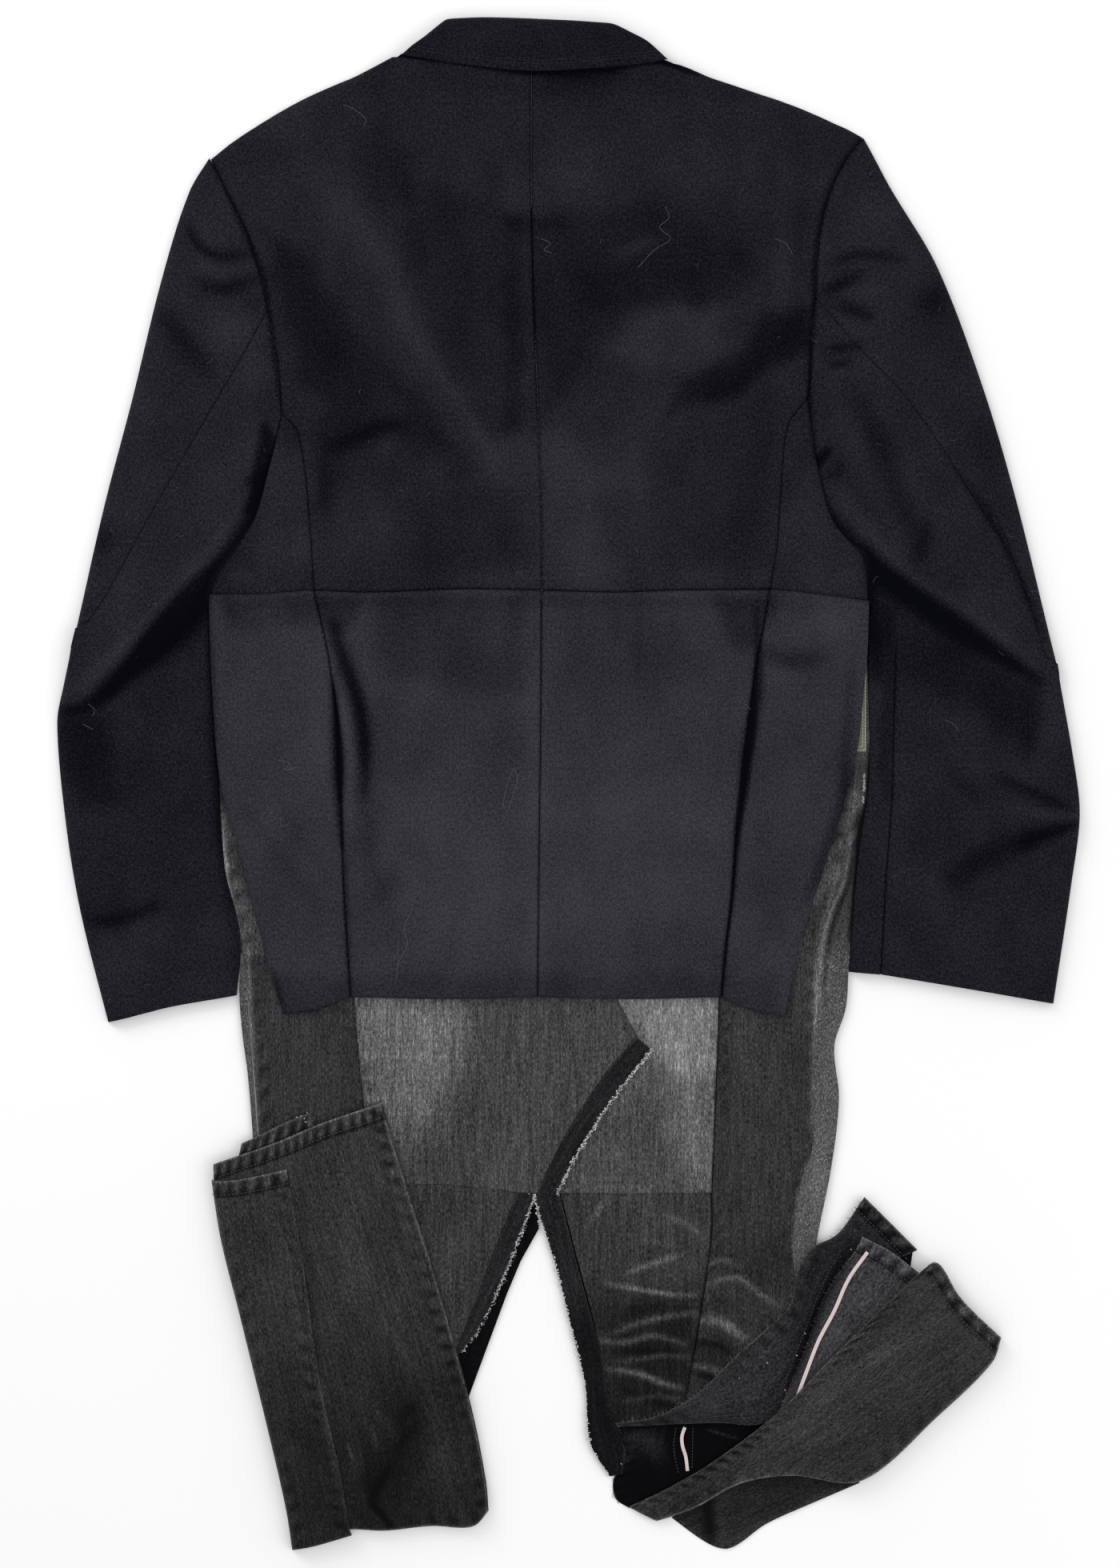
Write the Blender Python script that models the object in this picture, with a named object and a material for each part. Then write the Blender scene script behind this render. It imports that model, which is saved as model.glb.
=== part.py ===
# A denim maxi coat laid flat, back upwards, with both lower legs folded up over the thighs.
# The upper half is a tailored wool jacket back with a collar and two-piece sleeves.
# The lower half is made from taken-apart jeans: seat and thigh panels with a frayed centre slit.
# Every piece that is cut and sewn on is one closed solid, parted from its neighbour at the seam.
#
# All tables are in millimetres. "across" runs from the wearer's left (negative) to the right,
# "along" runs from the leg ends (negative) up to the collar, and "up" is measured from the surface.

import math

import bpy
import numpy as np

MM = 0.001

# Cloth and seams
WOOL = 2.2                # napped melton of the jacket, one thickness
DENIM = 1.3               # washed denim, one thickness
COLLAR_CLOTH = 3.0        # the collar is two layers of melton with canvas between them
LINED_FRONT = 4.2         # wool front or under sleeve with its lining, pressed flat
SEAM_GAP = 0.4            # two neighbours stand this far apart at a seam
SLEEVE_GAP = 0.7          # the top sleeve's rolled edge needs more room
STRIP_GAP = 1.0           # the turned side strips stand a little further off their curved seams
PATCH = 0.8               # waist patch of the jeans
TAPE = 0.8                # selvage tape

# Heights of the undersides of the layers, from the surface upwards
FLOOR = 0.0
DENIM_BACK = 1.8
DENIM_LAP = 3.4           # denim that lies on the denim back
WOOL_BACK = 4.6
COLLAR_STAND = 4.6
COLLAR_FALL = 8.0

# Folded left leg
LEFT_HEM_LAYER = 3.6
LEFT_CORE_TOP = 6.6
LEFT_MAIN = 7.1
LEFT_LAP = 8.9

# Folded right leg
RIGHT_INSIDE_UPPER = 3.7
RIGHT_INSIDE_LOWER = 5.7
RIGHT_TAPE_LONG = 7.3
RIGHT_OUTSIDE = 8.5
RIGHT_OUTSIDE_END = 3.3
RIGHT_EDGE_LOW = 2.9
RIGHT_CORE_LOW_TOP = 3.5
RIGHT_CORE_HIGH_TOP = 8.0

# Rolled edges: the cloth turns down over this width
SLEEVE_ROLL = 9.0
SHOULDER_ROLL = 7.0
SIDE_ROLL = 6.0
LEG_ROLL = 7.0
COLLAR_ROLL = 7.0
HEM_ROLL = 3.0
ROLL_STEPS = (0.0, 0.28, 1.0)

# Seams and edges of the jacket: name, number of spans, then stations as (across, along).
JACKET_SEAMS = {
    "shoulder_left": (5, ((-267, 467), (-247, 485), (-199, 514), (-148, 535), (-132, 541))),
    "shoulder_right": (5, ((99, 528), (123, 522), (166, 510), (204, 493), (219, 483))),
    "neck_left": (3, ((-132, 541), (-90, 540), (-28, 538.5))),
    "neck_right": (3, ((-28, 538.5), (41, 540), (81, 535), (99, 528))),
    "centre_upper": (21, ((-28, 538.5), (-27.6, 408), (-23.4, 288), (-20.4, 198), (-20.4, 145))),
    "centre_lower": (16, ((-20.4, 145), (-21, 49), (-22.2, -51), (-23.4, -160))),
    "armhole_left_cap": (4, ((-267, 467), (-256, 443), (-240, 410), (-225.6, 355))),
    "armhole_left_mid": (6, ((-225.6, 355), (-221.5, 337))),
    "armhole_left_low": (4, ((-221.5, 337), (-217, 310), (-214.8, 277))),
    "armhole_left_end": (3, ((-214.8, 277), (-217.5, 264))),
    "princess_left_upper": (7, ((-214.8, 277), (-204, 266), (-197.5, 235), (-193.5, 190), (-190.8, 145))),
    "princess_left_lower": (16, ((-190.8, 145), (-179, 91), (-172, 20), (-168.5, -76), (-163.2, -160))),
    "side_left_upper": (7, ((-217.5, 264), (-222, 245), (-234.6, 199), (-247, 182), (-265, 156), (-268.8, 142))),
    "side_left_lower": (16, ((-268.8, 142), (-266.4, 75), (-261, 4), (-246.6, -53), (-229, -123), (-214, -172.5))),
    "waist_left_side": (3, ((-268.8, 142), (-232, 142), (-190.8, 145))),
    "waist_left": (8, ((-190.8, 145), (-149, 143.5), (-80, 146), (-20.4, 145))),
    "waist_right": (8, ((-20.4, 145), (37, 143.5), (77, 145), (150.6, 145.5))),
    "waist_right_side": (3, ((150.6, 145.5), (173, 143.5), (223.5, 137))),
    "hem_left_side": (3, ((-214, -172.5), (-191, -170.5), (-163.2, -160))),
    "hem_left": (8, ((-163.2, -160), (-90, -161.5), (-23.4, -160))),
    "hem_right": (8, ((-23.4, -160), (45, -161.5), (114, -160))),
    "hem_right_side": (3, ((114, -160), (134, -169), (161.5, -174.5))),
    "armhole_right_cap": (4, ((219, 483), (203, 460), (190, 422), (184.8, 364))),
    "armhole_right_mid": (6, ((184.8, 364), (182, 344))),
    "armhole_right_low": (4, ((182, 344), (181.2, 308), (178.6, 289))),
    "armhole_right_end": (3, ((178.6, 289), (182.4, 260))),
    "princess_right_upper": (7, ((178.6, 289), (164, 268), (159, 222), (156, 180), (150.6, 145.5))),
    "princess_right_lower": (16, ((150.6, 145.5), (139, 79), (129, 0), (121.8, -83), (114, -160))),
    "side_right_upper": (7, ((182.4, 260), (186, 239), (197.4, 197), (209.4, 182), (220.2, 171.6), (223.5, 137))),
    "side_right_lower": (16, ((223.5, 137), (220.8, 74), (214.8, 19), (192, -60.6), (173.4, -118), (161.5, -174.5))),
}

# Seams and edges of the sleeves
SLEEVE_SEAMS = {
    "left_outer_upper": (11, ((-267, 467), (-285, 440), (-307, 372), (-328, 287), (-349, 207), (-369.4, 116.6))),
    "left_tip": (4, ((-359.5, 121), (-369.4, 116.6))),
    "left_tip_upper": (4, ((-359.5, 121.4), (-369.4, 117.2))),
    "left_hind": (11, ((-225.6, 355), (-247, 315), (-290, 241), (-319, 190), (-346, 141), (-359.5, 121))),
    "left_outer_lower": (10, ((-369.4, 116.6), (-379, 74), (-384, 45), (-377, -33), (-366, -98), (-345.6, -179))),
    "left_free_upper": (8, ((-217.5, 264), (-223.5, 245), (-236.2, 199), (-248.4, 181), (-266, 155), (-270.3, 141))),
    "left_free_lower": (10, ((-270.3, 141), (-268, 75), (-262.4, 3), (-257.4, -65), (-246, -112), (-249.2, -158))),
    "left_cuff": (6, ((-345.6, -179), (-304, -166), (-249.2, -158))),
    "right_outer_upper": (10, ((219, 483), (242, 445), (276, 389), (310, 300), (335, 216), (366, 90))),
    "right_tip": (4, ((366, 90), (357.5, 92))),
    "right_tip_upper": (4, ((366, 90.6), (357.5, 92.4))),
    "right_hind": (10, ((184.8, 364), (215, 329), (255, 286), (299, 220), (335, 161), (357.5, 92))),
    "right_outer_lower": (9, ((366, 90), (378.6, 19), (383.4, -23), (377, -76), (363.6, -165))),
    "right_free_upper": (8, ((182.4, 260), (187.4, 239), (199, 197), (210.5, 183), (222, 173), (225.2, 137))),
    "right_fore": (6, ((245, 113), (243, 40), (241.5, -13), (237, -76), (233.4, -143))),
    "right_fore_top": (2, ((225.2, 137), (245, 113))),
    "right_free_lower": (6, ((225.2, 137), (224.4, 60), (224.2, 0), (216, -60), (209.6, -141))),
    "right_cuff_hind": (6, ((233.4, -143), (300, -154), (363.6, -165))),
    "right_cuff_turn": (2, ((209.6, -141), (233.4, -143))),
}

# Seams and edges of the collar
COLLAR_SEAMS = {
    "fold": (10, ((-92, 573.5), (-60, 574.8), (0, 572.5), (33.6, 570))),
    "slope_left": (4, ((-92, 573.5), (-110, 559), (-125.5, 545.5))),
    "slope_right": (4, ((33.6, 570), (56, 558), (74.4, 542))),
    "fall_edge": (10, ((-125.5, 545.5), (-84, 539), (-28, 533.3), (28, 536.2), (60, 539.5), (74.4, 542))),
    "stand_top": (8, ((-126, 546), (-96, 560), (-30, 563), (28, 559), (60, 547), (97.5, 531))),
    "stand_bottom": (8, ((-131, 542), (-90, 540.8), (-28, 539.3), (41, 540.8), (82, 535.6), (98.5, 529))),
    "stand_left": (2, ((-126, 546), (-131, 542))),
    "stand_right": (2, ((97.5, 531), (98.5, 529))),
}

# Seams and edges of the denim back, and of the strips where the front turns over at the sides
DENIM_SEAMS = {
    "side_left": (12, ((-264, 138), (-264.3, 60), (-260.6, 0), (-255.8, -65), (-245, -113), (-240.6, -155),
                       (-236.4, -209), (-232.6, -262), (-231, -284))),
    "seam_left_upper": (12, ((-172, 138), (-166, 0), (-161.4, -161), (-157, -212), (-152, -258))),
    "seam_left_corner": (4, ((-152, -258), (-142, -280), (-133, -301))),
    "top_side_left": (3, ((-264, 138), (-172, 138))),
    "top_left": (3, ((-172, 138), (-18, 138))),
    "top_right": (3, ((-18, 138), (118, 138))),
    "top_side_right": (4, ((118, 138), (206, 134))),
    "bottom_side_left": (3, ((-231, -284), (-190, -266), (-152, -258))),
    "overlap_hidden": (5, ((-18, 138), (10, -30), (37, -163))),
    "overlap_edge": (2, ((37, -163), (51, -189))),
    "overlap_diagonal": (9, ((51, -189), (31, -212), (1, -257), (-23.4, -304))),
    "crotch_left_thigh": (2, ((-133, -301), (-96, -300), (-37.8, -305.5))),
    "crotch_left_slit": (1, ((-37.8, -305.5), (-23.4, -304))),
    "crotch_right": (3, ((-23.4, -304), (40, -306.5), (107, -306.5))),
    "seam_right_upper": (16, ((118, 138), (116, 0), (112.5, -162), (110.4, -223), (107, -306.5))),
    "seam_right_lower": (6, ((107, -306.5), (106.8, -338), (98.4, -399), (86, -473))),
    "turn_right_seam": (22, ((206, 134), (212, 60), (214, 0), (203.4, -68), (186, -125), (188, -150),
                             (184.8, -199), (183.2, -271), (174.4, -299), (168, -346), (170, -368), (177, -389))),
    "turn_right_edge": (22, ((213, 134), (223, 92), (223.4, 0), (215.2, -60), (208.8, -141), (206.7, -168),
                             (198, -196), (201.5, -235), (196, -286), (184.5, -344), (184, -362))),
    "turn_right_top": (1, ((206, 134), (213, 134))),
    "turn_right_bottom": (1, ((177, -389), (184, -362))),
    "side_right_end": (4, ((177, -389), (150, -418), (86, -473))),
    "turn_left_seam": (8, ((-244.2, -126), (-241.6, -155), (-237.4, -209), (-233.6, -262), (-232.6, -276))),
    "turn_left_edge": (8, ((-246.4, -126), (-247.4, -158), (-245, -188), (-241, -218), (-237.4, -262), (-236.8, -276))),
    "turn_left_top": (1, ((-246.4, -126), (-244.2, -126))),
    "turn_left_bottom": (1, ((-236.8, -276), (-232.6, -276))),
    "thigh_left_hidden": (6, ((-133, -301), (-112, -370), (-97, -431))),
    "thigh_left_band": (6, ((-37.8, -305.5), (-53.4, -344), (-76.8, -406), (-88, -433))),
    "thigh_left_bottom": (2, ((-97, -431), (-88, -433))),
    "thigh_right_top": (3, ((-7, -306.5), (40, -306.5), (107, -306.5))),
    "thigh_right_band": (6, ((-6.4, -306.5), (6.2, -356), (21, -413), (28.2, -460), (34, -480))),
    "thigh_right_bottom": (3, ((34, -480), (60, -481), (86, -473))),
    "slit_left_fray": (7, ((-25.8, -308), (-31.8, -328), (-48, -373), (-65.4, -411), (-84, -437))),
    "slit_left_top": (2, ((-37.8, -305.5), (-25.8, -308))),
    "slit_left_bottom": (2, ((-88, -433), (-84, -437))),
    "slit_left_band": (7, ((-37.8, -305.5), (-53.4, -344), (-76.8, -406), (-88, -433))),
    "slit_right_fray": (9, ((-21, -307), (-10.2, -358), (2, -409), (12, -450), (15.6, -493), (30.5, -519))),
    "slit_right_band": (9, ((-7, -306.5), (5.4, -356), (20, -413), (27, -467), (35, -495), (36.5, -517))),
    "slit_right_top": (2, ((-21, -307), (-7, -306.5))),
    "slit_right_bottom": (2, ((30.5, -519), (36.5, -517))),
    "fray_diagonal": (9, ((62, -199), (43, -222), (10.8, -269), (-9.6, -307))),
    "band_diagonal": (9, ((51.4, -189.6), (31.4, -212.6), (1.4, -257.6), (-22.6, -304))),
    "band_diagonal_top": (2, ((51.4, -189.6), (62, -199))),
    "band_diagonal_bottom": (2, ((-22.6, -304), (-9.6, -307))),
}

# Seams and edges of the folded left leg
LEFT_LEG_SEAMS = {
    "main_hem": (8, ((-265.5, -284), (-218, -267.5), (-186, -254), (-139.8, -238.3))),
    "main_left": (12, ((-265.5, -284), (-259, -300), (-250.5, -345), (-237.5, -400), (-213.5, -497), (-200, -563))),
    "main_right": (12, ((-139.8, -238.3), (-128, -279), (-100, -368), (-74, -462), (-62, -522), (-60, -545))),
    "main_bottom": (8, ((-200, -563), (-165, -559), (-138, -560), (-103, -556.5), (-72, -557), (-60, -545))),
    "lap_hem": (5, ((-268.2, -297), (-250, -296), (-229, -292), (-211, -288))),
    "lap_left": (12, ((-268.2, -297), (-261, -342), (-247, -398), (-223, -496), (-212, -545), (-207.5, -574.8))),
    "lap_right": (12, ((-211, -288), (-200, -348), (-186, -446), (-171.5, -511), (-162.6, -563.5))),
    "lap_bottom": (5, ((-207.5, -574.8), (-190, -571.5), (-162.6, -563.5))),
    "back_hem_top": (5, ((-245, -269), (-236, -265), (-214, -254), (-193.5, -246))),
    "back_hem_bottom": (5, ((-249, -286), (-220, -279), (-194.5, -266))),
    "back_hem_left": (2, ((-245, -269), (-249, -286))),
    "back_hem_right": (2, ((-193.5, -246), (-194.5, -266))),
    "core_top": (3, ((-250, -302), (-205, -279), (-153, -270))),
    "core_left": (5, ((-250, -302), (-230, -400), (-205, -500), (-192, -552))),
    "core_right": (5, ((-153, -270), (-116, -372), (-93, -455), (-78, -530))),
    "core_bottom": (3, ((-192, -552), (-140, -545), (-90, -542), (-78, -530))),
}

# Seams and edges of the folded right leg
RIGHT_LEG_SEAMS = {
    "upper_hem": (4, ((221.4, -309), (261.5, -349))),
    "upper_raw": (16, ((221.4, -309), (201, -337), (182, -347.5), (170.4, -366), (166, -389), (145, -410),
                       (127, -426), (94, -458), (64, -473.5), (34.5, -478.5))),
    "upper_hidden": (16, ((261.5, -349), (246, -355), (222, -355), (206, -376), (192, -405), (180, -443),
                          (163, -472), (140, -480), (113, -478.5), (36, -481.5))),
    "upper_end": (4, ((34.5, -478.5), (36, -481.5))),
    "lower_hem": (4, ((219.6, -338.5), (240, -349), (262, -365.5))),
    "lower_seam": (9, ((219.6, -338.5), (216, -346), (191.4, -382), (177.6, -420), (166, -448), (155, -474))),
    "lower_hidden": (9, ((262, -365.5), (243, -396), (203, -434), (165, -474))),
    "lower_end": (4, ((155, -474), (165, -474))),
    "outside_hem": (4, ((263, -364.5), (275.4, -357), (293, -384), (324.5, -415))),
    "outside_upper": (18, ((263, -364.5), (237, -389), (197.4, -428), (157, -469), (113.4, -504), (77, -526),
                           (44.5, -541.5))),
    "outside_lower": (18, ((324.5, -415), (317.5, -434), (277, -474), (220, -522), (166, -518), (130, -524),
                           (94, -543), (66, -552.5))),
    "outside_end": (4, ((44.5, -541.5), (55, -547), (66, -552.5))),
    "under_top": (8, ((82, -541), (100, -528), (145, -511), (190, -509), (216, -521.5))),
    "under_bottom": (8, ((77, -550.5), (105, -571), (121, -574.5), (148, -556), (187, -538), (218.5, -524))),
    "under_left": (3, ((82, -541), (77, -550.5))),
    "under_right": (3, ((216, -521.5), (218.5, -524))),
    "deep_top": (5, ((36, -476), (100, -472), (163, -470))),
    "deep_left": (7, ((36, -476), (40, -498), (38, -512), (33, -523), (35, -536), (45, -543))),
    "deep_right": (7, ((163, -470), (151, -487), (119, -510), (84, -532), (62, -543))),
    "deep_bottom": (5, ((45, -543), (62, -543))),
    "low_core_top": (2, ((219, -312.5), (258, -350))),
    "low_core_left": (5, ((219, -312.5), (203, -342), (190, -374), (178, -402), (104, -460))),
    "low_core_right": (5, ((258, -350), (255, -377), (243, -393), (203, -431), (166, -462))),
    "low_core_bottom": (2, ((104, -460), (166, -462))),
    "high_core_top": (2, ((272, -371), (315, -413))),
    "high_core_left": (4, ((272, -371), (248, -405), (208, -444), (160, -494))),
    "high_core_right": (4, ((315, -413), (308, -430), (266, -466), (215, -500))),
    "high_core_bottom": (2, ((160, -494), (215, -500))),
}

# Pieces that lie on the surface under the rest, hidden from above
UNDER_SEAMS = {
    "front_left_top": (4, ((-256, 450), (-195, 501), (-135, 526), (-100, 500), (-26, 430))),
    "front_left_side": (7, ((-256, 450), (-236, 405), (-221.5, 350), (-218.5, 290), (-214, 240), (-240, 178),
                            (-260, 142.5))),
    "front_left_centre": (7, ((-26, 430), (-23, 142.5))),
    "front_left_waist": (4, ((-260, 142.5), (-23, 142.5))),
    "front_right_top": (4, ((-18, 430), (70, 490), (97, 514), (150, 502), (211, 466))),
    "front_right_centre": (7, ((-18, 430), (-18, 142.5))),
    "front_right_side": (7, ((211, 466), (193, 432), (185, 380), (182, 300), (179, 238), (192, 190), (216, 142.5))),
    "front_right_waist": (4, ((-18, 142.5), (216, 142.5))),
    "sleeve_left_top": (2, ((-264, 448), (-258.5, 449))),
    "sleeve_left_outer": (12, ((-264, 448), (-283, 405), (-316, 287), (-346, 168), (-367, 74), (-370, 40),
                               (-364, -34), (-336, -172.5))),
    "sleeve_left_inner": (12, ((-258.5, 449), (-238, 404), (-223.5, 350), (-221, 290), (-230, 240), (-262, 184),
                               (-281, 141), (-279, 60), (-271, -34), (-259.5, -156.5))),
    "sleeve_left_cuff": (2, ((-336, -172.5), (-259.5, -156.5))),
    "sleeve_right_top": (2, ((213.5, 466), (219, 465))),
    "sleeve_right_inner": (12, ((213.5, 466), (195, 430), (187, 380), (184.5, 300), (194, 240), (218, 190),
                                (235, 150), (235, 0), (226, -76), (221, -140.5))),
    "sleeve_right_outer": (12, ((219, 465), (248, 415), (300, 290), (338, 165), (366, 19), (370, -24),
                                (365, -76), (352, -160.5))),
    "sleeve_right_cuff": (2, ((221, -140.5), (352, -160.5))),
    "skirt_left_top": (5, ((-262, 138), (-23, 138))),
    "skirt_left_side": (8, ((-262, 138), (-259, 0), (-244, -125), (-236, -209), (-229, -283))),
    "skirt_left_bottom_side": (2, ((-229, -283), (-151, -259))),
    "skirt_left_bottom_step": (1, ((-151, -259), (-133, -302))),
    "skirt_left_bottom_middle": (2, ((-133, -302), (-26, -304))),
    "skirt_left_centre": (8, ((-23, 138), (-26, -304))),
    "skirt_right_top": (4, ((-18, 138), (211, 135))),
    "skirt_right_centre": (8, ((-18, 138), (-18, -304))),
    "skirt_right_side": (8, ((211, 135), (221, 90), (221.5, 0), (205, -141), (196, -200), (199, -240), (190, -303))),
    "skirt_right_bottom": (4, ((-18, -304), (190, -303))),
    "thigh_front_left_top": (4, ((-131, -304.5), (-24, -307))),
    "thigh_front_left_hidden": (6, ((-131, -304.5), (-108, -385), (-88, -456))),
    "thigh_front_left_edge": (6, ((-24, -307), (-20, -327), (-38, -362), (-55, -406), (-75, -460))),
    "thigh_front_left_bottom": (4, ((-88, -456), (-75, -460))),
    "thigh_front_right_top": (4, ((-15, -307), (188, -306))),
    "thigh_front_right_slit": (6, ((-15, -307), (-3, -358), (16, -436))),
    "thigh_front_right_side": (6, ((188, -306), (178, -345), (166, -386))),
    "thigh_front_right_bottom": (4, ((16, -436), (90, -440), (166, -386))),
    "collar_under_top": (6, ((-108, 549), (-82, 561), (26, 557), (58, 544))),
    "collar_under_bottom": (6, ((-118, 543), (-28, 540.5), (41, 541.5), (66, 540))),
    "collar_under_left": (2, ((-108, 549), (-118, 543))),
    "collar_under_right": (2, ((58, 544), (66, 540))),
}

SEAMS = {**JACKET_SEAMS, **SLEEVE_SEAMS, **COLLAR_SEAMS, **DENIM_SEAMS}
SEAMS.update(LEFT_LEG_SEAMS)
SEAMS.update(RIGHT_LEG_SEAMS)
SEAMS.update(UNDER_SEAMS)

# Folds of the cloth. Columns: start across, start along, end across, end along, bow to the left,
# width on the left side, width on the right side, height (a trough is negative).
BODY_FOLDS = (
    (-30, 520, -25, -170, 0, 250, 240, 2.2),          # the back lies higher than its edges
    (-120, 470, -20, -60, 20, 60, 60, 0.6),
    (-207, 405, -70, 255, 6, 26, 34, 2.6),            # long soft ridge from the left armhole
    (-150, 452, -25, 300, -8, 34, 30, -2.0),          # trough beside it
    (-208, 392, -150, 300, 0, 20, 22, -1.4),
    (-45, 425, 110, 398, -14, 26, 30, -1.9),          # hollow under the collar on the right
    (176, 345, 95, 286, -5, 26, 20, -2.3),            # drag line from the right armhole
    (178, 300, 80, 236, 0, 30, 26, 1.6),
    (-186, 258, -145, 268, 0, 14, 20, -1.4),
    (40, 330, 20, 180, 0, 50, 40, 0.9),
    (-120, 230, -60, 165, 0, 30, 30, 0.8),
    (-182, 130, -158, -20, -7, 9, 12, 3.2),           # narrow raised fold beside the left dart
    (-163, 96, -128, -82, -12, 13, 20, -3.0),         # its deep shadow side
    (-90, 100, -60, -130, 0, 34, 38, 1.2),
    (20, 100, 30, -140, 0, 40, 40, 0.8),
    (134, 112, 124, -50, -3, 12, 10, -2.2),           # hollow along the right dart
    (146, 100, 128, -120, -3, 12, 16, 1.8),
    (160, 98, 200, 108, 0, 12, 14, -1.5),
    (-246, 130, -226, -60, 0, 22, 26, 1.4),
    (-268, 30, -180, -140, 0, 18, 22, 0.6),
)

LEFT_SLEEVE_FOLDS = (
    (-262, 430, -322, 110, 0, 58, 52, 3.0),           # the arm lies rounded
    (-330, 40, -300, -160, 0, 48, 46, 3.0),
    (-237, 196, -378, 55, 14, 9, 46, 5.2),            # upper arm folds over the forearm at the elbow
    (-228, 182, -372, 40, 12, 16, 6, -2.6),
    (-283, 413, -246, 396, -7, 9, 12, -2.0),          # puckers under the sleeve cap
    (-277, 374, -238, 376, -7, 8, 10, -1.8),
    (-300, 350, -262, 312, 0, 12, 12, -1.3),
    (-292, 392, -240, 386, -7, 9, 9, 1.2),
    (-240, 330, -300, 220, 0, 16, 22, 1.3),
    (-365, 60, -330, -10, -6, 14, 16, 1.6),           # pull at the elbow point
    (-360, -70, -305, -64, 0, 12, 14, -1.2),
)

RIGHT_SLEEVE_FOLDS = (
    (232, 430, 300, 120, 0, 52, 58, 3.0),
    (310, 40, 300, -150, 0, 52, 52, 3.0),
    (206, 200, 352, 78, -22, 46, 9, 5.2),             # upper arm folds over the forearm at the elbow
    (200, 186, 350, 62, -22, 6, 16, -2.6),
    (190, 390, 240, 396, 6, 9, 9, -1.8),              # puckers beside the armhole
    (189, 364, 224, 378, 4, 8, 8, -2.0),
    (196, 352, 232, 350, 3, 8, 9, -1.5),
    (190, 376, 240, 386, 3, 8, 8, 1.4),
    (192, 318, 222, 330, 3, 9, 9, -1.8),
    (186, 262, 214, 226, 0, 12, 10, -1.6),
    (240, 300, 290, 200, 0, 18, 18, -1.0),
    (384, -26, 300, -66, 5, 11, 13, 2.4),             # pucker that runs in from the elbow point
    (380, -50, 300, -88, 4, 10, 12, -1.8),
)

LEFT_LEG_FOLDS = (
    (-200, -280, -130, -540, 0, 52, 52, 1.6),
    (-125, -470, -130, -548, 6, 12, 14, -1.5),        # crumple above the fold at the leg's end
    (-108, -440, -100, -535, 4, 12, 12, 1.6),
    (-165, -500, -120, -440, 0, 18, 16, 1.0),
)

LEFT_LAP_FOLDS = (
    (-240, -320, -190, -540, 0, 34, 34, 1.4),
)

RIGHT_INSIDE_FOLDS = (
    (215, -330, 120, -455, -8, 16, 18, 1.4),
    (150, -440, 60, -474, 0, 9, 9, 0.9),
)

RIGHT_OUTSIDE_FOLDS = (
    (285, -395, 170, -492, 0, 26, 30, 2.0),
    (200, -470, 120, -512, 5, 9, 12, 0.8),
    (170, -490, 60, -548, 0, 60, 60, -0.1),
)

UNDER_FOLD_FOLDS = (
    (90, -548, 200, -522, 0, 14, 12, 1.0),
)

NO_FOLDS = ()


def evenly_spaced(points, steps):
    """Point after point along a polyline, the same distance apart."""
    lengths = np.hypot(*np.diff(points, axis=0).T)
    reached = np.concatenate(([0.0], np.cumsum(lengths)))
    wanted = np.linspace(0.0, reached[-1], steps + 1)
    across = np.interp(wanted, reached, points[:, 0])
    along = np.interp(wanted, reached, points[:, 1])
    return np.column_stack((across, along))


def smooth_run(stations, steps):
    """A smooth curve through the stations, cut into equal spans."""
    points = np.array(stations, float)
    if len(points) == 2:
        return evenly_spaced(points, steps)
    before = 2 * points[0] - points[1]
    after = 2 * points[-1] - points[-2]
    padded = np.vstack((before, points, after))
    samples_per_span = 10
    curve = []
    for index in range(1, len(padded) - 2):
        p0, p1, p2, p3 = padded[index - 1:index + 3]
        # The tangents are weighted by the spans, so that a short span does not loop.
        span = np.linalg.norm(p2 - p1)
        tangent_1 = (p2 - p0) / (np.linalg.norm(p2 - p1) + np.linalg.norm(p1 - p0)) * span
        tangent_2 = (p3 - p1) / (np.linalg.norm(p3 - p2) + np.linalg.norm(p2 - p1)) * span
        for sample in range(samples_per_span):
            t = sample / samples_per_span
            curve.append((2 * t**3 - 3 * t**2 + 1) * p1 + (t**3 - 2 * t**2 + t) * tangent_1
                         + (3 * t**2 - 2 * t**3) * p2 + (t**3 - t**2) * tangent_2)
    curve.append(points[-1])
    return evenly_spaced(np.array(curve), steps)


def edge(*names):
    """One edge of a panel: seams joined end to end. A name that starts with "-" runs backwards."""
    runs = []
    for name in names:
        steps, stations = SEAMS[name.lstrip("-")]
        run = smooth_run(stations, steps)
        if name.startswith("-"):
            run = run[::-1]
        runs.append(run if not runs else run[1:])
    return np.vstack(runs)


def along_edge(points, position):
    """Points on an edge at positions from 0 to 1, counted in spans."""
    index = np.linspace(0.0, 1.0, len(points))
    across = np.interp(position, index, points[:, 0])
    along = np.interp(position, index, points[:, 1])
    return np.stack((across, along), axis=-1)


def fold_height(folds, across, along):
    """Height of all the folds at each point, in millimetres."""
    height = np.zeros_like(across)
    if not folds:
        return height
    for x0, y0, x1, y1, bow, left_width, right_width, top in folds:
        length = math.hypot(x1 - x0, y1 - y0)
        ux, uy = (x1 - x0) / length, (y1 - y0) / length
        travel = ((across - x0) * ux + (along - y0) * uy) / length
        sideways = -(across - x0) * uy + (along - y0) * ux
        sideways = sideways - 4 * bow * np.clip(travel, 0, 1) * (1 - np.clip(travel, 0, 1))
        width = np.where(sideways > 0, left_width, right_width)
        end = np.clip((0.62 - np.abs(travel - 0.5)) / 0.30, 0, 1)
        height += top * np.exp(-(sideways / width) ** 2) * end * end * (3 - 2 * end)
    # No trough reaches lower than the cloth's own resting height: it fades out softly above it.
    soft = 0.4
    return np.where(height < soft, soft * np.exp((np.minimum(height, soft) - soft) / soft), height)


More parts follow.
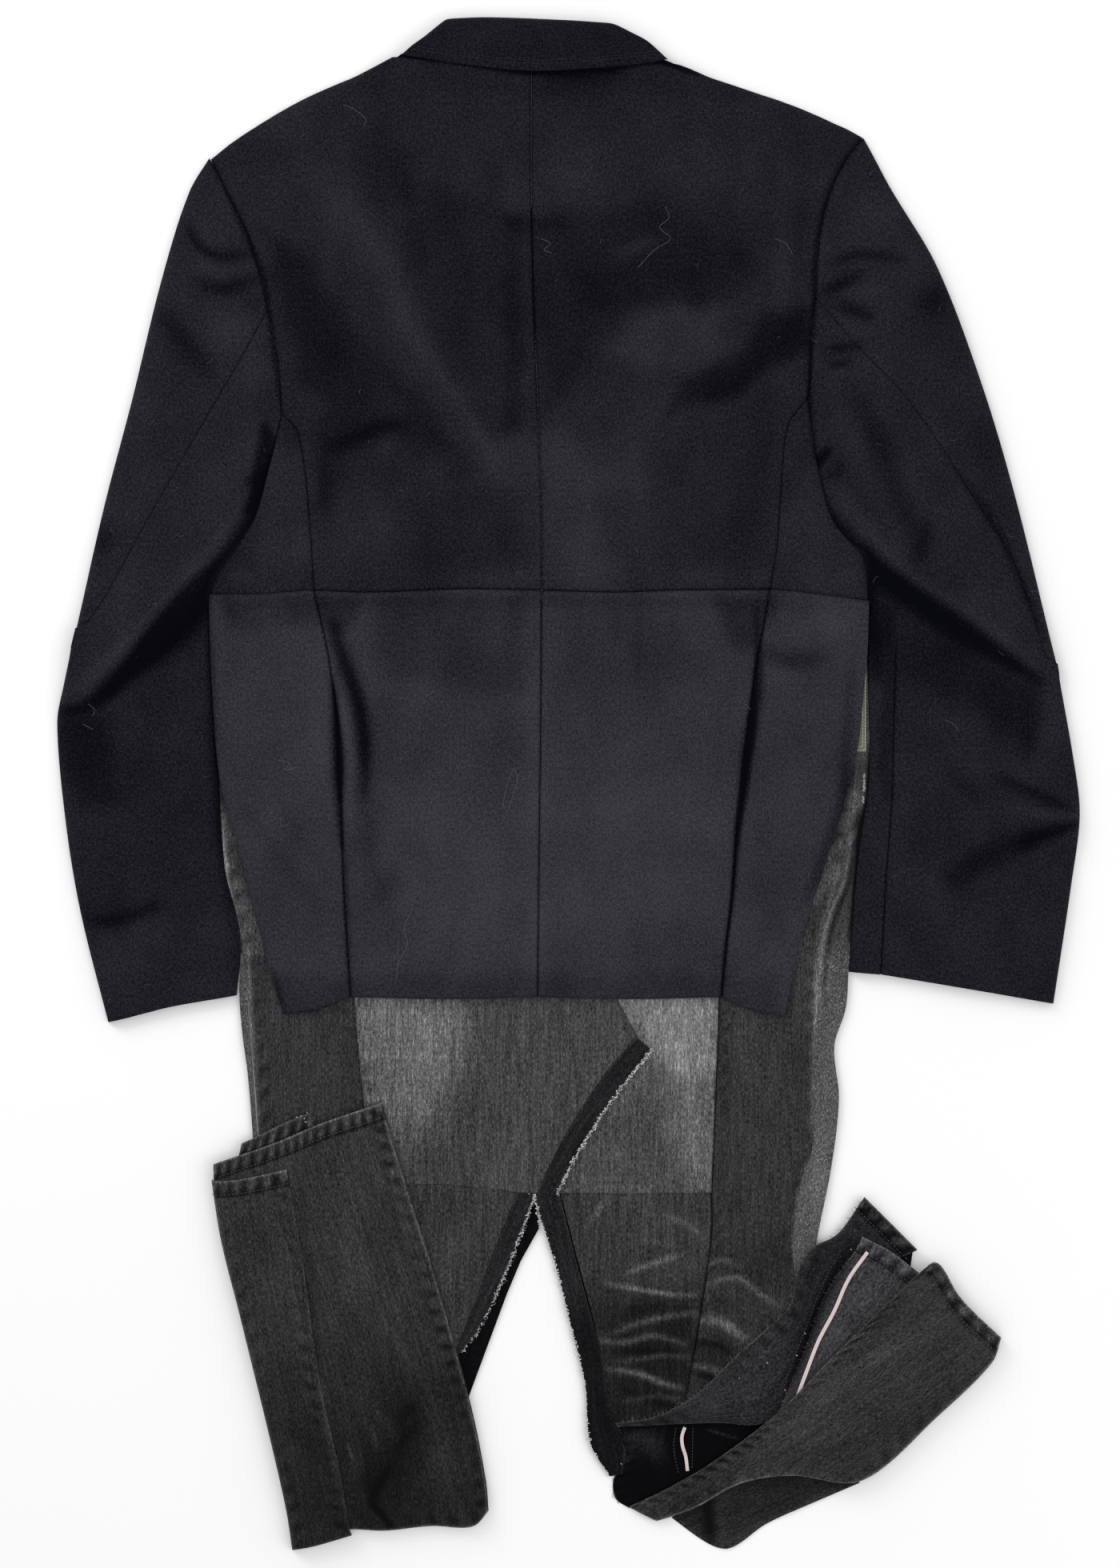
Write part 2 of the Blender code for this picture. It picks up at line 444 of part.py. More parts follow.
def roll_profile(distance, radius):
    """0 at a rolled edge, 1 where the roll ends: a quarter of an ellipse."""
    inner = np.clip(1 - distance / np.maximum(radius, 1e-6), 0, 1)
    return np.sqrt(np.maximum(1 - inner ** 2, 0.0))


def stations_with_rolls(spans, size, first_roll, last_roll):
    """Positions from 0 to 1: even spans, with close ones where an edge is rolled."""
    start = first_roll / size
    stop = 1 - last_roll / size
    positions = [step * start for step in ROLL_STEPS] if first_roll else [0.0]
    for index in range(1, spans):
        position = index / spans
        if start * 1.3 < position < 1 - (1 - stop) * 1.3:
            positions.append(position)
    positions += [1 - step * (1 - stop) for step in reversed(ROLL_STEPS)] if last_roll else [1.0]
    return np.array(positions)


def roll_table(rows, position):
    """Radius and lowest height of a rolled edge at each position along it."""
    table = np.array(rows, float)
    radius = np.interp(position, table[:, 0], table[:, 1])
    low = np.interp(position, table[:, 0], table[:, 2])
    return radius, low


def even_roll(radius, low):
    """A roll that is the same from one end of an edge to the other."""
    return ((0.0, radius, low), (1.0, radius, low))


def panel_points(left, right, top, bottom, rolls, gap):
    """Grid of points between four edges, and each point's distance to them."""
    spans_down = len(left) - 1
    spans_over = len(top) - 1
    widths = np.linalg.norm(left - right, axis=1)
    mean_width = float(widths.mean())
    mean_height = float((np.hypot(*np.diff(left, axis=0).T).sum() + np.hypot(*np.diff(right, axis=0).T).sum()) / 2)
    widest = {side: max(row[1] for row in rows) for side, rows in rolls.items()}
    down = stations_with_rolls(spans_down, mean_height, widest.get("top", 0), widest.get("bottom", 0))
    over = stations_with_rolls(spans_over, mean_width, widest.get("left", 0), widest.get("right", 0))
    down = np.clip(down, gap / 2 / mean_height, 1 - gap / 2 / mean_height)

    v = np.repeat(down[:, None], len(over), axis=1)
    row_left = along_edge(left, down)
    row_right = along_edge(right, down)
    row_width = np.maximum(np.linalg.norm(row_left - row_right, axis=1), 0.5)

    # The rolled part keeps its width in millimetres, so its share of a row changes with the row.
    share_left = widest.get("left", 0) / mean_width
    share_right = widest.get("right", 0) / mean_width
    own_left = np.minimum(widest.get("left", 0), 0.42 * row_width) / row_width
    own_right = np.minimum(widest.get("right", 0), 0.42 * row_width) / row_width
    known = np.array([0.0, share_left, 1 - share_right, 1.0]) if share_left or share_right else None
    u = np.zeros_like(v)
    for index in range(len(down)):
        if known is None:
            u[index] = over
        else:
            own = np.array([0.0, own_left[index], 1 - own_right[index], 1.0])
            u[index] = np.interp(over, known + np.array([0, 1e-9, 2e-9, 3e-9]), own)
    inset = (gap / 2 / row_width)[:, None]
    u = np.clip(u, inset, 1 - inset)

    side_left = along_edge(left, v)
    side_right = along_edge(right, v)
    side_top = along_edge(top, u)
    side_bottom = along_edge(bottom, u)
    corners = ((1 - u) * (1 - v))[..., None] * top[0] + (u * (1 - v))[..., None] * top[-1]
    corners = corners + ((1 - u) * v)[..., None] * bottom[0] + (u * v)[..., None] * bottom[-1]
    grid = (1 - u)[..., None] * side_left + u[..., None] * side_right
    grid = grid + (1 - v)[..., None] * side_top + v[..., None] * side_bottom - corners

    width = row_width[:, None]
    distance = {"left": (u - inset) * width, "right": (1 - u - inset) * width,
                "top": (v - down[0]) * mean_height, "bottom": (down[-1] - v) * mean_height}
    position = {"left": v, "right": v, "top": u, "bottom": u}
    outward = {"left": side_left - side_right, "right": side_right - side_left,
               "top": side_top - side_bottom, "bottom": side_bottom - side_top}
    return grid, distance, position, outward


def closed_panel(left, right, top, bottom, underside, thickness, folds=NO_FOLDS, rolls=None,
                 flat_underside=False, lift=None, gap=SEAM_GAP):
    """Outer and inner points of a panel: cloth of one thickness between four edges."""
    rolls = rolls or {}
    grid, distance, position, outward = panel_points(left, right, top, bottom, rolls, gap)
    across, along = grid[..., 0], grid[..., 1]
    height = underside + thickness + fold_height(folds, across, along)
    if lift is not None:
        height = height + lift(across, along)
    lean = np.zeros(grid.shape)
    upright = np.ones(across.shape)
    lowest = np.full(across.shape, underside)
    for side, rows in rolls.items():
        radius, low = roll_table(rows, position[side])
        rolled = roll_profile(distance[side], radius)
        rolled = np.where(radius > 0.05, rolled, 1.0)
        height = low + (height - low) * rolled
        lowest = np.where(rolled < 1, np.minimum(lowest, low), lowest)
        unit = outward[side] / np.linalg.norm(outward[side], axis=-1, keepdims=True)
        lean = lean + unit * np.sqrt(1 - rolled ** 2)[..., None]
        upright = upright * rolled
    lean_size = np.maximum(np.linalg.norm(lean, axis=-1, keepdims=True), 1.0)
    lean = lean / lean_size
    outer = np.dstack((grid, height))
    if flat_underside:
        inner = np.dstack((grid, np.full(across.shape, underside)))
    else:
        inner_height = np.maximum(height - thickness * np.maximum(upright, 0.0), lowest)
        inner = np.dstack((grid - thickness * lean, inner_height))
    return outer, inner


def closed_mesh(name, outer, inner):
    """A closed mesh from an outer grid and an inner grid of the same size."""
    rows, columns = outer.shape[:2]
    points = np.vstack((outer.reshape(-1, 3), inner.reshape(-1, 3))) * MM
    count = rows * columns

    def at(row, column, layer=0):
        return layer * count + row * columns + column

    faces = []
    for row in range(rows - 1):
        for column in range(columns - 1):
            quad = (at(row, column), at(row + 1, column), at(row + 1, column + 1), at(row, column + 1))
            faces.append(quad)
            faces.append(tuple(count + corner for corner in reversed(quad)))
    rim = [(0, column) for column in range(columns)]
    rim += [(row, columns - 1) for row in range(1, rows)]
    rim += [(rows - 1, column) for column in range(columns - 2, -1, -1)]
    rim += [(row, 0) for row in range(rows - 2, 0, -1)]
    for here, there in zip(rim, rim[1:] + rim[:1]):
        faces.append((at(*here), at(*there), at(*there, 1), at(*here, 1)))
    mesh = bpy.data.meshes.new(name)
    mesh.from_pydata([tuple(point) for point in points], [], faces)
    mesh.update()
    return mesh


def cloth_material(name, colour, roughness):
    """A plain finish for one piece: its colour and how matt it is."""
    material = bpy.data.materials.new(name)
    material.use_nodes = True
    shader = material.node_tree.nodes["Principled BSDF"]
    shader.inputs["Base Color"].default_value = (*colour, 1.0)
    shader.inputs["Roughness"].default_value = roughness
    shader.inputs["Metallic"].default_value = 0.0
    return material


BLACK_WOOL = ((0.016, 0.016, 0.021), 0.95)
FADED_DENIM = ((0.070, 0.070, 0.074), 0.9)
DARK_DENIM = ((0.036, 0.036, 0.038), 0.9)
UNFADED_DENIM = ((0.010, 0.010, 0.012), 0.9)
INNER_DENIM = ((0.020, 0.020, 0.030), 0.92)
SELVAGE = ((0.680, 0.560, 0.560), 0.85)
PATCH_HIDE = ((0.075, 0.075, 0.055), 0.8)


def panel(name, left, right, top, bottom, underside, thickness, finish,
          folds=NO_FOLDS, rolls=None, **shape):
    """Model one sewn piece between four named edges."""
    outer, inner = closed_panel(edge(*left), edge(*right), edge(*top), edge(*bottom),
                                underside, thickness, folds, rolls, **shape)
    add_piece(name, outer, inner, finish)


def add_piece(name, outer, inner, finish):
    """Put a piece into the scene with its own material."""
    mesh = closed_mesh(name, outer, inner)
    mesh.materials.append(cloth_material(name, *finish))
    bpy.context.scene.collection.objects.link(bpy.data.objects.new(name, mesh))


def flat_panel(name, left, right, top, bottom, underside, thickness, finish, **shape):
    """A piece that lies flat, hidden under others or pressed smooth."""
    panel(name, left, right, top, bottom, underside, thickness, finish, flat_underside=True, **shape)


def clear_scene():
    """Remove whatever the new file holds."""
    for thing in list(bpy.data.objects):
        bpy.data.objects.remove(thing, do_unlink=True)


def fronts():
    """The coat's front, which lies face down on the surface: wool bodice, denim skirt and thighs."""
    for side, edges in (("left", ("side", "centre")), ("right", ("centre", "side"))):
        first, second = edges
        flat_panel(f"front_bodice_{side}", [f"front_{side}_{first}"], [f"front_{side}_{second}"],
                   [f"front_{side}_top"], [f"front_{side}_waist"], FLOOR, LINED_FRONT, BLACK_WOOL)
    flat_panel("front_skirt_left", ["skirt_left_side"], ["skirt_left_centre"], ["skirt_left_top"],
               ["skirt_left_bottom_side", "skirt_left_bottom_step", "skirt_left_bottom_middle"],
               FLOOR, DENIM, DARK_DENIM)
    flat_panel("front_skirt_right", ["skirt_right_centre"], ["skirt_right_side"], ["skirt_right_top"],
               ["skirt_right_bottom"], FLOOR, DENIM, DARK_DENIM)
    flat_panel("thigh_front_left", ["thigh_front_left_hidden"], ["thigh_front_left_edge"],
               ["thigh_front_left_top"], ["thigh_front_left_bottom"], FLOOR, DENIM, INNER_DENIM)
    flat_panel("thigh_front_right", ["thigh_front_right_slit"], ["thigh_front_right_side"],
               ["thigh_front_right_top"], ["thigh_front_right_bottom"], FLOOR, DENIM, INNER_DENIM)


def under_sleeves():
    """The half of each sleeve that lies on the surface."""
    flat_panel("sleeve_left_under", ["sleeve_left_outer"], ["sleeve_left_inner"],
               ["sleeve_left_top"], ["sleeve_left_cuff"], FLOOR, LINED_FRONT, BLACK_WOOL)
    flat_panel("sleeve_right_under", ["sleeve_right_inner"], ["sleeve_right_outer"],
               ["sleeve_right_top"], ["sleeve_right_cuff"], FLOOR, LINED_FRONT, BLACK_WOOL)


def overlap_lift(across, along):
    """The left seat panel climbs onto the right one near its frayed diagonal edge."""
    x0, y0, x1, y1 = -23.4, -304.0, 51.0, -189.0
    length = math.hypot(x1 - x0, y1 - y0)
    inside = ((across - x0) * (y1 - y0) - (along - y0) * (x1 - x0)) / length
    near = np.clip(1 + inside / 30.0, 0, 1)
    below_hem = np.clip((-176.0 - along) / 20.0, 0, 1)
    return (DENIM_LAP - DENIM_BACK) * near * near * (3 - 2 * near) * below_hem


def denim_back():
    """Seat and thigh panels of the jeans, the turned side strips, the bands and the waist patch."""
    flat_panel("skirt_side_left", ["side_left"], ["seam_left_upper"], ["top_side_left"], ["bottom_side_left"],
               DENIM_BACK, DENIM, DARK_DENIM)
    panel("skirt_back_left", ["seam_left_upper", "seam_left_corner"],
          ["overlap_hidden", "overlap_edge", "overlap_diagonal"], ["top_left"], ["crotch_left_thigh", "crotch_left_slit"],
          DENIM_BACK, DENIM, FADED_DENIM, lift=overlap_lift)
    flat_panel("skirt_back_right", ["overlap_hidden", "overlap_edge", "overlap_diagonal"],
               ["seam_right_upper"], ["top_right"], ["crotch_right"], DENIM_BACK, DENIM, FADED_DENIM)
    flat_panel("skirt_side_right", ["seam_right_upper", "seam_right_lower"], ["turn_right_seam"],
               ["top_side_right"], ["-side_right_end"], DENIM_BACK, DENIM, DARK_DENIM)
    flat_panel("skirt_turn_left", ["turn_left_edge"], ["turn_left_seam"], ["turn_left_top"],
               ["turn_left_bottom"], DENIM_BACK, DENIM, FADED_DENIM, gap=STRIP_GAP)
    flat_panel("skirt_turn_right", ["turn_right_seam"], ["turn_right_edge"], ["turn_right_top"],
               ["turn_right_bottom"], DENIM_BACK, DENIM, FADED_DENIM, gap=STRIP_GAP)
    flat_panel("thigh_back_left", ["thigh_left_hidden"], ["thigh_left_band"], ["crotch_left_thigh"],
               ["thigh_left_bottom"], DENIM_BACK, DENIM, DARK_DENIM)
    flat_panel("thigh_back_right", ["thigh_right_band"], ["seam_right_lower"], ["thigh_right_top"],
               ["thigh_right_bottom"], DENIM_BACK, DENIM, DARK_DENIM)
    flat_panel("slit_band_left", ["slit_left_band"], ["slit_left_fray"], ["slit_left_top"],
               ["slit_left_bottom"], DENIM_BACK, DENIM, UNFADED_DENIM)
    flat_panel("slit_band_right", ["slit_right_fray"], ["slit_right_band"], ["slit_right_top"],
               ["slit_right_bottom"], DENIM_BACK, DENIM, UNFADED_DENIM)
    flat_panel("seam_band_diagonal", ["band_diagonal"], ["fray_diagonal"], ["band_diagonal_top"],
               ["band_diagonal_bottom"], DENIM_LAP, DENIM, UNFADED_DENIM)


def jacket_back():
    """Back, side backs and the peplum below the waist seam, all in wool."""
    # The shoulders roll down to the surface; the neck edge stays up, level with the collar stand.
    roll_left = ((0, SHOULDER_ROLL, 0), (0.5, SHOULDER_ROLL, 0), (0.62, 0, 0), (1, 0, 0))
    roll_right = ((0, 0, 0), (0.38, 0, 0), (0.5, SHOULDER_ROLL, 0), (1, SHOULDER_ROLL, 0))
    side_roll = even_roll(SIDE_ROLL, FLOOR)
    hem_roll = even_roll(HEM_ROLL, LEFT_HEM_LAYER)
    wool = dict(underside=WOOL_BACK, thickness=WOOL, finish=BLACK_WOOL, folds=BODY_FOLDS)
    panel("back_left", ["armhole_left_cap", "armhole_left_mid", "armhole_left_low", "princess_left_upper"],
          ["centre_upper"], ["shoulder_left", "neck_left"], ["waist_left"], rolls={"top": roll_left}, **wool)
    panel("back_right", ["centre_upper"],
          ["armhole_right_cap", "armhole_right_mid", "armhole_right_low", "princess_right_upper"],
          ["neck_right", "shoulder_right"], ["waist_right"], rolls={"top": roll_right}, **wool)
    panel("side_back_left", ["side_left_upper"], ["princess_left_upper"], ["-armhole_left_end"],
          ["waist_left_side"], rolls={"left": side_roll}, **wool)
    panel("side_back_right", ["princess_right_upper"], ["side_right_upper"], ["armhole_right_end"],
          ["waist_right_side"], rolls={"right": side_roll}, **wool)
    panel("peplum_back_left", ["princess_left_lower"], ["centre_lower"], ["waist_left"], ["hem_left"],
          rolls={"bottom": hem_roll}, **wool)
    panel("peplum_back_right", ["centre_lower"], ["princess_right_lower"], ["waist_right"], ["hem_right"],
          rolls={"bottom": hem_roll}, **wool)
    panel("peplum_side_left", ["side_left_lower"], ["princess_left_lower"], ["waist_left_side"],
          ["hem_left_side"], rolls={"left": hem_roll, "bottom": hem_roll}, **wool)
    panel("peplum_side_right", ["princess_right_lower"], ["side_right_lower"], ["waist_right_side"],
          ["hem_right_side"], rolls={"bottom": hem_roll}, **wool)


def collar():
    """The fall that folds over at the top, the stand inside it and the front part under both."""
    # At its lower corners the fall lifts clear of the stand, which comes out from under it.
    clear = COLLAR_FALL - 0.6
    slope_left = ((0, COLLAR_ROLL, 0), (0.5, COLLAR_ROLL, 0), (0.75, 3, clear), (1, 3, clear))
    slope_right = ((0, COLLAR_ROLL, 0), (0.35, COLLAR_ROLL, 0), (0.6, 3, clear), (1, 3, clear))
    panel("collar", ["slope_left"], ["slope_right"], ["fold"], ["fall_edge"], COLLAR_FALL, COLLAR_CLOTH,
          BLACK_WOOL, rolls={"top": even_roll(COLLAR_ROLL, FLOOR), "left": slope_left, "right": slope_right})
    flat_panel("collar_stand", ["stand_left"], ["stand_right"], ["stand_top"], ["stand_bottom"],
               COLLAR_STAND, WOOL, BLACK_WOOL)
    flat_panel("collar_under", ["collar_under_left"], ["collar_under_right"], ["collar_under_top"],
               ["collar_under_bottom"], FLOOR, LINED_FRONT, BLACK_WOOL)


def sleeves():
    """The halves of the two-piece sleeves that show: top sleeve, hind panel and, right, the fore turn."""
    wool = dict(underside=WOOL_BACK, thickness=WOOL, finish=BLACK_WOOL)
    # The roll is narrower at the elbow, where the top sleeve runs out to a point.
    outer_roll = ((0, SLEEVE_ROLL, FLOOR), (0.8, SLEEVE_ROLL, FLOOR), (1, SLEEVE_ROLL / 2, FLOOR))
    panel("sleeve_left_top", ["left_outer_upper"], ["left_hind"], ["armhole_left_cap"], ["-left_tip_upper"],
          folds=LEFT_SLEEVE_FOLDS, rolls={"left": outer_roll}, gap=SLEEVE_GAP, **wool)
    # The hind panel is flat along its seams and rolled along its free edges.
    left_rolls = {"left": ((0, 0, 0), (0.62, 0, 0), (0.66, SLEEVE_ROLL, 0), (1, SLEEVE_ROLL, 0)),
                  "right": ((0, 0, 0), (0.24, 0, 0), (0.32, SIDE_ROLL, 0), (1, SIDE_ROLL, 0))}
    panel("sleeve_left_hind", ["left_hind", "left_tip", "left_outer_lower"],
          ["armhole_left_low", "armhole_left_end", "left_free_upper", "left_free_lower"],
          ["armhole_left_mid"], ["left_cuff"], folds=LEFT_SLEEVE_FOLDS, rolls=left_rolls, **wool)
    panel("sleeve_right_top", ["right_hind"], ["right_outer_upper"], ["-armhole_right_cap"], ["-right_tip_upper"],
          folds=RIGHT_SLEEVE_FOLDS, rolls={"right": outer_roll}, gap=SLEEVE_GAP, **wool)
    right_rolls = {"left": ((0, 0, 0), (0.26, 0, 0), (0.34, SIDE_ROLL, 0), (0.56, SIDE_ROLL, 0), (0.62, 0, 0),
                            (1, 0, 0)),
                   "right": ((0, 0, 0), (0.62, 0, 0), (0.66, SLEEVE_ROLL, 0), (1, SLEEVE_ROLL, 0))}
    panel("sleeve_right_hind",
          ["armhole_right_low", "armhole_right_end", "right_free_upper", "right_fore_top", "right_fore"],
          ["right_hind", "-right_tip", "right_outer_lower"],
          ["-armhole_right_mid"], ["right_cuff_hind"], folds=RIGHT_SLEEVE_FOLDS, rolls=right_rolls, **wool)
    panel("sleeve_right_turn", ["right_free_lower"], ["right_fore"], ["right_fore_top"], ["right_cuff_turn"],
          folds=RIGHT_SLEEVE_FOLDS, rolls={"left": even_roll(SIDE_ROLL, FLOOR)}, **wool)


def rounded_core(name, left, right, top, bottom, height, finish):
    """Hidden layers of a folded leg as one rounded solid that lies flat."""
    edge_height = 2.0
    roll = even_roll(LEG_ROLL, edge_height)
    panel(name, left, right, top, bottom, FLOOR, height, finish, flat_underside=True,
          rolls={"left": roll, "right": roll, "top": roll, "bottom": roll})


def left_leg():
    """The lower left leg, folded up over its thigh."""
    rounded_core("leg_left_core", ["core_left"], ["core_right"], ["core_top"], ["core_bottom"],
                 LEFT_CORE_TOP, DARK_DENIM)
    flat_panel("leg_left_back_hem", ["back_hem_left"], ["back_hem_right"], ["back_hem_top"],
               ["back_hem_bottom"], LEFT_HEM_LAYER, 2 * DENIM, DARK_DENIM)
    # Over the thigh the edge turns down to the denim back, and past it down to the surface.
    side_rolls = ((0, 5, LEFT_HEM_LAYER), (0.72, 5, LEFT_HEM_LAYER), (0.82, LEG_ROLL, 0), (1, LEG_ROLL, 0))
    panel("leg_left_main", ["main_left"], ["main_right"], ["main_hem"], ["main_bottom"],
          LEFT_MAIN, DENIM, DARK_DENIM, LEFT_LEG_FOLDS,
          {"right": side_rolls, "bottom": even_roll(LEG_ROLL, FLOOR)})
    panel("leg_left_lap", ["lap_left"], ["lap_right"], ["lap_hem"], ["lap_bottom"],
          LEFT_LAP, DENIM, DARK_DENIM, LEFT_LEG_FOLDS + LEFT_LAP_FOLDS,
          {"left": even_roll(6, FLOOR), "bottom": even_roll(6, FLOOR)})


def strip_panel(name, stations, width, underside, thickness, finish, folds=NO_FOLDS):
    """A narrow tape along a curve, which follows the folds of what it lies on."""
    steps = 2 * len(stations)
    middle = smooth_run(stations, steps)
    way = np.gradient(middle, axis=0)
    way = way / np.linalg.norm(way, axis=1, keepdims=True)
    aside = np.column_stack((way[:, 1], -way[:, 0])) * (width + SEAM_GAP) / 2
    outer, inner = closed_panel(middle + aside, middle - aside,
                                np.array([middle[0] + aside[0], middle[0] - aside[0]]),
                                np.array([middle[-1] + aside[-1], middle[-1] - aside[-1]]),
                                underside, thickness, folds)
    add_piece(name, outer, inner, finish)


def outside_lift(across, along):
    """The outer panel comes down towards the fold at its lower left end."""
    share = np.clip((170.0 - across) / 60.0, 0, 1)
    return (RIGHT_OUTSIDE_END - RIGHT_OUTSIDE) * share * share * (3 - 2 * share)


def right_leg():
    """The lower right leg, opened along its inner seam and folded up to the side."""
    rounded_core("leg_right_core_low", ["low_core_left"], ["low_core_right"], ["low_core_top"],
                 ["low_core_bottom"], RIGHT_CORE_LOW_TOP, DARK_DENIM)
    rounded_core("leg_right_core_high", ["high_core_left"], ["high_core_right"], ["high_core_top"],
                 ["high_core_bottom"], RIGHT_CORE_HIGH_TOP, DARK_DENIM)
    flat_panel("leg_right_deep", ["deep_left"], ["deep_right"], ["deep_top"], ["deep_bottom"],
               FLOOR, DENIM, INNER_DENIM)
    panel("leg_right_inside_upper", ["upper_raw"], ["upper_hidden"], ["upper_hem"], ["upper_end"],
          RIGHT_INSIDE_UPPER, DENIM, INNER_DENIM, RIGHT_INSIDE_FOLDS)
    panel("leg_right_inside_lower", ["lower_seam"], ["lower_hidden"], ["lower_hem"], ["lower_end"],
          RIGHT_INSIDE_LOWER, DENIM, INNER_DENIM, RIGHT_INSIDE_FOLDS)
    strip_panel("selvage_tape_long", ((223.5, -350), (209.4, -370), (198.6, -394), (187, -416), (177.6, -440),
                                      (171, -458)), 2.6, RIGHT_TAPE_LONG, TAPE, SELVAGE,
                RIGHT_INSIDE_FOLDS)
    strip_panel("selvage_tape_short", ((87, -482), (84.8, -489), (85.2, -496), (87.6, -504), (89, -515)),
                2.4, DENIM + SEAM_GAP, TAPE, SELVAGE)
    lower_rolls = ((0, LEG_ROLL, 0), (0.42, LEG_ROLL, 0), (0.5, 4, RIGHT_EDGE_LOW), (1, 4, RIGHT_EDGE_LOW))
    panel("leg_right_outside", ["outside_upper"], ["outside_lower"], ["outside_hem"], ["outside_end"],
          RIGHT_OUTSIDE, DENIM, DARK_DENIM, RIGHT_OUTSIDE_FOLDS, {"right": lower_rolls}, lift=outside_lift)
    panel("leg_right_under_fold", ["under_left"], ["under_right"], ["under_top"], ["under_bottom"],
          FLOOR, DENIM, DARK_DENIM, UNDER_FOLD_FOLDS)


def waist_patch():
    """Blank patch sewn on the waist of the jeans, which shows between jacket and sleeve."""
    left, right, upper, lower = 168.0, 222.8, 94.0, 24.0
    spans = 2
    corners = {"left": ((left, upper), (left, lower)), "right": ((right, upper), (right, lower)),
               "top": ((left, upper), (right, upper)), "bottom": ((left, lower), (right, lower))}
    edges = {side: smooth_run(ends, spans) for side, ends in corners.items()}
    outer, inner = closed_panel(edges["left"], edges["right"], edges["top"], edges["bottom"],
                                DENIM_LAP, PATCH)
    add_piece("waist_patch", outer, inner, PATCH_HIDE)


def main():
    """Build every piece of the coat."""
    clear_scene()
    fronts()
    under_sleeves()
    denim_back()
    waist_patch()
    jacket_back()
    collar()
    sleeves()
    left_leg()
    right_leg()


main()
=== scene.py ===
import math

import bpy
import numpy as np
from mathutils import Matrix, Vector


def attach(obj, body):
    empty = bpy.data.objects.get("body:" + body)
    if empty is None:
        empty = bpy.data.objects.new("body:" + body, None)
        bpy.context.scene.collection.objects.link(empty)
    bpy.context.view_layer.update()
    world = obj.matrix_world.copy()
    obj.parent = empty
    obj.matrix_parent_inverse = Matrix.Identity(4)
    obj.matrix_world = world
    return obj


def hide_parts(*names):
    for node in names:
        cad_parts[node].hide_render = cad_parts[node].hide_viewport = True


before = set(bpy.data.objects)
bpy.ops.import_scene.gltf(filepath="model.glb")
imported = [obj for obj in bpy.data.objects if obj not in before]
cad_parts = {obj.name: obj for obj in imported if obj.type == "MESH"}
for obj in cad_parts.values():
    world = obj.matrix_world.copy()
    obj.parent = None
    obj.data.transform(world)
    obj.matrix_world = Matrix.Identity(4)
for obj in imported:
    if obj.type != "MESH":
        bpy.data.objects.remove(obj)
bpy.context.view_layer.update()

# %% [markdown]
# # A long coat laid flat: wool jacket back over a skirt made from jeans
# The photo looks straight down on the coat, back upwards, with both lower legs folded up.
# The imported solids give every piece its place. Here each piece becomes a thin shell of cloth on its
# solid's form, with finer folds, seams, hems, stitches and frayed threads.

MM = 0.001
rng = np.random.default_rng(20)
scene = bpy.context.scene

# %% [markdown]
# # Camera, floor and light
# The photo covers 840 by 1176 mm of the surface, so a long lens straight above it keeps the
# outline free of perspective. Black cloth needs a large soft light: a wide one from the upper left
# draws the folds, a weaker one from the right opens the shadows, and a pale floor fills the rest.

# %% camera, floor and light
PICTURE_HEIGHT = 1.176
LENS = 85.0
SENSOR = 36.0
PICTURE_MIDDLE = -0.0066


def in_scene(name, data):
    """A new object of the scene that shows the data."""
    made = bpy.data.objects.new(name, data)
    scene.collection.objects.link(made)
    return made


camera_data = bpy.data.cameras.new("camera")
camera_data.lens = LENS
camera_data.sensor_width = SENSOR
camera = in_scene("camera", camera_data)
camera.location = (PICTURE_MIDDLE, 0.0, PICTURE_HEIGHT * LENS / SENSOR)
scene.camera = camera


def area_light(name, place, size, power):
    """A square soft light that points at the middle of the coat."""
    data = bpy.data.lights.new(name, "AREA")
    data.shape = "SQUARE"
    data.size = size
    data.energy = power
    light = in_scene(name, data)
    light.location = place
    light.rotation_euler = (-Vector(place)).to_track_quat("-Z", "Y").to_euler()


area_light("key", place=(-1.5, 1.5, 1.15), size=1.1, power=27.0)
area_light("fill", place=(1.7, -0.7, 1.6), size=1.6, power=14.0)

world = bpy.data.worlds.new("room")
world.use_nodes = True
sky = world.node_tree.nodes["Background"]
sky.inputs["Color"].default_value = (1.0, 1.0, 1.0, 1.0)
sky.inputs["Strength"].default_value = 0.92
scene.world = world
scene.view_settings.view_transform = "Standard"
scene.view_settings.look = "None"
scene.view_settings.exposure = 0.0

FLOOR_HALF = 4.0
FLOOR_LEVEL = -0.0004
floor_mesh = bpy.data.meshes.new("floor")
quarters = ((-1, -1), (1, -1), (1, 1), (-1, 1))
floor_corners = [(x * FLOOR_HALF, y * FLOOR_HALF, FLOOR_LEVEL) for x, y in quarters]
floor_mesh.from_pydata(floor_corners, [], [(0, 1, 2, 3)])
floor = in_scene("floor", floor_mesh)
print("camera height, m:", round(camera.location.z, 3))

# %% [markdown]
# # Seams and folds
# The seams are the same as the solids': each is a smooth curve through a few stations, in
# millimetres, so a shell fits its solid and meets its neighbour. "across" runs from the wearer's left
# to the right and "along" from the leg ends up to the collar.

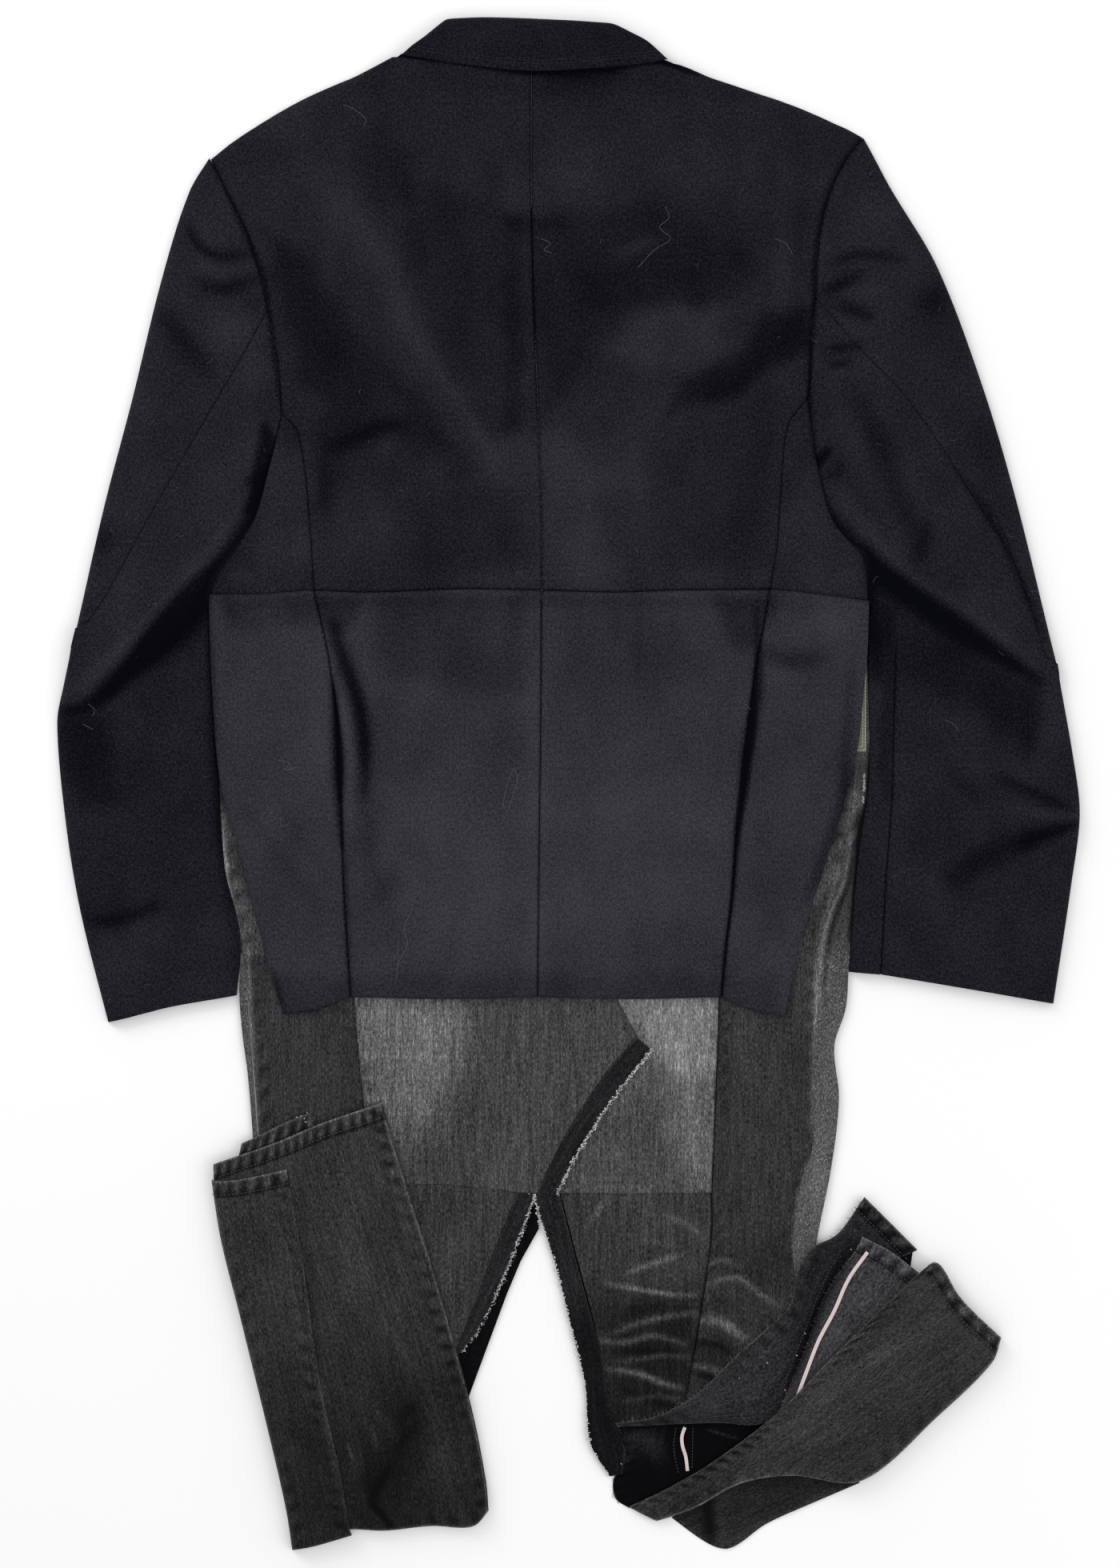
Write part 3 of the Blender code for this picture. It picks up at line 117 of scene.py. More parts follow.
# %% the jacket's seams
JACKET_SEAMS = {
    "shoulder_left": (5, ((-267, 467), (-247, 485), (-199, 514), (-148, 535), (-132, 541))),
    "shoulder_right": (5, ((99, 528), (123, 522), (166, 510), (204, 493), (219, 483))),
    "neck_left": (3, ((-132, 541), (-90, 540), (-28, 538.5))),
    "neck_right": (3, ((-28, 538.5), (41, 540), (81, 535), (99, 528))),
    "centre_upper": (21, ((-28, 538.5), (-27.6, 408), (-23.4, 288), (-20.4, 198), (-20.4, 145))),
    "centre_lower": (16, ((-20.4, 145), (-21, 49), (-22.2, -51), (-23.4, -160))),
    "armhole_left_cap": (4, ((-267, 467), (-256, 443), (-240, 410), (-225.6, 355))),
    "armhole_left_mid": (6, ((-225.6, 355), (-221.5, 337))),
    "armhole_left_low": (4, ((-221.5, 337), (-217, 310), (-214.8, 277))),
    "armhole_left_end": (3, ((-214.8, 277), (-217.5, 264))),
    "princess_left_upper": (7, ((-214.8, 277), (-204, 266), (-197.5, 235), (-193.5, 190), (-190.8, 145))),
    "princess_left_lower": (16, ((-190.8, 145), (-179, 91), (-172, 20), (-168.5, -76), (-163.2, -160))),
    "side_left_upper": (7, ((-217.5, 264), (-222, 245), (-234.6, 199), (-247, 182), (-265, 156),
                            (-268.8, 142))),
    "side_left_lower": (16, ((-268.8, 142), (-266.4, 75), (-261, 4), (-246.6, -53), (-229, -123),
                             (-214, -172.5))),
    "waist_left_side": (3, ((-268.8, 142), (-232, 142), (-190.8, 145))),
    "waist_left": (8, ((-190.8, 145), (-149, 143.5), (-80, 146), (-20.4, 145))),
    "waist_right": (8, ((-20.4, 145), (37, 143.5), (77, 145), (150.6, 145.5))),
    "waist_right_side": (3, ((150.6, 145.5), (173, 143.5), (223.5, 137))),
    "hem_left_side": (3, ((-214, -172.5), (-191, -170.5), (-163.2, -160))),
    "hem_left": (8, ((-163.2, -160), (-90, -161.5), (-23.4, -160))),
    "hem_right": (8, ((-23.4, -160), (45, -161.5), (114, -160))),
    "hem_right_side": (3, ((114, -160), (134, -169), (161.5, -174.5))),
    "armhole_right_cap": (4, ((219, 483), (203, 460), (190, 422), (184.8, 364))),
    "armhole_right_mid": (6, ((184.8, 364), (182, 344))),
    "armhole_right_low": (4, ((182, 344), (181.2, 308), (178.6, 289))),
    "armhole_right_end": (3, ((178.6, 289), (182.4, 260))),
    "princess_right_upper": (7, ((178.6, 289), (164, 268), (159, 222), (156, 180), (150.6, 145.5))),
    "princess_right_lower": (16, ((150.6, 145.5), (139, 79), (129, 0), (121.8, -83), (114, -160))),
    "side_right_upper": (7, ((182.4, 260), (186, 239), (197.4, 197), (209.4, 182), (220.2, 171.6),
                             (223.5, 137))),
    "side_right_lower": (16, ((223.5, 137), (220.8, 74), (214.8, 19), (192, -60.6), (173.4, -118),
                              (161.5, -174.5))),
}


SLEEVE_SEAMS = {
    "left_outer_upper": (11, ((-267, 467), (-285, 440), (-307, 372), (-328, 287), (-349, 207),
                              (-369.4, 116.6))),
    "left_tip": (4, ((-359.5, 121), (-369.4, 116.6))),
    "left_tip_upper": (4, ((-359.5, 121.4), (-369.4, 117.2))),
    "left_hind": (11, ((-225.6, 355), (-247, 315), (-290, 241), (-319, 190), (-346, 141), (-359.5, 121))),
    "left_outer_lower": (10, ((-369.4, 116.6), (-379, 74), (-384, 45), (-377, -33), (-366, -98),
                              (-345.6, -179))),
    "left_free_upper": (8, ((-217.5, 264), (-223.5, 245), (-236.2, 199), (-248.4, 181), (-266, 155),
                            (-270.3, 141))),
    "left_free_lower": (10, ((-270.3, 141), (-268, 75), (-262.4, 3), (-257.4, -65), (-246, -112),
                             (-249.2, -158))),
    "left_cuff": (6, ((-345.6, -179), (-304, -166), (-249.2, -158))),
    "right_outer_upper": (10, ((219, 483), (242, 445), (276, 389), (310, 300), (335, 216), (366, 90))),
    "right_tip": (4, ((366, 90), (357.5, 92))),
    "right_tip_upper": (4, ((366, 90.6), (357.5, 92.4))),
    "right_hind": (10, ((184.8, 364), (215, 329), (255, 286), (299, 220), (335, 161), (357.5, 92))),
    "right_outer_lower": (9, ((366, 90), (378.6, 19), (383.4, -23), (377, -76), (363.6, -165))),
    "right_free_upper": (8, ((182.4, 260), (187.4, 239), (199, 197), (210.5, 183), (222, 173), (225.2, 137))),
    "right_fore": (6, ((245, 113), (243, 40), (241.5, -13), (237, -76), (233.4, -143))),
    "right_fore_top": (2, ((225.2, 137), (245, 113))),
    "right_free_lower": (6, ((225.2, 137), (224.4, 60), (224.2, 0), (216, -60), (209.6, -141))),
    "right_cuff_hind": (6, ((233.4, -143), (300, -154), (363.6, -165))),
    "right_cuff_turn": (2, ((209.6, -141), (233.4, -143))),
}


COLLAR_SEAMS = {
    "fold": (10, ((-92, 573.5), (-60, 574.8), (0, 572.5), (33.6, 570))),
    "slope_left": (4, ((-92, 573.5), (-110, 559), (-125.5, 545.5))),
    "slope_right": (4, ((33.6, 570), (56, 558), (74.4, 542))),
    "fall_edge": (10, ((-125.5, 545.5), (-84, 539), (-28, 533.3), (28, 536.2), (60, 539.5), (74.4, 542))),
    "stand_top": (8, ((-126, 546), (-96, 560), (-30, 563), (28, 559), (60, 547), (97.5, 531))),
    "stand_bottom": (8, ((-131, 542), (-90, 540.8), (-28, 539.3), (41, 540.8), (82, 535.6), (98.5, 529))),
    "stand_left": (2, ((-126, 546), (-131, 542))),
    "stand_right": (2, ((97.5, 531), (98.5, 529))),
}


# %% the denim's seams
DENIM_SEAMS = {
    "side_left": (12, ((-264, 138), (-264.3, 60), (-260.6, 0), (-255.8, -65), (-245, -113), (-240.6, -155),
                       (-236.4, -209), (-232.6, -262), (-231, -284))),
    "seam_left_upper": (12, ((-172, 138), (-166, 0), (-161.4, -161), (-157, -212), (-152, -258))),
    "seam_left_corner": (4, ((-152, -258), (-142, -280), (-133, -301))),
    "top_side_left": (3, ((-264, 138), (-172, 138))),
    "top_left": (3, ((-172, 138), (-18, 138))),
    "top_right": (3, ((-18, 138), (118, 138))),
    "top_side_right": (4, ((118, 138), (206, 134))),
    "bottom_side_left": (3, ((-231, -284), (-190, -266), (-152, -258))),
    "overlap_hidden": (5, ((-18, 138), (10, -30), (37, -163))),
    "overlap_edge": (2, ((37, -163), (51, -189))),
    "overlap_diagonal": (9, ((51, -189), (31, -212), (1, -257), (-23.4, -304))),
    "crotch_left_thigh": (2, ((-133, -301), (-96, -300), (-37.8, -305.5))),
    "crotch_left_slit": (1, ((-37.8, -305.5), (-23.4, -304))),
    "crotch_right": (3, ((-23.4, -304), (40, -306.5), (107, -306.5))),
    "seam_right_upper": (16, ((118, 138), (116, 0), (112.5, -162), (110.4, -223), (107, -306.5))),
    "seam_right_lower": (6, ((107, -306.5), (106.8, -338), (98.4, -399), (86, -473))),
    "turn_right_seam": (22, ((206, 134), (212, 60), (214, 0), (203.4, -68), (186, -125), (188, -150),
                             (184.8, -199), (183.2, -271), (174.4, -299), (168, -346), (170, -368),
                             (177, -389))),
    "turn_right_edge": (22, ((213, 134), (223, 92), (223.4, 0), (215.2, -60), (208.8, -141), (206.7, -168),
                             (198, -196), (201.5, -235), (196, -286), (184.5, -344), (184, -362))),
    "turn_right_top": (1, ((206, 134), (213, 134))),
    "turn_right_bottom": (1, ((177, -389), (184, -362))),
    "side_right_end": (4, ((177, -389), (150, -418), (86, -473))),
    "turn_left_seam": (8, ((-244.2, -126), (-241.6, -155), (-237.4, -209), (-233.6, -262), (-232.6, -276))),
    "turn_left_edge": (8, ((-246.4, -126), (-247.4, -158), (-245, -188), (-241, -218), (-237.4, -262),
                           (-236.8, -276))),
    "turn_left_top": (1, ((-246.4, -126), (-244.2, -126))),
    "turn_left_bottom": (1, ((-236.8, -276), (-232.6, -276))),
    "thigh_left_hidden": (6, ((-133, -301), (-112, -370), (-97, -431))),
    "thigh_left_band": (6, ((-37.8, -305.5), (-53.4, -344), (-76.8, -406), (-88, -433))),
    "thigh_left_bottom": (2, ((-97, -431), (-88, -433))),
    "thigh_right_top": (3, ((-7, -306.5), (40, -306.5), (107, -306.5))),
    "thigh_right_band": (6, ((-6.4, -306.5), (6.2, -356), (21, -413), (28.2, -460), (34, -480))),
    "thigh_right_bottom": (3, ((34, -480), (60, -481), (86, -473))),
    "slit_left_fray": (7, ((-25.8, -308), (-31.8, -328), (-48, -373), (-65.4, -411), (-84, -437))),
    "slit_left_top": (2, ((-37.8, -305.5), (-25.8, -308))),
    "slit_left_bottom": (2, ((-88, -433), (-84, -437))),
    "slit_left_band": (7, ((-37.8, -305.5), (-53.4, -344), (-76.8, -406), (-88, -433))),
    "slit_right_fray": (9, ((-21, -307), (-10.2, -358), (2, -409), (12, -450), (15.6, -493), (30.5, -519))),
    "slit_right_band": (9, ((-7, -306.5), (5.4, -356), (20, -413), (27, -467), (35, -495), (36.5, -517))),
    "slit_right_top": (2, ((-21, -307), (-7, -306.5))),
    "slit_right_bottom": (2, ((30.5, -519), (36.5, -517))),
    "fray_diagonal": (9, ((62, -199), (43, -222), (10.8, -269), (-9.6, -307))),
    "band_diagonal": (9, ((51.4, -189.6), (31.4, -212.6), (1.4, -257.6), (-22.6, -304))),
    "band_diagonal_top": (2, ((51.4, -189.6), (62, -199))),
    "band_diagonal_bottom": (2, ((-22.6, -304), (-9.6, -307))),
}


LEFT_LEG_SEAMS = {
    "main_hem": (8, ((-265.5, -284), (-218, -267.5), (-186, -254), (-139.8, -238.3))),
    "main_left": (12, ((-265.5, -284), (-259, -300), (-250.5, -345), (-237.5, -400), (-213.5, -497),
                       (-200, -563))),
    "main_right": (12, ((-139.8, -238.3), (-128, -279), (-100, -368), (-74, -462), (-62, -522), (-60, -545))),
    "main_bottom": (8, ((-200, -563), (-165, -559), (-138, -560), (-103, -556.5), (-72, -557), (-60, -545))),
    "lap_hem": (5, ((-268.2, -297), (-250, -296), (-229, -292), (-211, -288))),
    "lap_left": (12, ((-268.2, -297), (-261, -342), (-247, -398), (-223, -496), (-212, -545),
                      (-207.5, -574.8))),
    "lap_right": (12, ((-211, -288), (-200, -348), (-186, -446), (-171.5, -511), (-162.6, -563.5))),
    "lap_bottom": (5, ((-207.5, -574.8), (-190, -571.5), (-162.6, -563.5))),
    "back_hem_top": (5, ((-245, -269), (-236, -265), (-214, -254), (-193.5, -246))),
    "back_hem_bottom": (5, ((-249, -286), (-220, -279), (-194.5, -266))),
    "back_hem_left": (2, ((-245, -269), (-249, -286))),
    "back_hem_right": (2, ((-193.5, -246), (-194.5, -266))),
}


RIGHT_LEG_SEAMS = {
    "upper_hem": (4, ((221.4, -309), (261.5, -349))),
    "upper_raw": (16, ((221.4, -309), (201, -337), (182, -347.5), (170.4, -366), (166, -389), (145, -410),
                       (127, -426), (94, -458), (64, -473.5), (34.5, -478.5))),
    "upper_hidden": (16, ((261.5, -349), (246, -355), (222, -355), (206, -376), (192, -405), (180, -443),
                          (163, -472), (140, -480), (113, -478.5), (36, -481.5))),
    "upper_end": (4, ((34.5, -478.5), (36, -481.5))),
    "lower_hem": (4, ((219.6, -338.5), (240, -349), (262, -365.5))),
    "lower_seam": (9, ((219.6, -338.5), (216, -346), (191.4, -382), (177.6, -420), (166, -448), (155, -474))),
    "lower_hidden": (9, ((262, -365.5), (243, -396), (203, -434), (165, -474))),
    "lower_end": (4, ((155, -474), (165, -474))),
    "outside_hem": (4, ((263, -364.5), (275.4, -357), (293, -384), (324.5, -415))),
    "outside_upper": (18, ((263, -364.5), (237, -389), (197.4, -428), (157, -469), (113.4, -504), (77, -526),
                           (44.5, -541.5))),
    "outside_lower": (18, ((324.5, -415), (317.5, -434), (277, -474), (220, -522), (166, -518), (130, -524),
                           (94, -543), (66, -552.5))),
    "outside_end": (4, ((44.5, -541.5), (55, -547), (66, -552.5))),
    "under_top": (8, ((82, -541), (100, -528), (145, -511), (190, -509), (216, -521.5))),
    "under_bottom": (8, ((77, -550.5), (105, -571), (121, -574.5), (148, -556), (187, -538), (218.5, -524))),
    "under_left": (3, ((82, -541), (77, -550.5))),
    "under_right": (3, ((216, -521.5), (218.5, -524))),
    "deep_top": (5, ((36, -476), (100, -472), (163, -470))),
    "deep_left": (7, ((36, -476), (40, -498), (38, -512), (33, -523), (35, -536), (45, -543))),
    "deep_right": (7, ((163, -470), (151, -487), (119, -510), (84, -532), (62, -543))),
    "deep_bottom": (5, ((45, -543), (62, -543))),
}

SEAMS = {**JACKET_SEAMS, **SLEEVE_SEAMS, **COLLAR_SEAMS, **DENIM_SEAMS, **LEFT_LEG_SEAMS, **RIGHT_LEG_SEAMS}
print("seams and edges:", len(SEAMS))

# %% the large folds
# Folds of the cloth. Columns: start across, start along, end across, end along, bow to the left,
# width on the left side, width on the right side, height (a trough is negative).
BODY_FOLDS = (
    (-30, 520, -25, -170, 0, 250, 240, 2.2),          # the back lies higher than its edges
    (-120, 470, -20, -60, 20, 60, 60, 0.6),
    (-207, 405, -70, 255, 6, 26, 34, 2.6),            # long soft ridge from the left armhole
    (-150, 452, -25, 300, -8, 34, 30, -2.0),          # trough beside it
    (-208, 392, -150, 300, 0, 20, 22, -1.4),
    (-45, 425, 110, 398, -14, 26, 30, -1.9),          # hollow under the collar on the right
    (176, 345, 95, 286, -5, 26, 20, -2.3),            # drag line from the right armhole
    (178, 300, 80, 236, 0, 30, 26, 1.6),
    (-186, 258, -145, 268, 0, 14, 20, -1.4),
    (40, 330, 20, 180, 0, 50, 40, 0.9),
    (-120, 230, -60, 165, 0, 30, 30, 0.8),
    (-182, 130, -158, -20, -7, 9, 12, 3.2),           # narrow raised fold beside the left dart
    (-163, 96, -128, -82, -12, 13, 20, -3.0),         # its deep shadow side
    (-90, 100, -60, -130, 0, 34, 38, 1.2),
    (20, 100, 30, -140, 0, 40, 40, 0.8),
    (134, 112, 124, -50, -3, 12, 10, -2.2),           # hollow along the right dart
    (146, 100, 128, -120, -3, 12, 16, 1.8),
    (160, 98, 200, 108, 0, 12, 14, -1.5),
    (-246, 130, -226, -60, 0, 22, 26, 1.4),
    (-268, 30, -180, -140, 0, 18, 22, 0.6),
)

LEFT_SLEEVE_FOLDS = (
    (-262, 430, -322, 110, 0, 58, 52, 3.0),           # the arm lies rounded
    (-330, 40, -300, -160, 0, 48, 46, 3.0),
    (-237, 196, -378, 55, 14, 9, 46, 5.2),            # upper arm folds over the forearm at the elbow
    (-228, 182, -372, 40, 12, 16, 6, -2.6),
    (-283, 413, -246, 396, -7, 9, 12, -2.0),          # puckers under the sleeve cap
    (-277, 374, -238, 376, -7, 8, 10, -1.8),
    (-300, 350, -262, 312, 0, 12, 12, -1.3),
    (-292, 392, -240, 386, -7, 9, 9, 1.2),
    (-240, 330, -300, 220, 0, 16, 22, 1.3),
    (-365, 60, -330, -10, -6, 14, 16, 1.6),           # pull at the elbow point
    (-360, -70, -305, -64, 0, 12, 14, -1.2),
)

RIGHT_SLEEVE_FOLDS = (
    (232, 430, 300, 120, 0, 52, 58, 3.0),
    (310, 40, 300, -150, 0, 52, 52, 3.0),
    (206, 200, 352, 78, -22, 46, 9, 5.2),             # upper arm folds over the forearm at the elbow
    (200, 186, 350, 62, -22, 6, 16, -2.6),
    (190, 390, 240, 396, 6, 9, 9, -1.8),              # puckers beside the armhole
    (189, 364, 224, 378, 4, 8, 8, -2.0),
    (196, 352, 232, 350, 3, 8, 9, -1.5),
    (190, 376, 240, 386, 3, 8, 8, 1.4),
    (192, 318, 222, 330, 3, 9, 9, -1.8),
    (186, 262, 214, 226, 0, 12, 10, -1.6),
    (240, 300, 290, 200, 0, 18, 18, -1.0),
    (384, -26, 300, -66, 5, 11, 13, 2.4),             # pucker that runs in from the elbow point
    (380, -50, 300, -88, 4, 10, 12, -1.8),
)

LEFT_LEG_FOLDS = (
    (-200, -280, -130, -540, 0, 52, 52, 1.6),
    (-125, -470, -130, -548, 6, 12, 14, -1.5),        # crumple above the fold at the leg's end
    (-108, -440, -100, -535, 4, 12, 12, 1.6),
    (-165, -500, -120, -440, 0, 18, 16, 1.0),
)

LEFT_LAP_FOLDS = (
    (-240, -320, -190, -540, 0, 34, 34, 1.4),
)

RIGHT_INSIDE_FOLDS = (
    (215, -330, 120, -455, -8, 16, 18, 1.4),
    (150, -440, 60, -474, 0, 9, 9, 0.9),
)

RIGHT_OUTSIDE_FOLDS = (
    (285, -395, 170, -492, 0, 26, 30, 2.0),
    (200, -470, 120, -512, 5, 9, 12, 0.8),
    (170, -490, 60, -548, 0, 60, 60, -0.1),
)

UNDER_FOLD_FOLDS = (
    (90, -548, 200, -522, 0, 14, 12, 1.0),
)

# %% [markdown]
# # A shell of cloth between four seams
# Each piece is a grid stretched between its four edges. Its rows and columns crowd near the edges,
# so that a seam can sink and a rolled edge can turn down in a true quarter round. Over the solids'
# large folds the shell carries listed creases, a faint unevenness, hems with their
# slanted puckers, and along each seam the soft valley that stitching pulls in.

# %% smooth runs, edges and folds
FINER = 5


def evenly_spaced(points, steps):
    """Point after point along a polyline, the same distance apart."""
    lengths = np.hypot(*np.diff(points, axis=0).T)
    reached = np.concatenate(([0.0], np.cumsum(lengths)))
    wanted = np.linspace(0.0, reached[-1], steps + 1)
    across = np.interp(wanted, reached, points[:, 0])
    along = np.interp(wanted, reached, points[:, 1])
    return np.column_stack((across, along))


def smooth_run(stations, steps):
    """A smooth curve through the stations, cut into equal spans."""
    points = np.array(stations, float)
    if len(points) == 2:
        return evenly_spaced(points, steps)
    before = 2 * points[0] - points[1]
    after = 2 * points[-1] - points[-2]
    padded = np.vstack((before, points, after))
    samples_per_span = 10
    curve = []
    for index in range(1, len(padded) - 2):
        p0, p1, p2, p3 = padded[index - 1:index + 3]
        # The tangents are weighted by the spans, so that a short span does not loop.
        span = np.linalg.norm(p2 - p1)
        tangent_1 = (p2 - p0) / (np.linalg.norm(p2 - p1) + np.linalg.norm(p1 - p0)) * span
        tangent_2 = (p3 - p1) / (np.linalg.norm(p3 - p2) + np.linalg.norm(p2 - p1)) * span
        for sample in range(samples_per_span):
            t = sample / samples_per_span
            curve.append((2 * t**3 - 3 * t**2 + 1) * p1 + (t**3 - 2 * t**2 + t) * tangent_1
                         + (3 * t**2 - 2 * t**3) * p2 + (t**3 - t**2) * tangent_2)
    curve.append(points[-1])
    return evenly_spaced(np.array(curve), steps)


def edge(*names):
    """One edge of a panel: seams joined end to end. A name that starts with "-" runs backwards."""
    runs = []
    for name in names:
        steps, stations = SEAMS[name.lstrip("-")]
        run = smooth_run(stations, steps * FINER)
        if name.startswith("-"):
            run = run[::-1]
        runs.append(run if not runs else run[1:])
    return np.vstack(runs)


def along_edge(points, position):
    """Points on an edge at positions from 0 to 1, counted in spans."""
    index = np.linspace(0.0, 1.0, len(points))
    across = np.interp(position, index, points[:, 0])
    along = np.interp(position, index, points[:, 1])
    return np.stack((across, along), axis=-1)


def eased(share):
    """From 0 to 1, slow at both ends."""
    return share * share * (3 - 2 * share)


def fold_height(folds, across, along):
    """Height of all the folds at each point, in millimetres."""
    height = np.zeros_like(across)
    if not folds:
        return height
    for x0, y0, x1, y1, bow, left_width, right_width, top in folds:
        length = math.hypot(x1 - x0, y1 - y0)
        ux, uy = (x1 - x0) / length, (y1 - y0) / length
        travel = ((across - x0) * ux + (along - y0) * uy) / length
        aside = -(across - x0) * uy + (along - y0) * ux
        aside = aside - 4 * bow * np.clip(travel, 0, 1) * (1 - np.clip(travel, 0, 1))
        width = np.where(aside > 0, left_width, right_width)
        end = np.clip((0.62 - np.abs(travel - 0.5)) / 0.3, 0, 1)
        height += top * np.exp(-(aside / width) ** 2) * eased(end)
    # No trough reaches lower than the cloth's own resting height: it fades out softly above it.
    soft = 0.4
    return np.where(height < soft, soft * np.exp((np.minimum(height, soft) - soft) / soft), height)


def roll_profile(distance, radius):
    """0 at a rolled edge, 1 where the roll ends: a quarter of an ellipse."""
    inner = np.clip(1 - distance / np.maximum(radius, 1e-6), 0, 1)
    return np.sqrt(np.maximum(1 - inner ** 2, 0.0))


def roll_table(rows, position):
    """Radius and lowest height of a rolled edge at each position along it."""
    table = np.array(rows, float)
    radius = np.interp(position, table[:, 0], table[:, 1])
    low = np.interp(position, table[:, 0], table[:, 2])
    return radius, low


def even_roll(radius, low):
    """A roll that is the same from one end of an edge to the other."""
    return ((0.0, radius, low), (1.0, radius, low))


# %% streaks, spots and the cloth's unevenness
def nearest_on(start, stop, across, along):
    """Share along a straight span that lies nearest to each point, and how far away it is."""
    way = stop - start
    share = np.clip(((across - start[0]) * way[0] + (along - start[1]) * way[1]) / (way @ way), 0, 1)
    return share, np.hypot(across - start[0] - share * way[0], along - start[1] - share * way[1])


def streaks(rows, across, along):
    """Sum of soft streaks. Columns: stations, half width (one, or one a station), amount."""
    total = np.zeros_like(across)
    for stations, width, amount in rows:
        points = smooth_run(stations, 6 * (len(stations) - 1))
        nearest = np.full(across.shape, 1e9)
        reach = np.zeros_like(across)
        for index, (start, stop) in enumerate(zip(points, points[1:])):
            share, away = nearest_on(start, stop, across, along)
            closer = away < nearest
            nearest = np.where(closer, away, nearest)
            reach = np.where(closer, (index + share) / (len(points) - 1), reach)
        if isinstance(width, tuple):
            width = np.interp(reach, np.linspace(0.0, 1.0, len(width)), width)
        taper = np.sin(np.pi * np.clip(reach, 0.0, 1.0)) ** 0.6
        total += amount * np.exp(-(nearest / width) ** 2) * (0.25 + 0.75 * taper)
    return total


def areas(rows, across, along):
    """Sum of areas with a soft, wavering edge. Columns: corners, softness of the edge, amount."""
    total = np.zeros_like(across)
    across, along = (across + np.sin(along / 5.3 + np.sin(across / 8.1)) + 1.5 * np.sin(along / 13.7),
                     along + np.sin(across / 4.9 + np.sin(along / 9.3)) + 1.5 * np.sin(across / 15.1))
    for corners, softness, amount in rows:
        corners = np.array(corners, float)
        inside = np.zeros(across.shape, bool)
        nearest = np.full(across.shape, 1e9)
        for start, stop in zip(corners, np.roll(corners, -1, axis=0)):
            nearest = np.minimum(nearest, nearest_on(start, stop, across, along)[1])
            way, rise = stop - start, along - start[1]
            slope = way[0] / (way[1] if abs(way[1]) > 1e-9 else 1e-9)
            inside ^= ((start[1] > along) != (stop[1] > along)) & (across < start[0] + rise * slope)
        signed = np.where(inside, nearest, -nearest)
        total += amount * eased(np.clip(0.5 + signed / (3 * softness), 0, 1))
    return total


def spots(rows, across, along):
    """Sum of soft oval spots. Columns: across, along, half width, half length, amount."""
    total = np.zeros_like(across)
    for x, y, half_width, half_length, amount in rows:
        total += amount * np.exp(-((across - x) / half_width) ** 2 - ((along - y) / half_length) ** 2)
    return total


WAVES = [(*rng.uniform(-1, 1, 2), rng.uniform(22, 95), rng.uniform(0, 6.28)) for _ in range(14)]


def unevenness(across, along):
    """The faint waviness of cloth that isn't pressed, about a third of a millimetre."""
    total = np.zeros_like(across)
    for dx, dy, length, phase in WAVES:
        size = math.hypot(dx, dy)
        total += length / 700.0 * np.sin(2 * np.pi * (across * dx + along * dy) / size / length + phase)
    return total


# %% the shell builder
EDGE_STEPS = np.array((0.0, 0.45, 1.0, 1.8, 3.0, 4.6))
ROLL_SHARES = np.array((0.0, 0.02, 0.08, 0.18, 0.32, 0.5, 0.74, 1.0))
SEAM_GAP = 0.36
HEM_WIDTH = 11.0
ROPE_INSET = 7.0
CORNER_FADE = 14.0
TROUGH_LIMIT = 0.35
LOWEST_RIM = 0.06
SMALLEST_CUT = 0.0102
LEAST_AREA_SHARE = 0.31
SHARP_ANGLE = 55
surfaces = {}


def run_length(run):
    """Length of a run of points."""
    return float(np.hypot(*np.diff(run, axis=0).T).sum())


def sideways(run):
    """Unit vectors at right angles to a run."""
    slope = np.gradient(run, axis=0)
    slope = slope / np.maximum(np.linalg.norm(slope, axis=1, keepdims=True), 1e-9)
    return np.column_stack((slope[:, 1], -slope[:, 0]))


def towards(run, point):
    """Unit vectors at right angles to a run, on the side of a point."""
    aside = sideways(run)
    return aside * np.sign((aside * (np.array(point) - run)).sum(1, keepdims=True))


def stations(length, spacing, first_roll, last_roll):
    """Distances from 0 to length: close together at both edges, then evenly spaced."""
    start = ROLL_SHARES * first_roll if first_roll else EDGE_STEPS
    stop = ROLL_SHARES * last_roll if last_roll else EDGE_STEPS
    squeeze = min(1.0, 0.86 * length / (start[-1] + stop[-1]))
    start, stop = start * squeeze, stop * squeeze
    middle = length - start[-1] - stop[-1]
    inner = np.linspace(start[-1], length - stop[-1], max(2, round(middle / spacing) + 1))[1:-1]
    return np.concatenate((start, inner, length - stop[::-1])), start[-1], stop[-1]


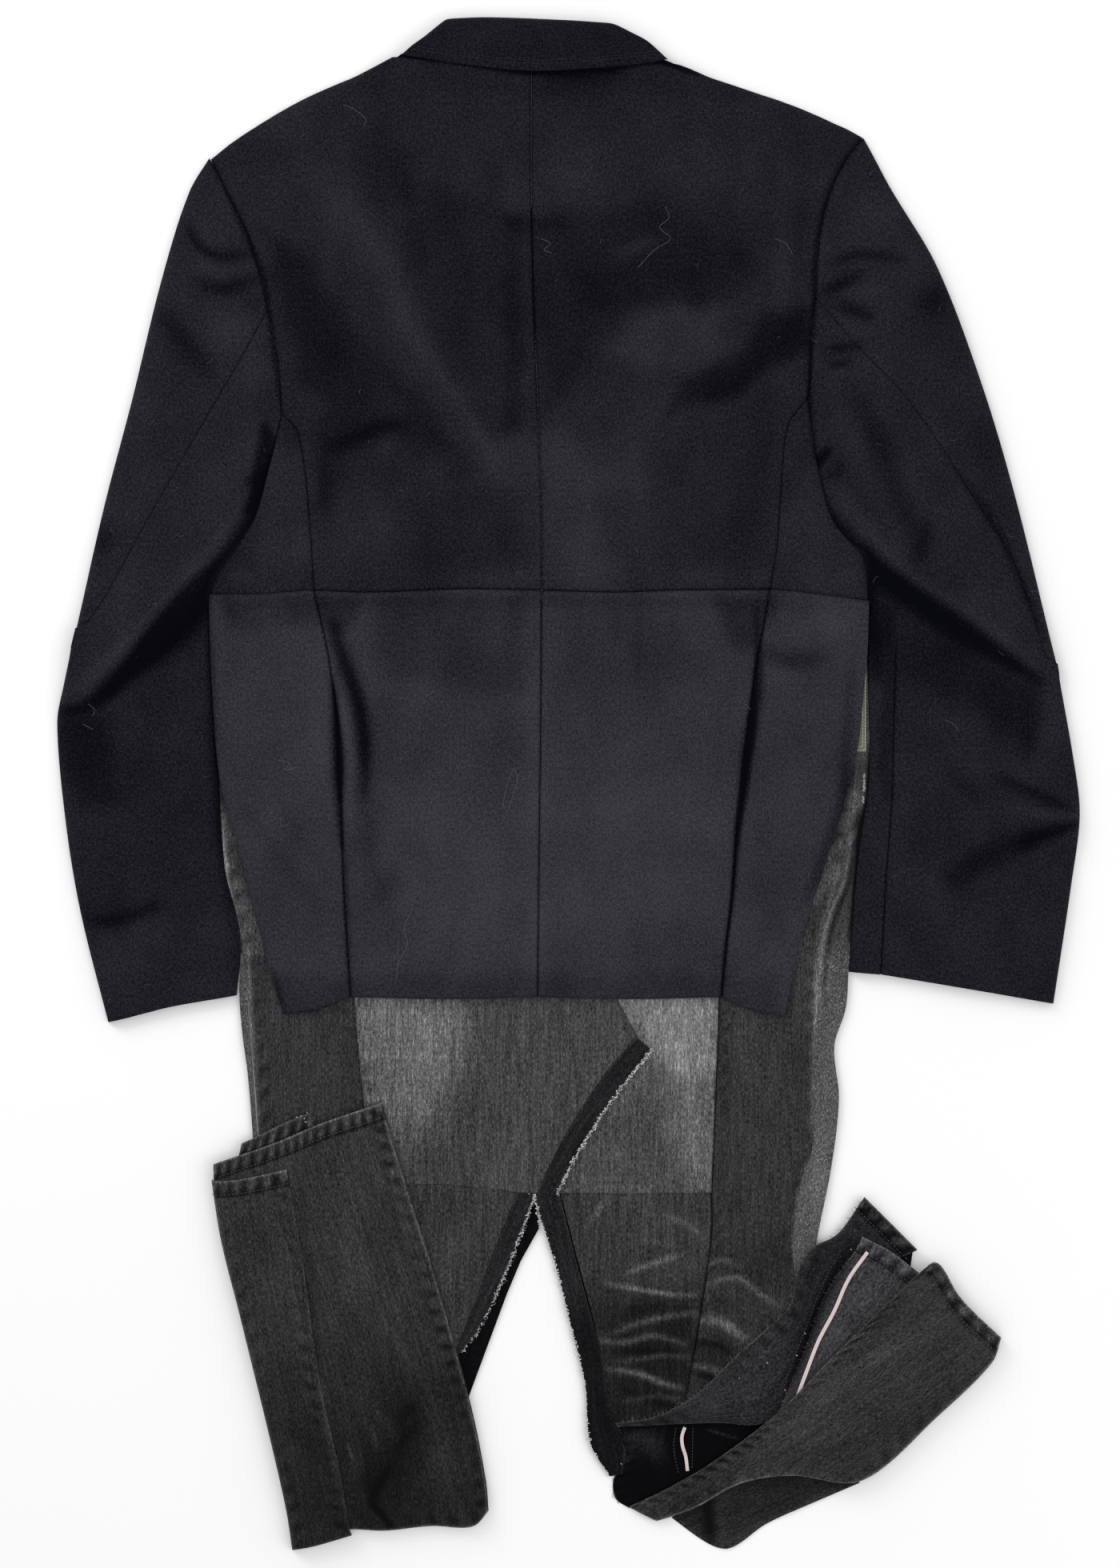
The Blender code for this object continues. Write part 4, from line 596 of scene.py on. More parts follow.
def shell_grid(left, right, top, bottom, rolls, spacing, gap):
    """Grid of points between four edges, with each point's distance to them and place along them."""
    width = float(np.linalg.norm(left - right, axis=1).mean())
    height = (run_length(left) + run_length(right)) / 2
    widest = {side: max(row[1] for row in rows) for side, rows in rolls.items()}
    down, _, _ = stations(height - gap, spacing, widest.get("top", 0), widest.get("bottom", 0))
    down = (down + gap / 2) / height
    over, first, last = stations(width, spacing, widest.get("left", 0), widest.get("right", 0))
    row_width = np.maximum(np.linalg.norm(along_edge(left, down) - along_edge(right, down), axis=1), 0.5)
    known = np.array((0.0, first, width - last, width))
    u = np.empty((len(down), len(over)))
    for row, own_width in enumerate(row_width):
        own = np.array((0.0, min(first, 0.43 * own_width),
                        own_width - min(last, 0.43 * own_width), own_width))
        u[row] = np.interp(over, known, own) / own_width
    v = np.repeat(down[:, None], len(over), axis=1)
    inset = (gap / 2 / row_width)[:, None]
    u = np.clip(inset + u * (1 - 2 * inset), 0.0, 1.0)
    sides = {"left": along_edge(left, v), "right": along_edge(right, v),
             "top": along_edge(top, u), "bottom": along_edge(bottom, u)}
    corner = ((1 - u) * (1 - v))[..., None] * top[0] + (u * (1 - v))[..., None] * top[-1]
    corner = corner + ((1 - u) * v)[..., None] * bottom[0] + (u * v)[..., None] * bottom[-1]
    grid = (1 - u)[..., None] * sides["left"] + u[..., None] * sides["right"]
    grid = grid + (1 - v)[..., None] * sides["top"] + v[..., None] * sides["bottom"] - corner
    wide = row_width[:, None]
    distance = {"left": (u - inset) * wide, "right": (1 - u - inset) * wide,
                "top": (v - down[0]) * height, "bottom": (down[-1] - v) * height}
    outward = {"left": sides["left"] - sides["right"], "right": sides["right"] - sides["left"],
               "top": sides["top"] - sides["bottom"], "bottom": sides["bottom"] - sides["top"]}
    position = {"left": v, "right": v, "top": u, "bottom": u}
    return grid, position, distance, outward, width, height


def hem_relief(distance, travel):
    """A turned-up hem: a thicker band, slanted puckers and the valley of its stitch line."""
    band = 1 / (1 + np.exp((distance - HEM_WIDTH) / 0.5))
    slant = np.sin(2 * np.pi * (travel + 0.25 * distance) / 9.1 + 1.4 * np.sin(travel / 11.0))
    pucker = slant * np.exp(-((distance - 6.5) / 5.0) ** 2)
    line = np.exp(-((distance - HEM_WIDTH + 0.6) / 1.1) ** 2)
    return 0.75 * band + 0.42 * pucker - 0.45 * line, pucker


def rope_pull(distance, travel, pitch):
    """The slanted pulls of a twisted hem or seam, a little way inside its edge."""
    pull = np.sin(2 * np.pi * (travel + 0.5 * distance) / pitch + 1.3 * np.sin(travel / (2.6 * pitch)))
    pull = pull * np.exp(-((distance - ROPE_INSET) / 4.5) ** 2)
    return pull * (0.65 + 0.35 * np.sin(travel / 23.0 + pitch))


LEFT, RIGHT, TOP, BOTTOM = range(4)


def pushed(run, other, far):
    """An edge moved away from the one across from it, by one distance or a few along it."""
    aside = sideways(run)
    across_way = along_edge(other, np.linspace(0, 1, len(run))) - run
    aside = aside * np.where((aside * across_way).sum(1, keepdims=True) > 0, -1.0, 1.0)
    distances = np.interp(np.linspace(0, 1, len(run)), np.linspace(0, 1, len(far)), far)
    return run + aside * distances[:, None]


CORNERS = ((LEFT, 0, TOP, 0), (LEFT, -1, BOTTOM, 0), (RIGHT, 0, TOP, -1), (RIGHT, -1, BOTTOM, -1))


def meet_again(edges, before):
    """Pushed edges meet their neighbours at the corners again; the shift fades along the edges."""
    after = list(edges)
    for one, one_end, other, other_end in CORNERS:
        for side, end, moved, moved_end in ((one, one_end, other, other_end),
                                            (other, other_end, one, one_end)):
            shift = edges[moved][moved_end] - before[moved][moved_end]
            way = np.linalg.norm(edges[side] - edges[side][end], axis=1)
            after[side] = after[side] + np.clip(1 - way / CORNER_FADE, 0, 1)[:, None] * shift
    return after


def flat_size(grid):
    """Width and length of the flat cut in metres, and its area."""
    cells = np.abs(np.cross(grid[1:, 1:] - grid[:-1, :-1], grid[1:, :-1] - grid[:-1, 1:])) / 2
    widths = np.hypot(*np.moveaxis(np.diff(grid, axis=1), -1, 0)).sum(1)
    lengths = np.hypot(*np.moveaxis(np.diff(grid, axis=0), -1, 0)).sum(0)
    cut = tuple(max(float(spans.max()) * MM, SMALLEST_CUT) for spans in (widths, lengths))
    return cut, max(float(cells.sum()) * MM * MM, LEAST_AREA_SHARE * cut[0] * cut[1])


def shell(name, left, right, top, bottom, underside, thickness, material, slot, folds=(), rolls=None,
          creases=(), tone=0.0, tone_marks=(), tone_spots=(), tone_areas=(), reach=None, lift=None,
          spacing=3.0, sink=0.9, hems=(), rope=(), edge_wear_and_highlight=0.0, seams=None, held="laid", rests_on=(),
          gap=SEAM_GAP, waves=1.0, grain=None):
    """One sewn piece as a closed thin shell that replaces its solid."""
    rolls = rolls or {}
    edges = [edge(*names) if isinstance(names[0], str) else names for names in (left, right, top, bottom)]
    if reach:
        before = list(edges)
        for side, far in reach.items():
            edges[side] = pushed(edges[side], edges[side ^ 1], far)
        edges = meet_again(edges, before)
    grid, position, distance, outward, width, length = shell_grid(*edges, rolls, spacing, gap)
    travel = {"left": position["left"] * length, "right": position["right"] * length,
              "top": position["top"] * width, "bottom": position["bottom"] * width}
    across, along = grid[..., 0], grid[..., 1]
    relief = fold_height(folds, across, along) + streaks(creases, across, along)
    relief = relief + waves * unevenness(across, along)
    relief = np.where(relief < 0, TROUGH_LIMIT * np.tanh(relief / TROUGH_LIMIT), relief)
    height = underside + thickness + relief
    if lift is not None:
        height = height + lift(across, along)
    # The tone: the denim's wear, and painted shade and painted highlights from the marks, areas and spots.
    shade = tone + streaks(tone_marks, across, along) + spots(tone_spots, across, along)
    shade = shade + areas(tone_areas, across, along)
    for side in hems:
        relief, pucker = hem_relief(distance[side], travel[side])
        height = height + relief
        # The hem's puckers are lighter on their ridges and darker between, its folded edge lighter and its
        # stitch line darker: rubbed wear, with painted shade in the hollows.
        shade = shade + 0.15 * pucker + 0.16 * np.exp(-(distance[side] / 1.2) ** 2)
        shade = shade - 0.24 * np.exp(-((distance[side] - HEM_WIDTH + 0.6) / 1.3) ** 2)
    for side, pitch, size in rope:
        pull = rope_pull(distance[side], travel[side], pitch)
        height = height + 0.8 * size * pull
        # The pulls are painted much darker in their hollows and a little lighter on their crests: painted
        # shade, with some wear on the crests.
        shade = shade + size * np.where(pull < 0, 0.36, 0.1) * pull
    lean = np.zeros(grid.shape)
    upright = np.ones(across.shape)
    lowest = np.full(across.shape, float(underside))
    for side in ("left", "right", "top", "bottom"):
        if side in rolls:
            radius, low = roll_table(rolls[side], position[side])
            rolled = np.where(radius > 0.05, roll_profile(distance[side], radius), 1.0)
            height = low + (height - low) * rolled
            lowest = np.where(rolled < 1, np.minimum(lowest, low), lowest)
            unit = outward[side] / np.linalg.norm(outward[side], axis=-1, keepdims=True)
            lean = lean + unit * np.sqrt(1 - rolled ** 2)[..., None]
            upright = upright * rolled
        free = np.where(upright > 0.98, 1.0, 0.0) if side in rolls else 1.0
        away = distance[side]
        height = height - free * sink * (0.6 * np.exp(-(away / 0.8) ** 2) + 0.4 * np.exp(-(away / 4.5) ** 2))
        # The edges are painted lighter: partly rubbed wear, partly a painted highlight, set in from a rolled
        # edge and stronger there, where the steep rim turns from the light.
        rim_highlight = 1.2 if side in rolls else 0.0
        shade = shade + (1 + 0.5 * rim_highlight) * edge_wear_and_highlight * np.exp(-((away - rim_highlight) / 1.0) ** 2)
        shade = shade + free * (seams or {}).get(side, 0.0) * np.exp(-(away / 0.9) ** 2)
    lean = lean / np.maximum(np.linalg.norm(lean, axis=-1, keepdims=True), 1.0)
    height = np.maximum(height, LOWEST_RIM)
    outer = np.dstack((grid, height))
    inner_height = np.maximum(height - thickness * upright, lowest)
    inner_height = np.minimum(inner_height, height - 0.05 - 0.5 * upright)
    inner_height = np.maximum(inner_height, 0.0)
    inner = np.dstack((grid - thickness * lean, inner_height))
    flat_uv = np.dstack((travel["top"], length - travel["left"])) * MM
    if grain is not None:
        turn = math.radians(grain)
        flat_uv = np.dstack((across * math.sin(turn) - along * math.cos(turn),
                             across * math.cos(turn) + along * math.sin(turn))) * MM
    piece = closed_shell(f"{name}_cloth", outer, inner, flat_uv, shade)
    piece.data.materials.append(material)
    surfaces[name] = outer
    finish_piece(piece, slot, name)
    cut, area = flat_size(grid)


def lay_out(mesh, flat):
    """The flat cut, one place for each point, as the mesh's UV map."""
    corners = np.empty(len(mesh.loops), np.int32)
    mesh.loops.foreach_get("vertex_index", corners)
    mesh.uv_layers.new(name="cut").data.foreach_set("uv", flat[corners].astype(np.float32).ravel())


def set_tone(mesh, values):
    """How light the cloth is at each point: wear, and painted shade and painted highlights."""
    mesh.attributes.new("tone", "FLOAT", "POINT").data.foreach_set("value", values.astype(np.float32))


def closed_shell(name, outer, inner, flat_uv, shade):
    """A closed mesh from two grids, with the flat cut as its UV map and a tone at each point."""
    rows, columns = outer.shape[:2]
    count = rows * columns
    index = np.arange(count).reshape(rows, columns)
    a, b = index[:-1, :-1].ravel(), index[1:, :-1].ravel()
    c, d = index[1:, 1:].ravel(), index[:-1, 1:].ravel()
    top_faces = np.column_stack((a, b, c, d))
    bottom_faces = np.column_stack((d, c, b, a)) + count
    ring = np.concatenate((index[0], index[1:, -1], index[-1, -2::-1], index[-2:0:-1, 0]))
    after = np.roll(ring, -1)
    rim = np.column_stack((ring, after, after + count, ring + count))
    faces = np.vstack((top_faces, bottom_faces, rim))
    mesh = bpy.data.meshes.new(name)
    mesh.from_pydata(np.vstack((outer.reshape(-1, 3), inner.reshape(-1, 3))) * MM, [], faces.tolist())
    lay_out(mesh, np.vstack((flat_uv.reshape(-1, 2),) * 2))
    set_tone(mesh, np.tile(np.clip(shade, -1, 2).ravel(), 2))
    mesh.polygons.foreach_set("use_smooth", np.ones(len(mesh.polygons), bool))
    mesh.set_sharp_from_angle(angle=math.radians(SHARP_ANGLE))
    return in_scene(name, mesh)


def finish_piece(piece, slot, *nodes):
    """The piece rides on the one body and hides the solids it stands for; the slot is not used."""
    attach(piece, "root")
    if nodes:
        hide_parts(*nodes)

# %% [markdown]
# # Shaders
# Small sums read better than chains of nodes, so a socket is wrapped in a class whose operators
# each make one Math node. Every cloth shader reads two things from its piece: the flat cut as a UV
# map in metres, so the yarns run along the piece however it lies, and "tone", which says how light
# the cloth is at each point: the denim's wear, and painted shade and painted highlights in folds, in
# hollows and beside other pieces.

# %% sockets as numbers
class Wire:
    """A socket that can be used in sums."""

    def __init__(self, tree, socket):
        self.tree, self.socket = tree, socket

    def math(self, operation, *values, clamp=False):
        node = self.tree.nodes.new("ShaderNodeMath")
        node.operation = operation
        node.use_clamp = clamp
        for place, value in zip(node.inputs, values):
            put(self.tree, place, value)
        return Wire(self.tree, node.outputs[0])

    def __add__(self, other):
        return self.math("ADD", self, other)

    def __radd__(self, other):
        return self.math("ADD", other, self)

    def __sub__(self, other):
        return self.math("SUBTRACT", self, other)

    def __rsub__(self, other):
        return self.math("SUBTRACT", other, self)

    def __mul__(self, other):
        return self.math("MULTIPLY", self, other)

    def __rmul__(self, other):
        return self.math("MULTIPLY", other, self)

    def clamp(self):
        return self.math("ADD", self, 0.0, clamp=True)

    def sine(self):
        return self.math("SINE", self)

    def ramp(self, low, high):
        """0 below low, 1 above high, smooth between."""
        node = self.tree.nodes.new("ShaderNodeMapRange")
        node.interpolation_type = "SMOOTHSTEP"
        put(self.tree, node.inputs["Value"], self)
        put(self.tree, node.inputs["From Min"], low)
        put(self.tree, node.inputs["From Max"], high)
        return Wire(self.tree, node.outputs["Result"])


def put(tree, place, value):
    """Link a socket or set a constant."""
    if isinstance(value, Wire):
        tree.links.new(value.socket, place)
    else:
        place.default_value = value


BUMP_STRENGTH = 0.6


class Cloth:
    """One material: its tree, its principled shader and a short way to make nodes."""

    def __init__(self, name, roughness=0.95, sheen=0.0, sheen_tint=(1, 1, 1, 1), specular=0.25):
        self.material = bpy.data.materials.new(name)
        self.material.use_nodes = True
        self.tree = self.material.node_tree
        self.shader = self.tree.nodes["Principled BSDF"]
        self.shader.inputs["Roughness"].default_value = roughness
        self.shader.inputs["Sheen Weight"].default_value = sheen
        self.shader.inputs["Sheen Roughness"].default_value = 0.45
        self.shader.inputs["Sheen Tint"].default_value = sheen_tint
        self.shader.inputs["Specular IOR Level"].default_value = specular
        self.tone = self.node("ShaderNodeAttribute", {"attribute_name": "tone"}, out="Fac")
        self.uv = self.node("ShaderNodeUVMap", {"uv_map": "cut"}, out="UV")

    def node(self, kind, settings=None, out=0, **values):
        """Make a node, set its settings, link or set its inputs and give one output."""
        made = self.tree.nodes.new(kind)
        for key, value in (settings or {}).items():
            setattr(made, key, value)
        for key, value in values.items():
            put(self.tree, made.inputs[key.replace("_", " ")], value)
        return Wire(self.tree, made.outputs[out])

    def vector_math(self, operation, vector, constant):
        made = self.tree.nodes.new("ShaderNodeVectorMath")
        made.operation = operation
        put(self.tree, made.inputs[0], vector)
        made.inputs[1].default_value = constant
        return Wire(self.tree, made.outputs["Vector"])

    def noise(self, across, along, detail=2.0, offset=0.0):
        """Noise with its own size across and along the yarns."""
        place = self.vector_math("MULTIPLY", self.uv, (across, along, 1.0))
        place = self.vector_math("ADD", place, (offset, offset * 1.7, offset * 0.3))
        return self.node("ShaderNodeTexNoise", {"noise_dimensions": "3D"}, out="Fac",
                         Vector=place, Scale=1.0, Detail=detail, Roughness=0.55)

    def mix(self, share, first, second):
        """A mix of two colours."""
        made = self.tree.nodes.new("ShaderNodeMix")
        made.data_type = "RGBA"
        colours = [place for place in made.inputs if place.type == "RGBA"]
        put(self.tree, made.inputs[0], share)
        put(self.tree, colours[0], first)
        put(self.tree, colours[1], second)
        return Wire(self.tree, next(place for place in made.outputs if place.type == "RGBA"))

    def colour(self, value):
        put(self.tree, self.shader.inputs["Base Color"], value)

    def bump(self, height, distance):
        made = self.node("ShaderNodeBump", out="Normal", Height=height, Distance=distance,
                         Strength=BUMP_STRENGTH)
        put(self.tree, self.shader.inputs["Normal"], made)


# %% wool, denim and the small materials
# The wool runs from the black to the light colour with the tone, which holds painted shade and painted
# highlights.
WOOL_BLACK = (0.0003, 0.0003, 0.0022, 1)
WOOL_LIGHT = (0.0428, 0.0414, 0.0508, 1)
WOOL_LINT = (0.10, 0.10, 0.105, 1)
SLUB_WHITE = (0.52, 0.52, 0.53, 1)
TAPE_RIB = 0.0013


def wool(name):
    """Black napped melton: short fibres in all directions that catch the light where they stand up, darker or
    lighter with the tone, which paints shade and highlights.
    """
    cloth = Cloth(name, roughness=1.0, sheen=0.03, sheen_tint=(0.72, 0.72, 0.85, 1), specular=0.06)
    fibres = cloth.noise(1080, 760, detail=4.0)
    tufts = cloth.noise(560, 400, detail=3.0, offset=7.0)
    clouds = cloth.noise(26, 18, detail=3.0, offset=3.0)
    # The tone paints shade in the hollows and highlights on the crests; the fibre noise is the cloth's own
    # grain.
    fibres_and_shade = cloth.tone + 1.05 * (fibres - 0.5) + 0.72 * (tufts - 0.5) + 0.34 * (clouds - 0.5)
    fibres_and_shade = fibres_and_shade.clamp()
    shaded_nap = cloth.mix(fibres_and_shade * fibres_and_shade, WOOL_BLACK, WOOL_LIGHT)
    lint = cloth.noise(620, 620, detail=1.0, offset=31.0).ramp(0.76, 0.84) * 0.22
    cloth.colour(cloth.mix(lint, shaded_nap, WOOL_LINT))
    cloth.bump(fibres * 0.5 + tufts, 0.00035)
    return cloth.material


def denim(name, dark=(0.0024, 0.0024, 0.0030, 1), faded=(0.294, 0.292, 0.299, 1), slubs=0.44, specks=0.72,
          speck_along=120):
    """Black denim: dark warp over white weft, so wear shows as pale slubs and specks; the tone also carries
    painted shade and light.
    """
    cloth = Cloth(name, roughness=0.95, sheen=0.02, sheen_tint=(0.9, 0.9, 0.95, 1), specular=0.06)
    warp = cloth.noise(1150, 330, detail=3.0)
    weft = cloth.noise(760, 1500, detail=3.0, offset=11.0)
    slub = cloth.noise(620, 48, detail=2.0, offset=5.0)
    clouds = cloth.noise(34, 22, detail=4.0, offset=2.0)
    share = (cloth.tone * 1.5 + 0.22).clamp()
    grain = 1.0 * (warp - 0.5) + 0.62 * (weft - 0.5) + slubs * (slub - 0.5) + 0.22 * (clouds - 0.5)
    # The tone is the wear, with painted shade and light in a few places beside the jacket and the sleeves and
    # in folds.
    worn_and_shaded = (cloth.tone + grain * share).clamp()
    ground = cloth.mix(worn_and_shaded * worn_and_shaded, dark, faded)
    white = cloth.noise(1000, speck_along, detail=2.0, offset=17.0).ramp(0.58, 0.71)
    white = white * (cloth.tone * 2.0 - 0.62).clamp()
    cloth.colour(cloth.mix(white * specks, ground, SLUB_WHITE))
    cloth.bump(warp * 0.7 + weft * 0.6 + slub * 0.3, 0.0003)
    return cloth.material


def plain(name, colour, roughness=0.9, sheen=0.0):
    """Thread, tape or hide: one colour with a little unevenness along it."""
    cloth = Cloth(name, roughness=roughness, sheen=sheen)
    grain = cloth.noise(800, 300, detail=2.0)
    darker = tuple(0.72 * channel for channel in colour[:3]) + (1,)
    cloth.colour(cloth.mix(grain, darker, colour))
    return cloth.material


def tape_weave(name, colour, dark):
    """Woven tape: a fine herringbone of two yarns."""
    cloth = Cloth(name, roughness=0.9)
    axes = cloth.node("ShaderNodeSeparateXYZ", out="X", Vector=cloth.uv)
    rise = Wire(cloth.tree, axes.socket.node.outputs["Y"])
    rib = ((rise + axes * 0.9) * (2 * math.pi / TAPE_RIB)).sine().ramp(-0.4, 0.9)
    cloth.colour(cloth.mix(rib * 0.8 + cloth.noise(700, 500) * 0.2, dark, colour))
    cloth.bump(rib, 0.0002)
    return cloth.material


WOOL_CLOTH = wool("black wool")
DENIM_CLOTH = denim("washed denim")
SEAT_CLOTH = denim("streaky denim", slubs=0.55)
TURN_CLOTH = denim("rubbed denim", slubs=0.3, specks=1.7, speck_along=760)
BAND_CLOTH = denim("unfaded denim", dark=(0.0016, 0.0016, 0.0022, 1), faded=(0.235, 0.235, 0.25, 1),
                   slubs=0.6)
INNER_CLOTH = denim("inner denim", dark=(0.0010, 0.0010, 0.0018, 1), faded=(0.262, 0.260, 0.285, 1))
HIDE = plain("waist patch", (0.152, 0.150, 0.113, 1), roughness=0.75)
PATCH_THREAD = plain("patch thread", (0.58, 0.57, 0.46, 1))
BLACK_THREAD = plain("black thread", (0.016, 0.016, 0.019, 1), sheen=0.1)
GREY_THREAD = plain("grey thread", (0.066, 0.066, 0.069, 1))
WHITE_THREAD = plain("frayed thread", (0.62, 0.62, 0.63, 1))
PINK_THREAD = plain("bartack thread", (0.56, 0.46, 0.47, 1))
LINT = plain("lint", (0.12, 0.12, 0.13, 1))
TAPE_CLOTH = tape_weave("selvage", (0.66, 0.57, 0.565, 1), (0.48, 0.39, 0.39, 1))
print("materials:", len(bpy.data.materials))

# %% [markdown]
# # Light and dark on the cloth
# The wool is painted darker in a hollow and lighter on a crest, more than its slope alone gives: painted
# shade and painted highlights, with painted shadow in the armholes, under the collar and under the
# elbow folds. Washed denim is pale where it was rubbed: down the middle of the seat panels, and in the
# wavy lines that sitting leaves at the top of the thigh; beside the jacket and the sleeves and in folds a
# few of its marks are painted shade and light. Each mark is listed in a table.

# %% painted shade and highlights on the wool
# All the marks, areas and spots on the wool are painted light: painted shade in its hollows, folds, armholes
# and darts and under the collar and the elbow folds, painted highlights on its crests. The two armhole lines
# are painted shadow along the armhole seams.
LEFT_ARMHOLE_SHADOW = (((-268.2, 468.6), (-248.4, 426.6), (-233.1, 391.8), (-226.5, 369.6), (-221.4, 330),
                 (-215.4, 281.4)), 2.2, -0.28)
RIGHT_ARMHOLE_SHADOW = (((216.6, 482.4), (198.6, 453), (189, 422.4), (183.9, 387), (183.8, 360.6), (181.2, 325.8),
                  (180.2, 290.4), (184.6, 241.8)), 2.2, -0.28)
BODY_AREAS = (
    (((-124, 453), (-91, 447), (-43, 427), (-35, 423), (-35, 261), (-59, 258), (-79, 285), (-98, 318),
        (-115, 351), (-127, 390)), 5.4, -0.08),
    (((-50, 425), (-34, 425), (-34, 260), (-49, 261), (-47, 348)), 2.4, -0.07),
    (((-52, 423), (-7, 423), (-4, 413), (-43, 411)), 3.0, -0.09),
    (((-169, 489), (-145, 486), (-121, 468), (-115, 438), (-139, 432), (-157, 459)), 7.2, -0.09),
    (((-227, 411), (-190, 390), (-166, 351), (-145, 318), (-109, 288), (-88, 252), (-115, 243),
        (-139, 261), (-169, 246), (-176, 204), (-190, 204), (-191, 252), (-184, 285), (-203, 300),
        (-209, 330), (-220, 372)), 6.6, -0.13),
    (((-217, 402), (-193, 387), (-172, 348), (-169, 306), (-187, 288), (-202, 306), (-208, 348)), 8.4,
        -0.05),
    (((-115, 204), (-67, 216), (-37, 204), (-34, 168), (-91, 156), (-127, 159)), 12.0, -0.07),
    (((-34, 261), (-7, 264), (29, 228), (35, 144), (-34, 144)), 10.8, 0.15),
    (((-67, 261), (-34, 259), (-34, 222), (-67, 228)), 7.2, 0.1),
    (((-31, 425), (29, 431), (71, 433), (101, 414), (131, 402), (140, 384), (131, 363), (101, 357),
        (71, 357), (41, 354), (17, 330), (-1, 288), (-13, 282), (-25, 348)), 6.6, -0.1),
    (((-4, 387), (47, 393), (95, 387), (101, 363), (71, 357), (17, 354), (2, 348)), 6.0, -0.06),
    (((47, 348), (83, 357), (113, 354), (119, 330), (101, 312), (83, 306), (53, 312), (29, 324)), 7.2,
        0.14),
    (((181, 355), (149, 351), (125, 324), (83, 300), (77, 276), (101, 287), (125, 288), (143, 306),
        (181, 324)), 4.8, -0.19),
    (((-7, 288), (29, 306), (83, 300), (89, 252), (65, 144), (-7, 144)), 18.0, 0.06),
    (((-217, 252), (-196, 252), (-193, 168), (-229, 156), (-235, 180)), 7.2, 0.08),
    (((179, 228), (209, 174), (220, 144), (161, 144), (155, 204)), 8.4, 0.1),
)
BODY_MARKS = (
    (((-255.6, 154.8), (-233.4, 154.8)), 7.2, 0.12),
    (((-90.6, 155.4), (-66.6, 154.2), (-27.6, 154.8)), 8.4, 0.1),
    (((83.4, 154.8), (116.4, 154.8)), 7.8, 0.11),
    (((136.2, 154.8), (150.6, 154.8)), 6.0, 0.06),
    # Painted shadow under the collar's fall.
    (((-88.8, 540.6), (-51.6, 535.2), (-29.4, 532.8), (-3.6, 532.2), (22.2, 533.7), (44.4, 537),
      (60.6, 539.4)), (1.2, 1.8, 2.4, 2.6, 2.6, 2.2, 1.2), -0.4),
    (((60.6, 539.4), (69, 540), (81.6, 536.1), (96.6, 530.1)), (1.2, 1.6, 1.8, 1.0), -0.42),
    (((-121.8, 544.5), (-88.8, 540.6)), 1.1, -0.3),
    (((-12.6, 528.6), (17.4, 529.2), (39, 532.8)), 5.0, -0.14),
    (((-181, 251), (-163, 257), (-139, 267), (-118, 270)), 6.6, -0.24),
    (((-184, 243), (-182, 204)), 5.4, -0.08),
    (((-190, 474), (-169, 432), (-139, 384), (-109, 330), (-79, 282), (-53, 240)), 15.0, 0.11),
    (((-127, 348), (-91, 300), (-59, 251)), 5.4, 0.07),
    (((-91, 526), (-7, 520), (71, 528)), 9.6, -0.1),
    (((32, 390), (50, 401), (68, 408)), 5.4, 0.15),
    (((173, 342), (149, 324), (122, 297), (95, 289)), 7.8, -0.1),
    (((149, 300), (146, 252), (140, 168)), 9.6, -0.08),
    (((131, 258), (131, 144)), 9.6, -0.06),
    (((161, 468), (158, 348)), 6.0, 0.07),
    (((176, 468), (173, 360)), 6.0, -0.05),
    (((-247, 450), (-211, 444), (-175, 450)), 18.0, 0.04),
    LEFT_ARMHOLE_SHADOW,
    RIGHT_ARMHOLE_SHADOW,
)
BODY_SPOTS = (
    (-145, 198, 21, 27, 0.09),
    (-200, 180, 12, 29, 0.06),
    (-43, 444, 8, 18, 0.12),
    (-4, 450, 24, 18, 0.09),
    (128, 393, 13, 13, -0.1),
    (47, 225, 15, 21, 0.06),
    (-91, 408, 36, 24, -0.02),
)
PEPLUM_AREAS = (
    (((-187.8, 142.8), (-155.4, 142.8), (-159, 123), (-168.6, 114), (-180.6, 117), (-185.4, 129)), 4.2, -0.2),
    (((107.4, 142.8), (160.2, 142.8), (150.6, 123), (142.2, 106.8), (128.4, 100.8), (118.2, 117)), 5.4,
     -0.19),
    (((-145, 141), (-34, 141), (-34, 69), (-67, 67), (-91, 75), (-139, 78)), 7.2, -0.13),
    (((-262, 141), (-181, 141), (-181, 120), (-253, 114)), 4.8, -0.14),
    (((-127, -18), (-31, -12), (-31, -135), (-127, -135)), 24.0, 0.1),
    (((-229, -143), (158, -143), (158, -183), (-229, -183)), 4.8, -0.1),
    (((-7, 132), (113, 132), (113, 72), (-7, 72)), 18.0, -0.08),
    (((-13, 18), (107, 18), (107, -108), (-13, -120)), 24.0, 0.09),
)
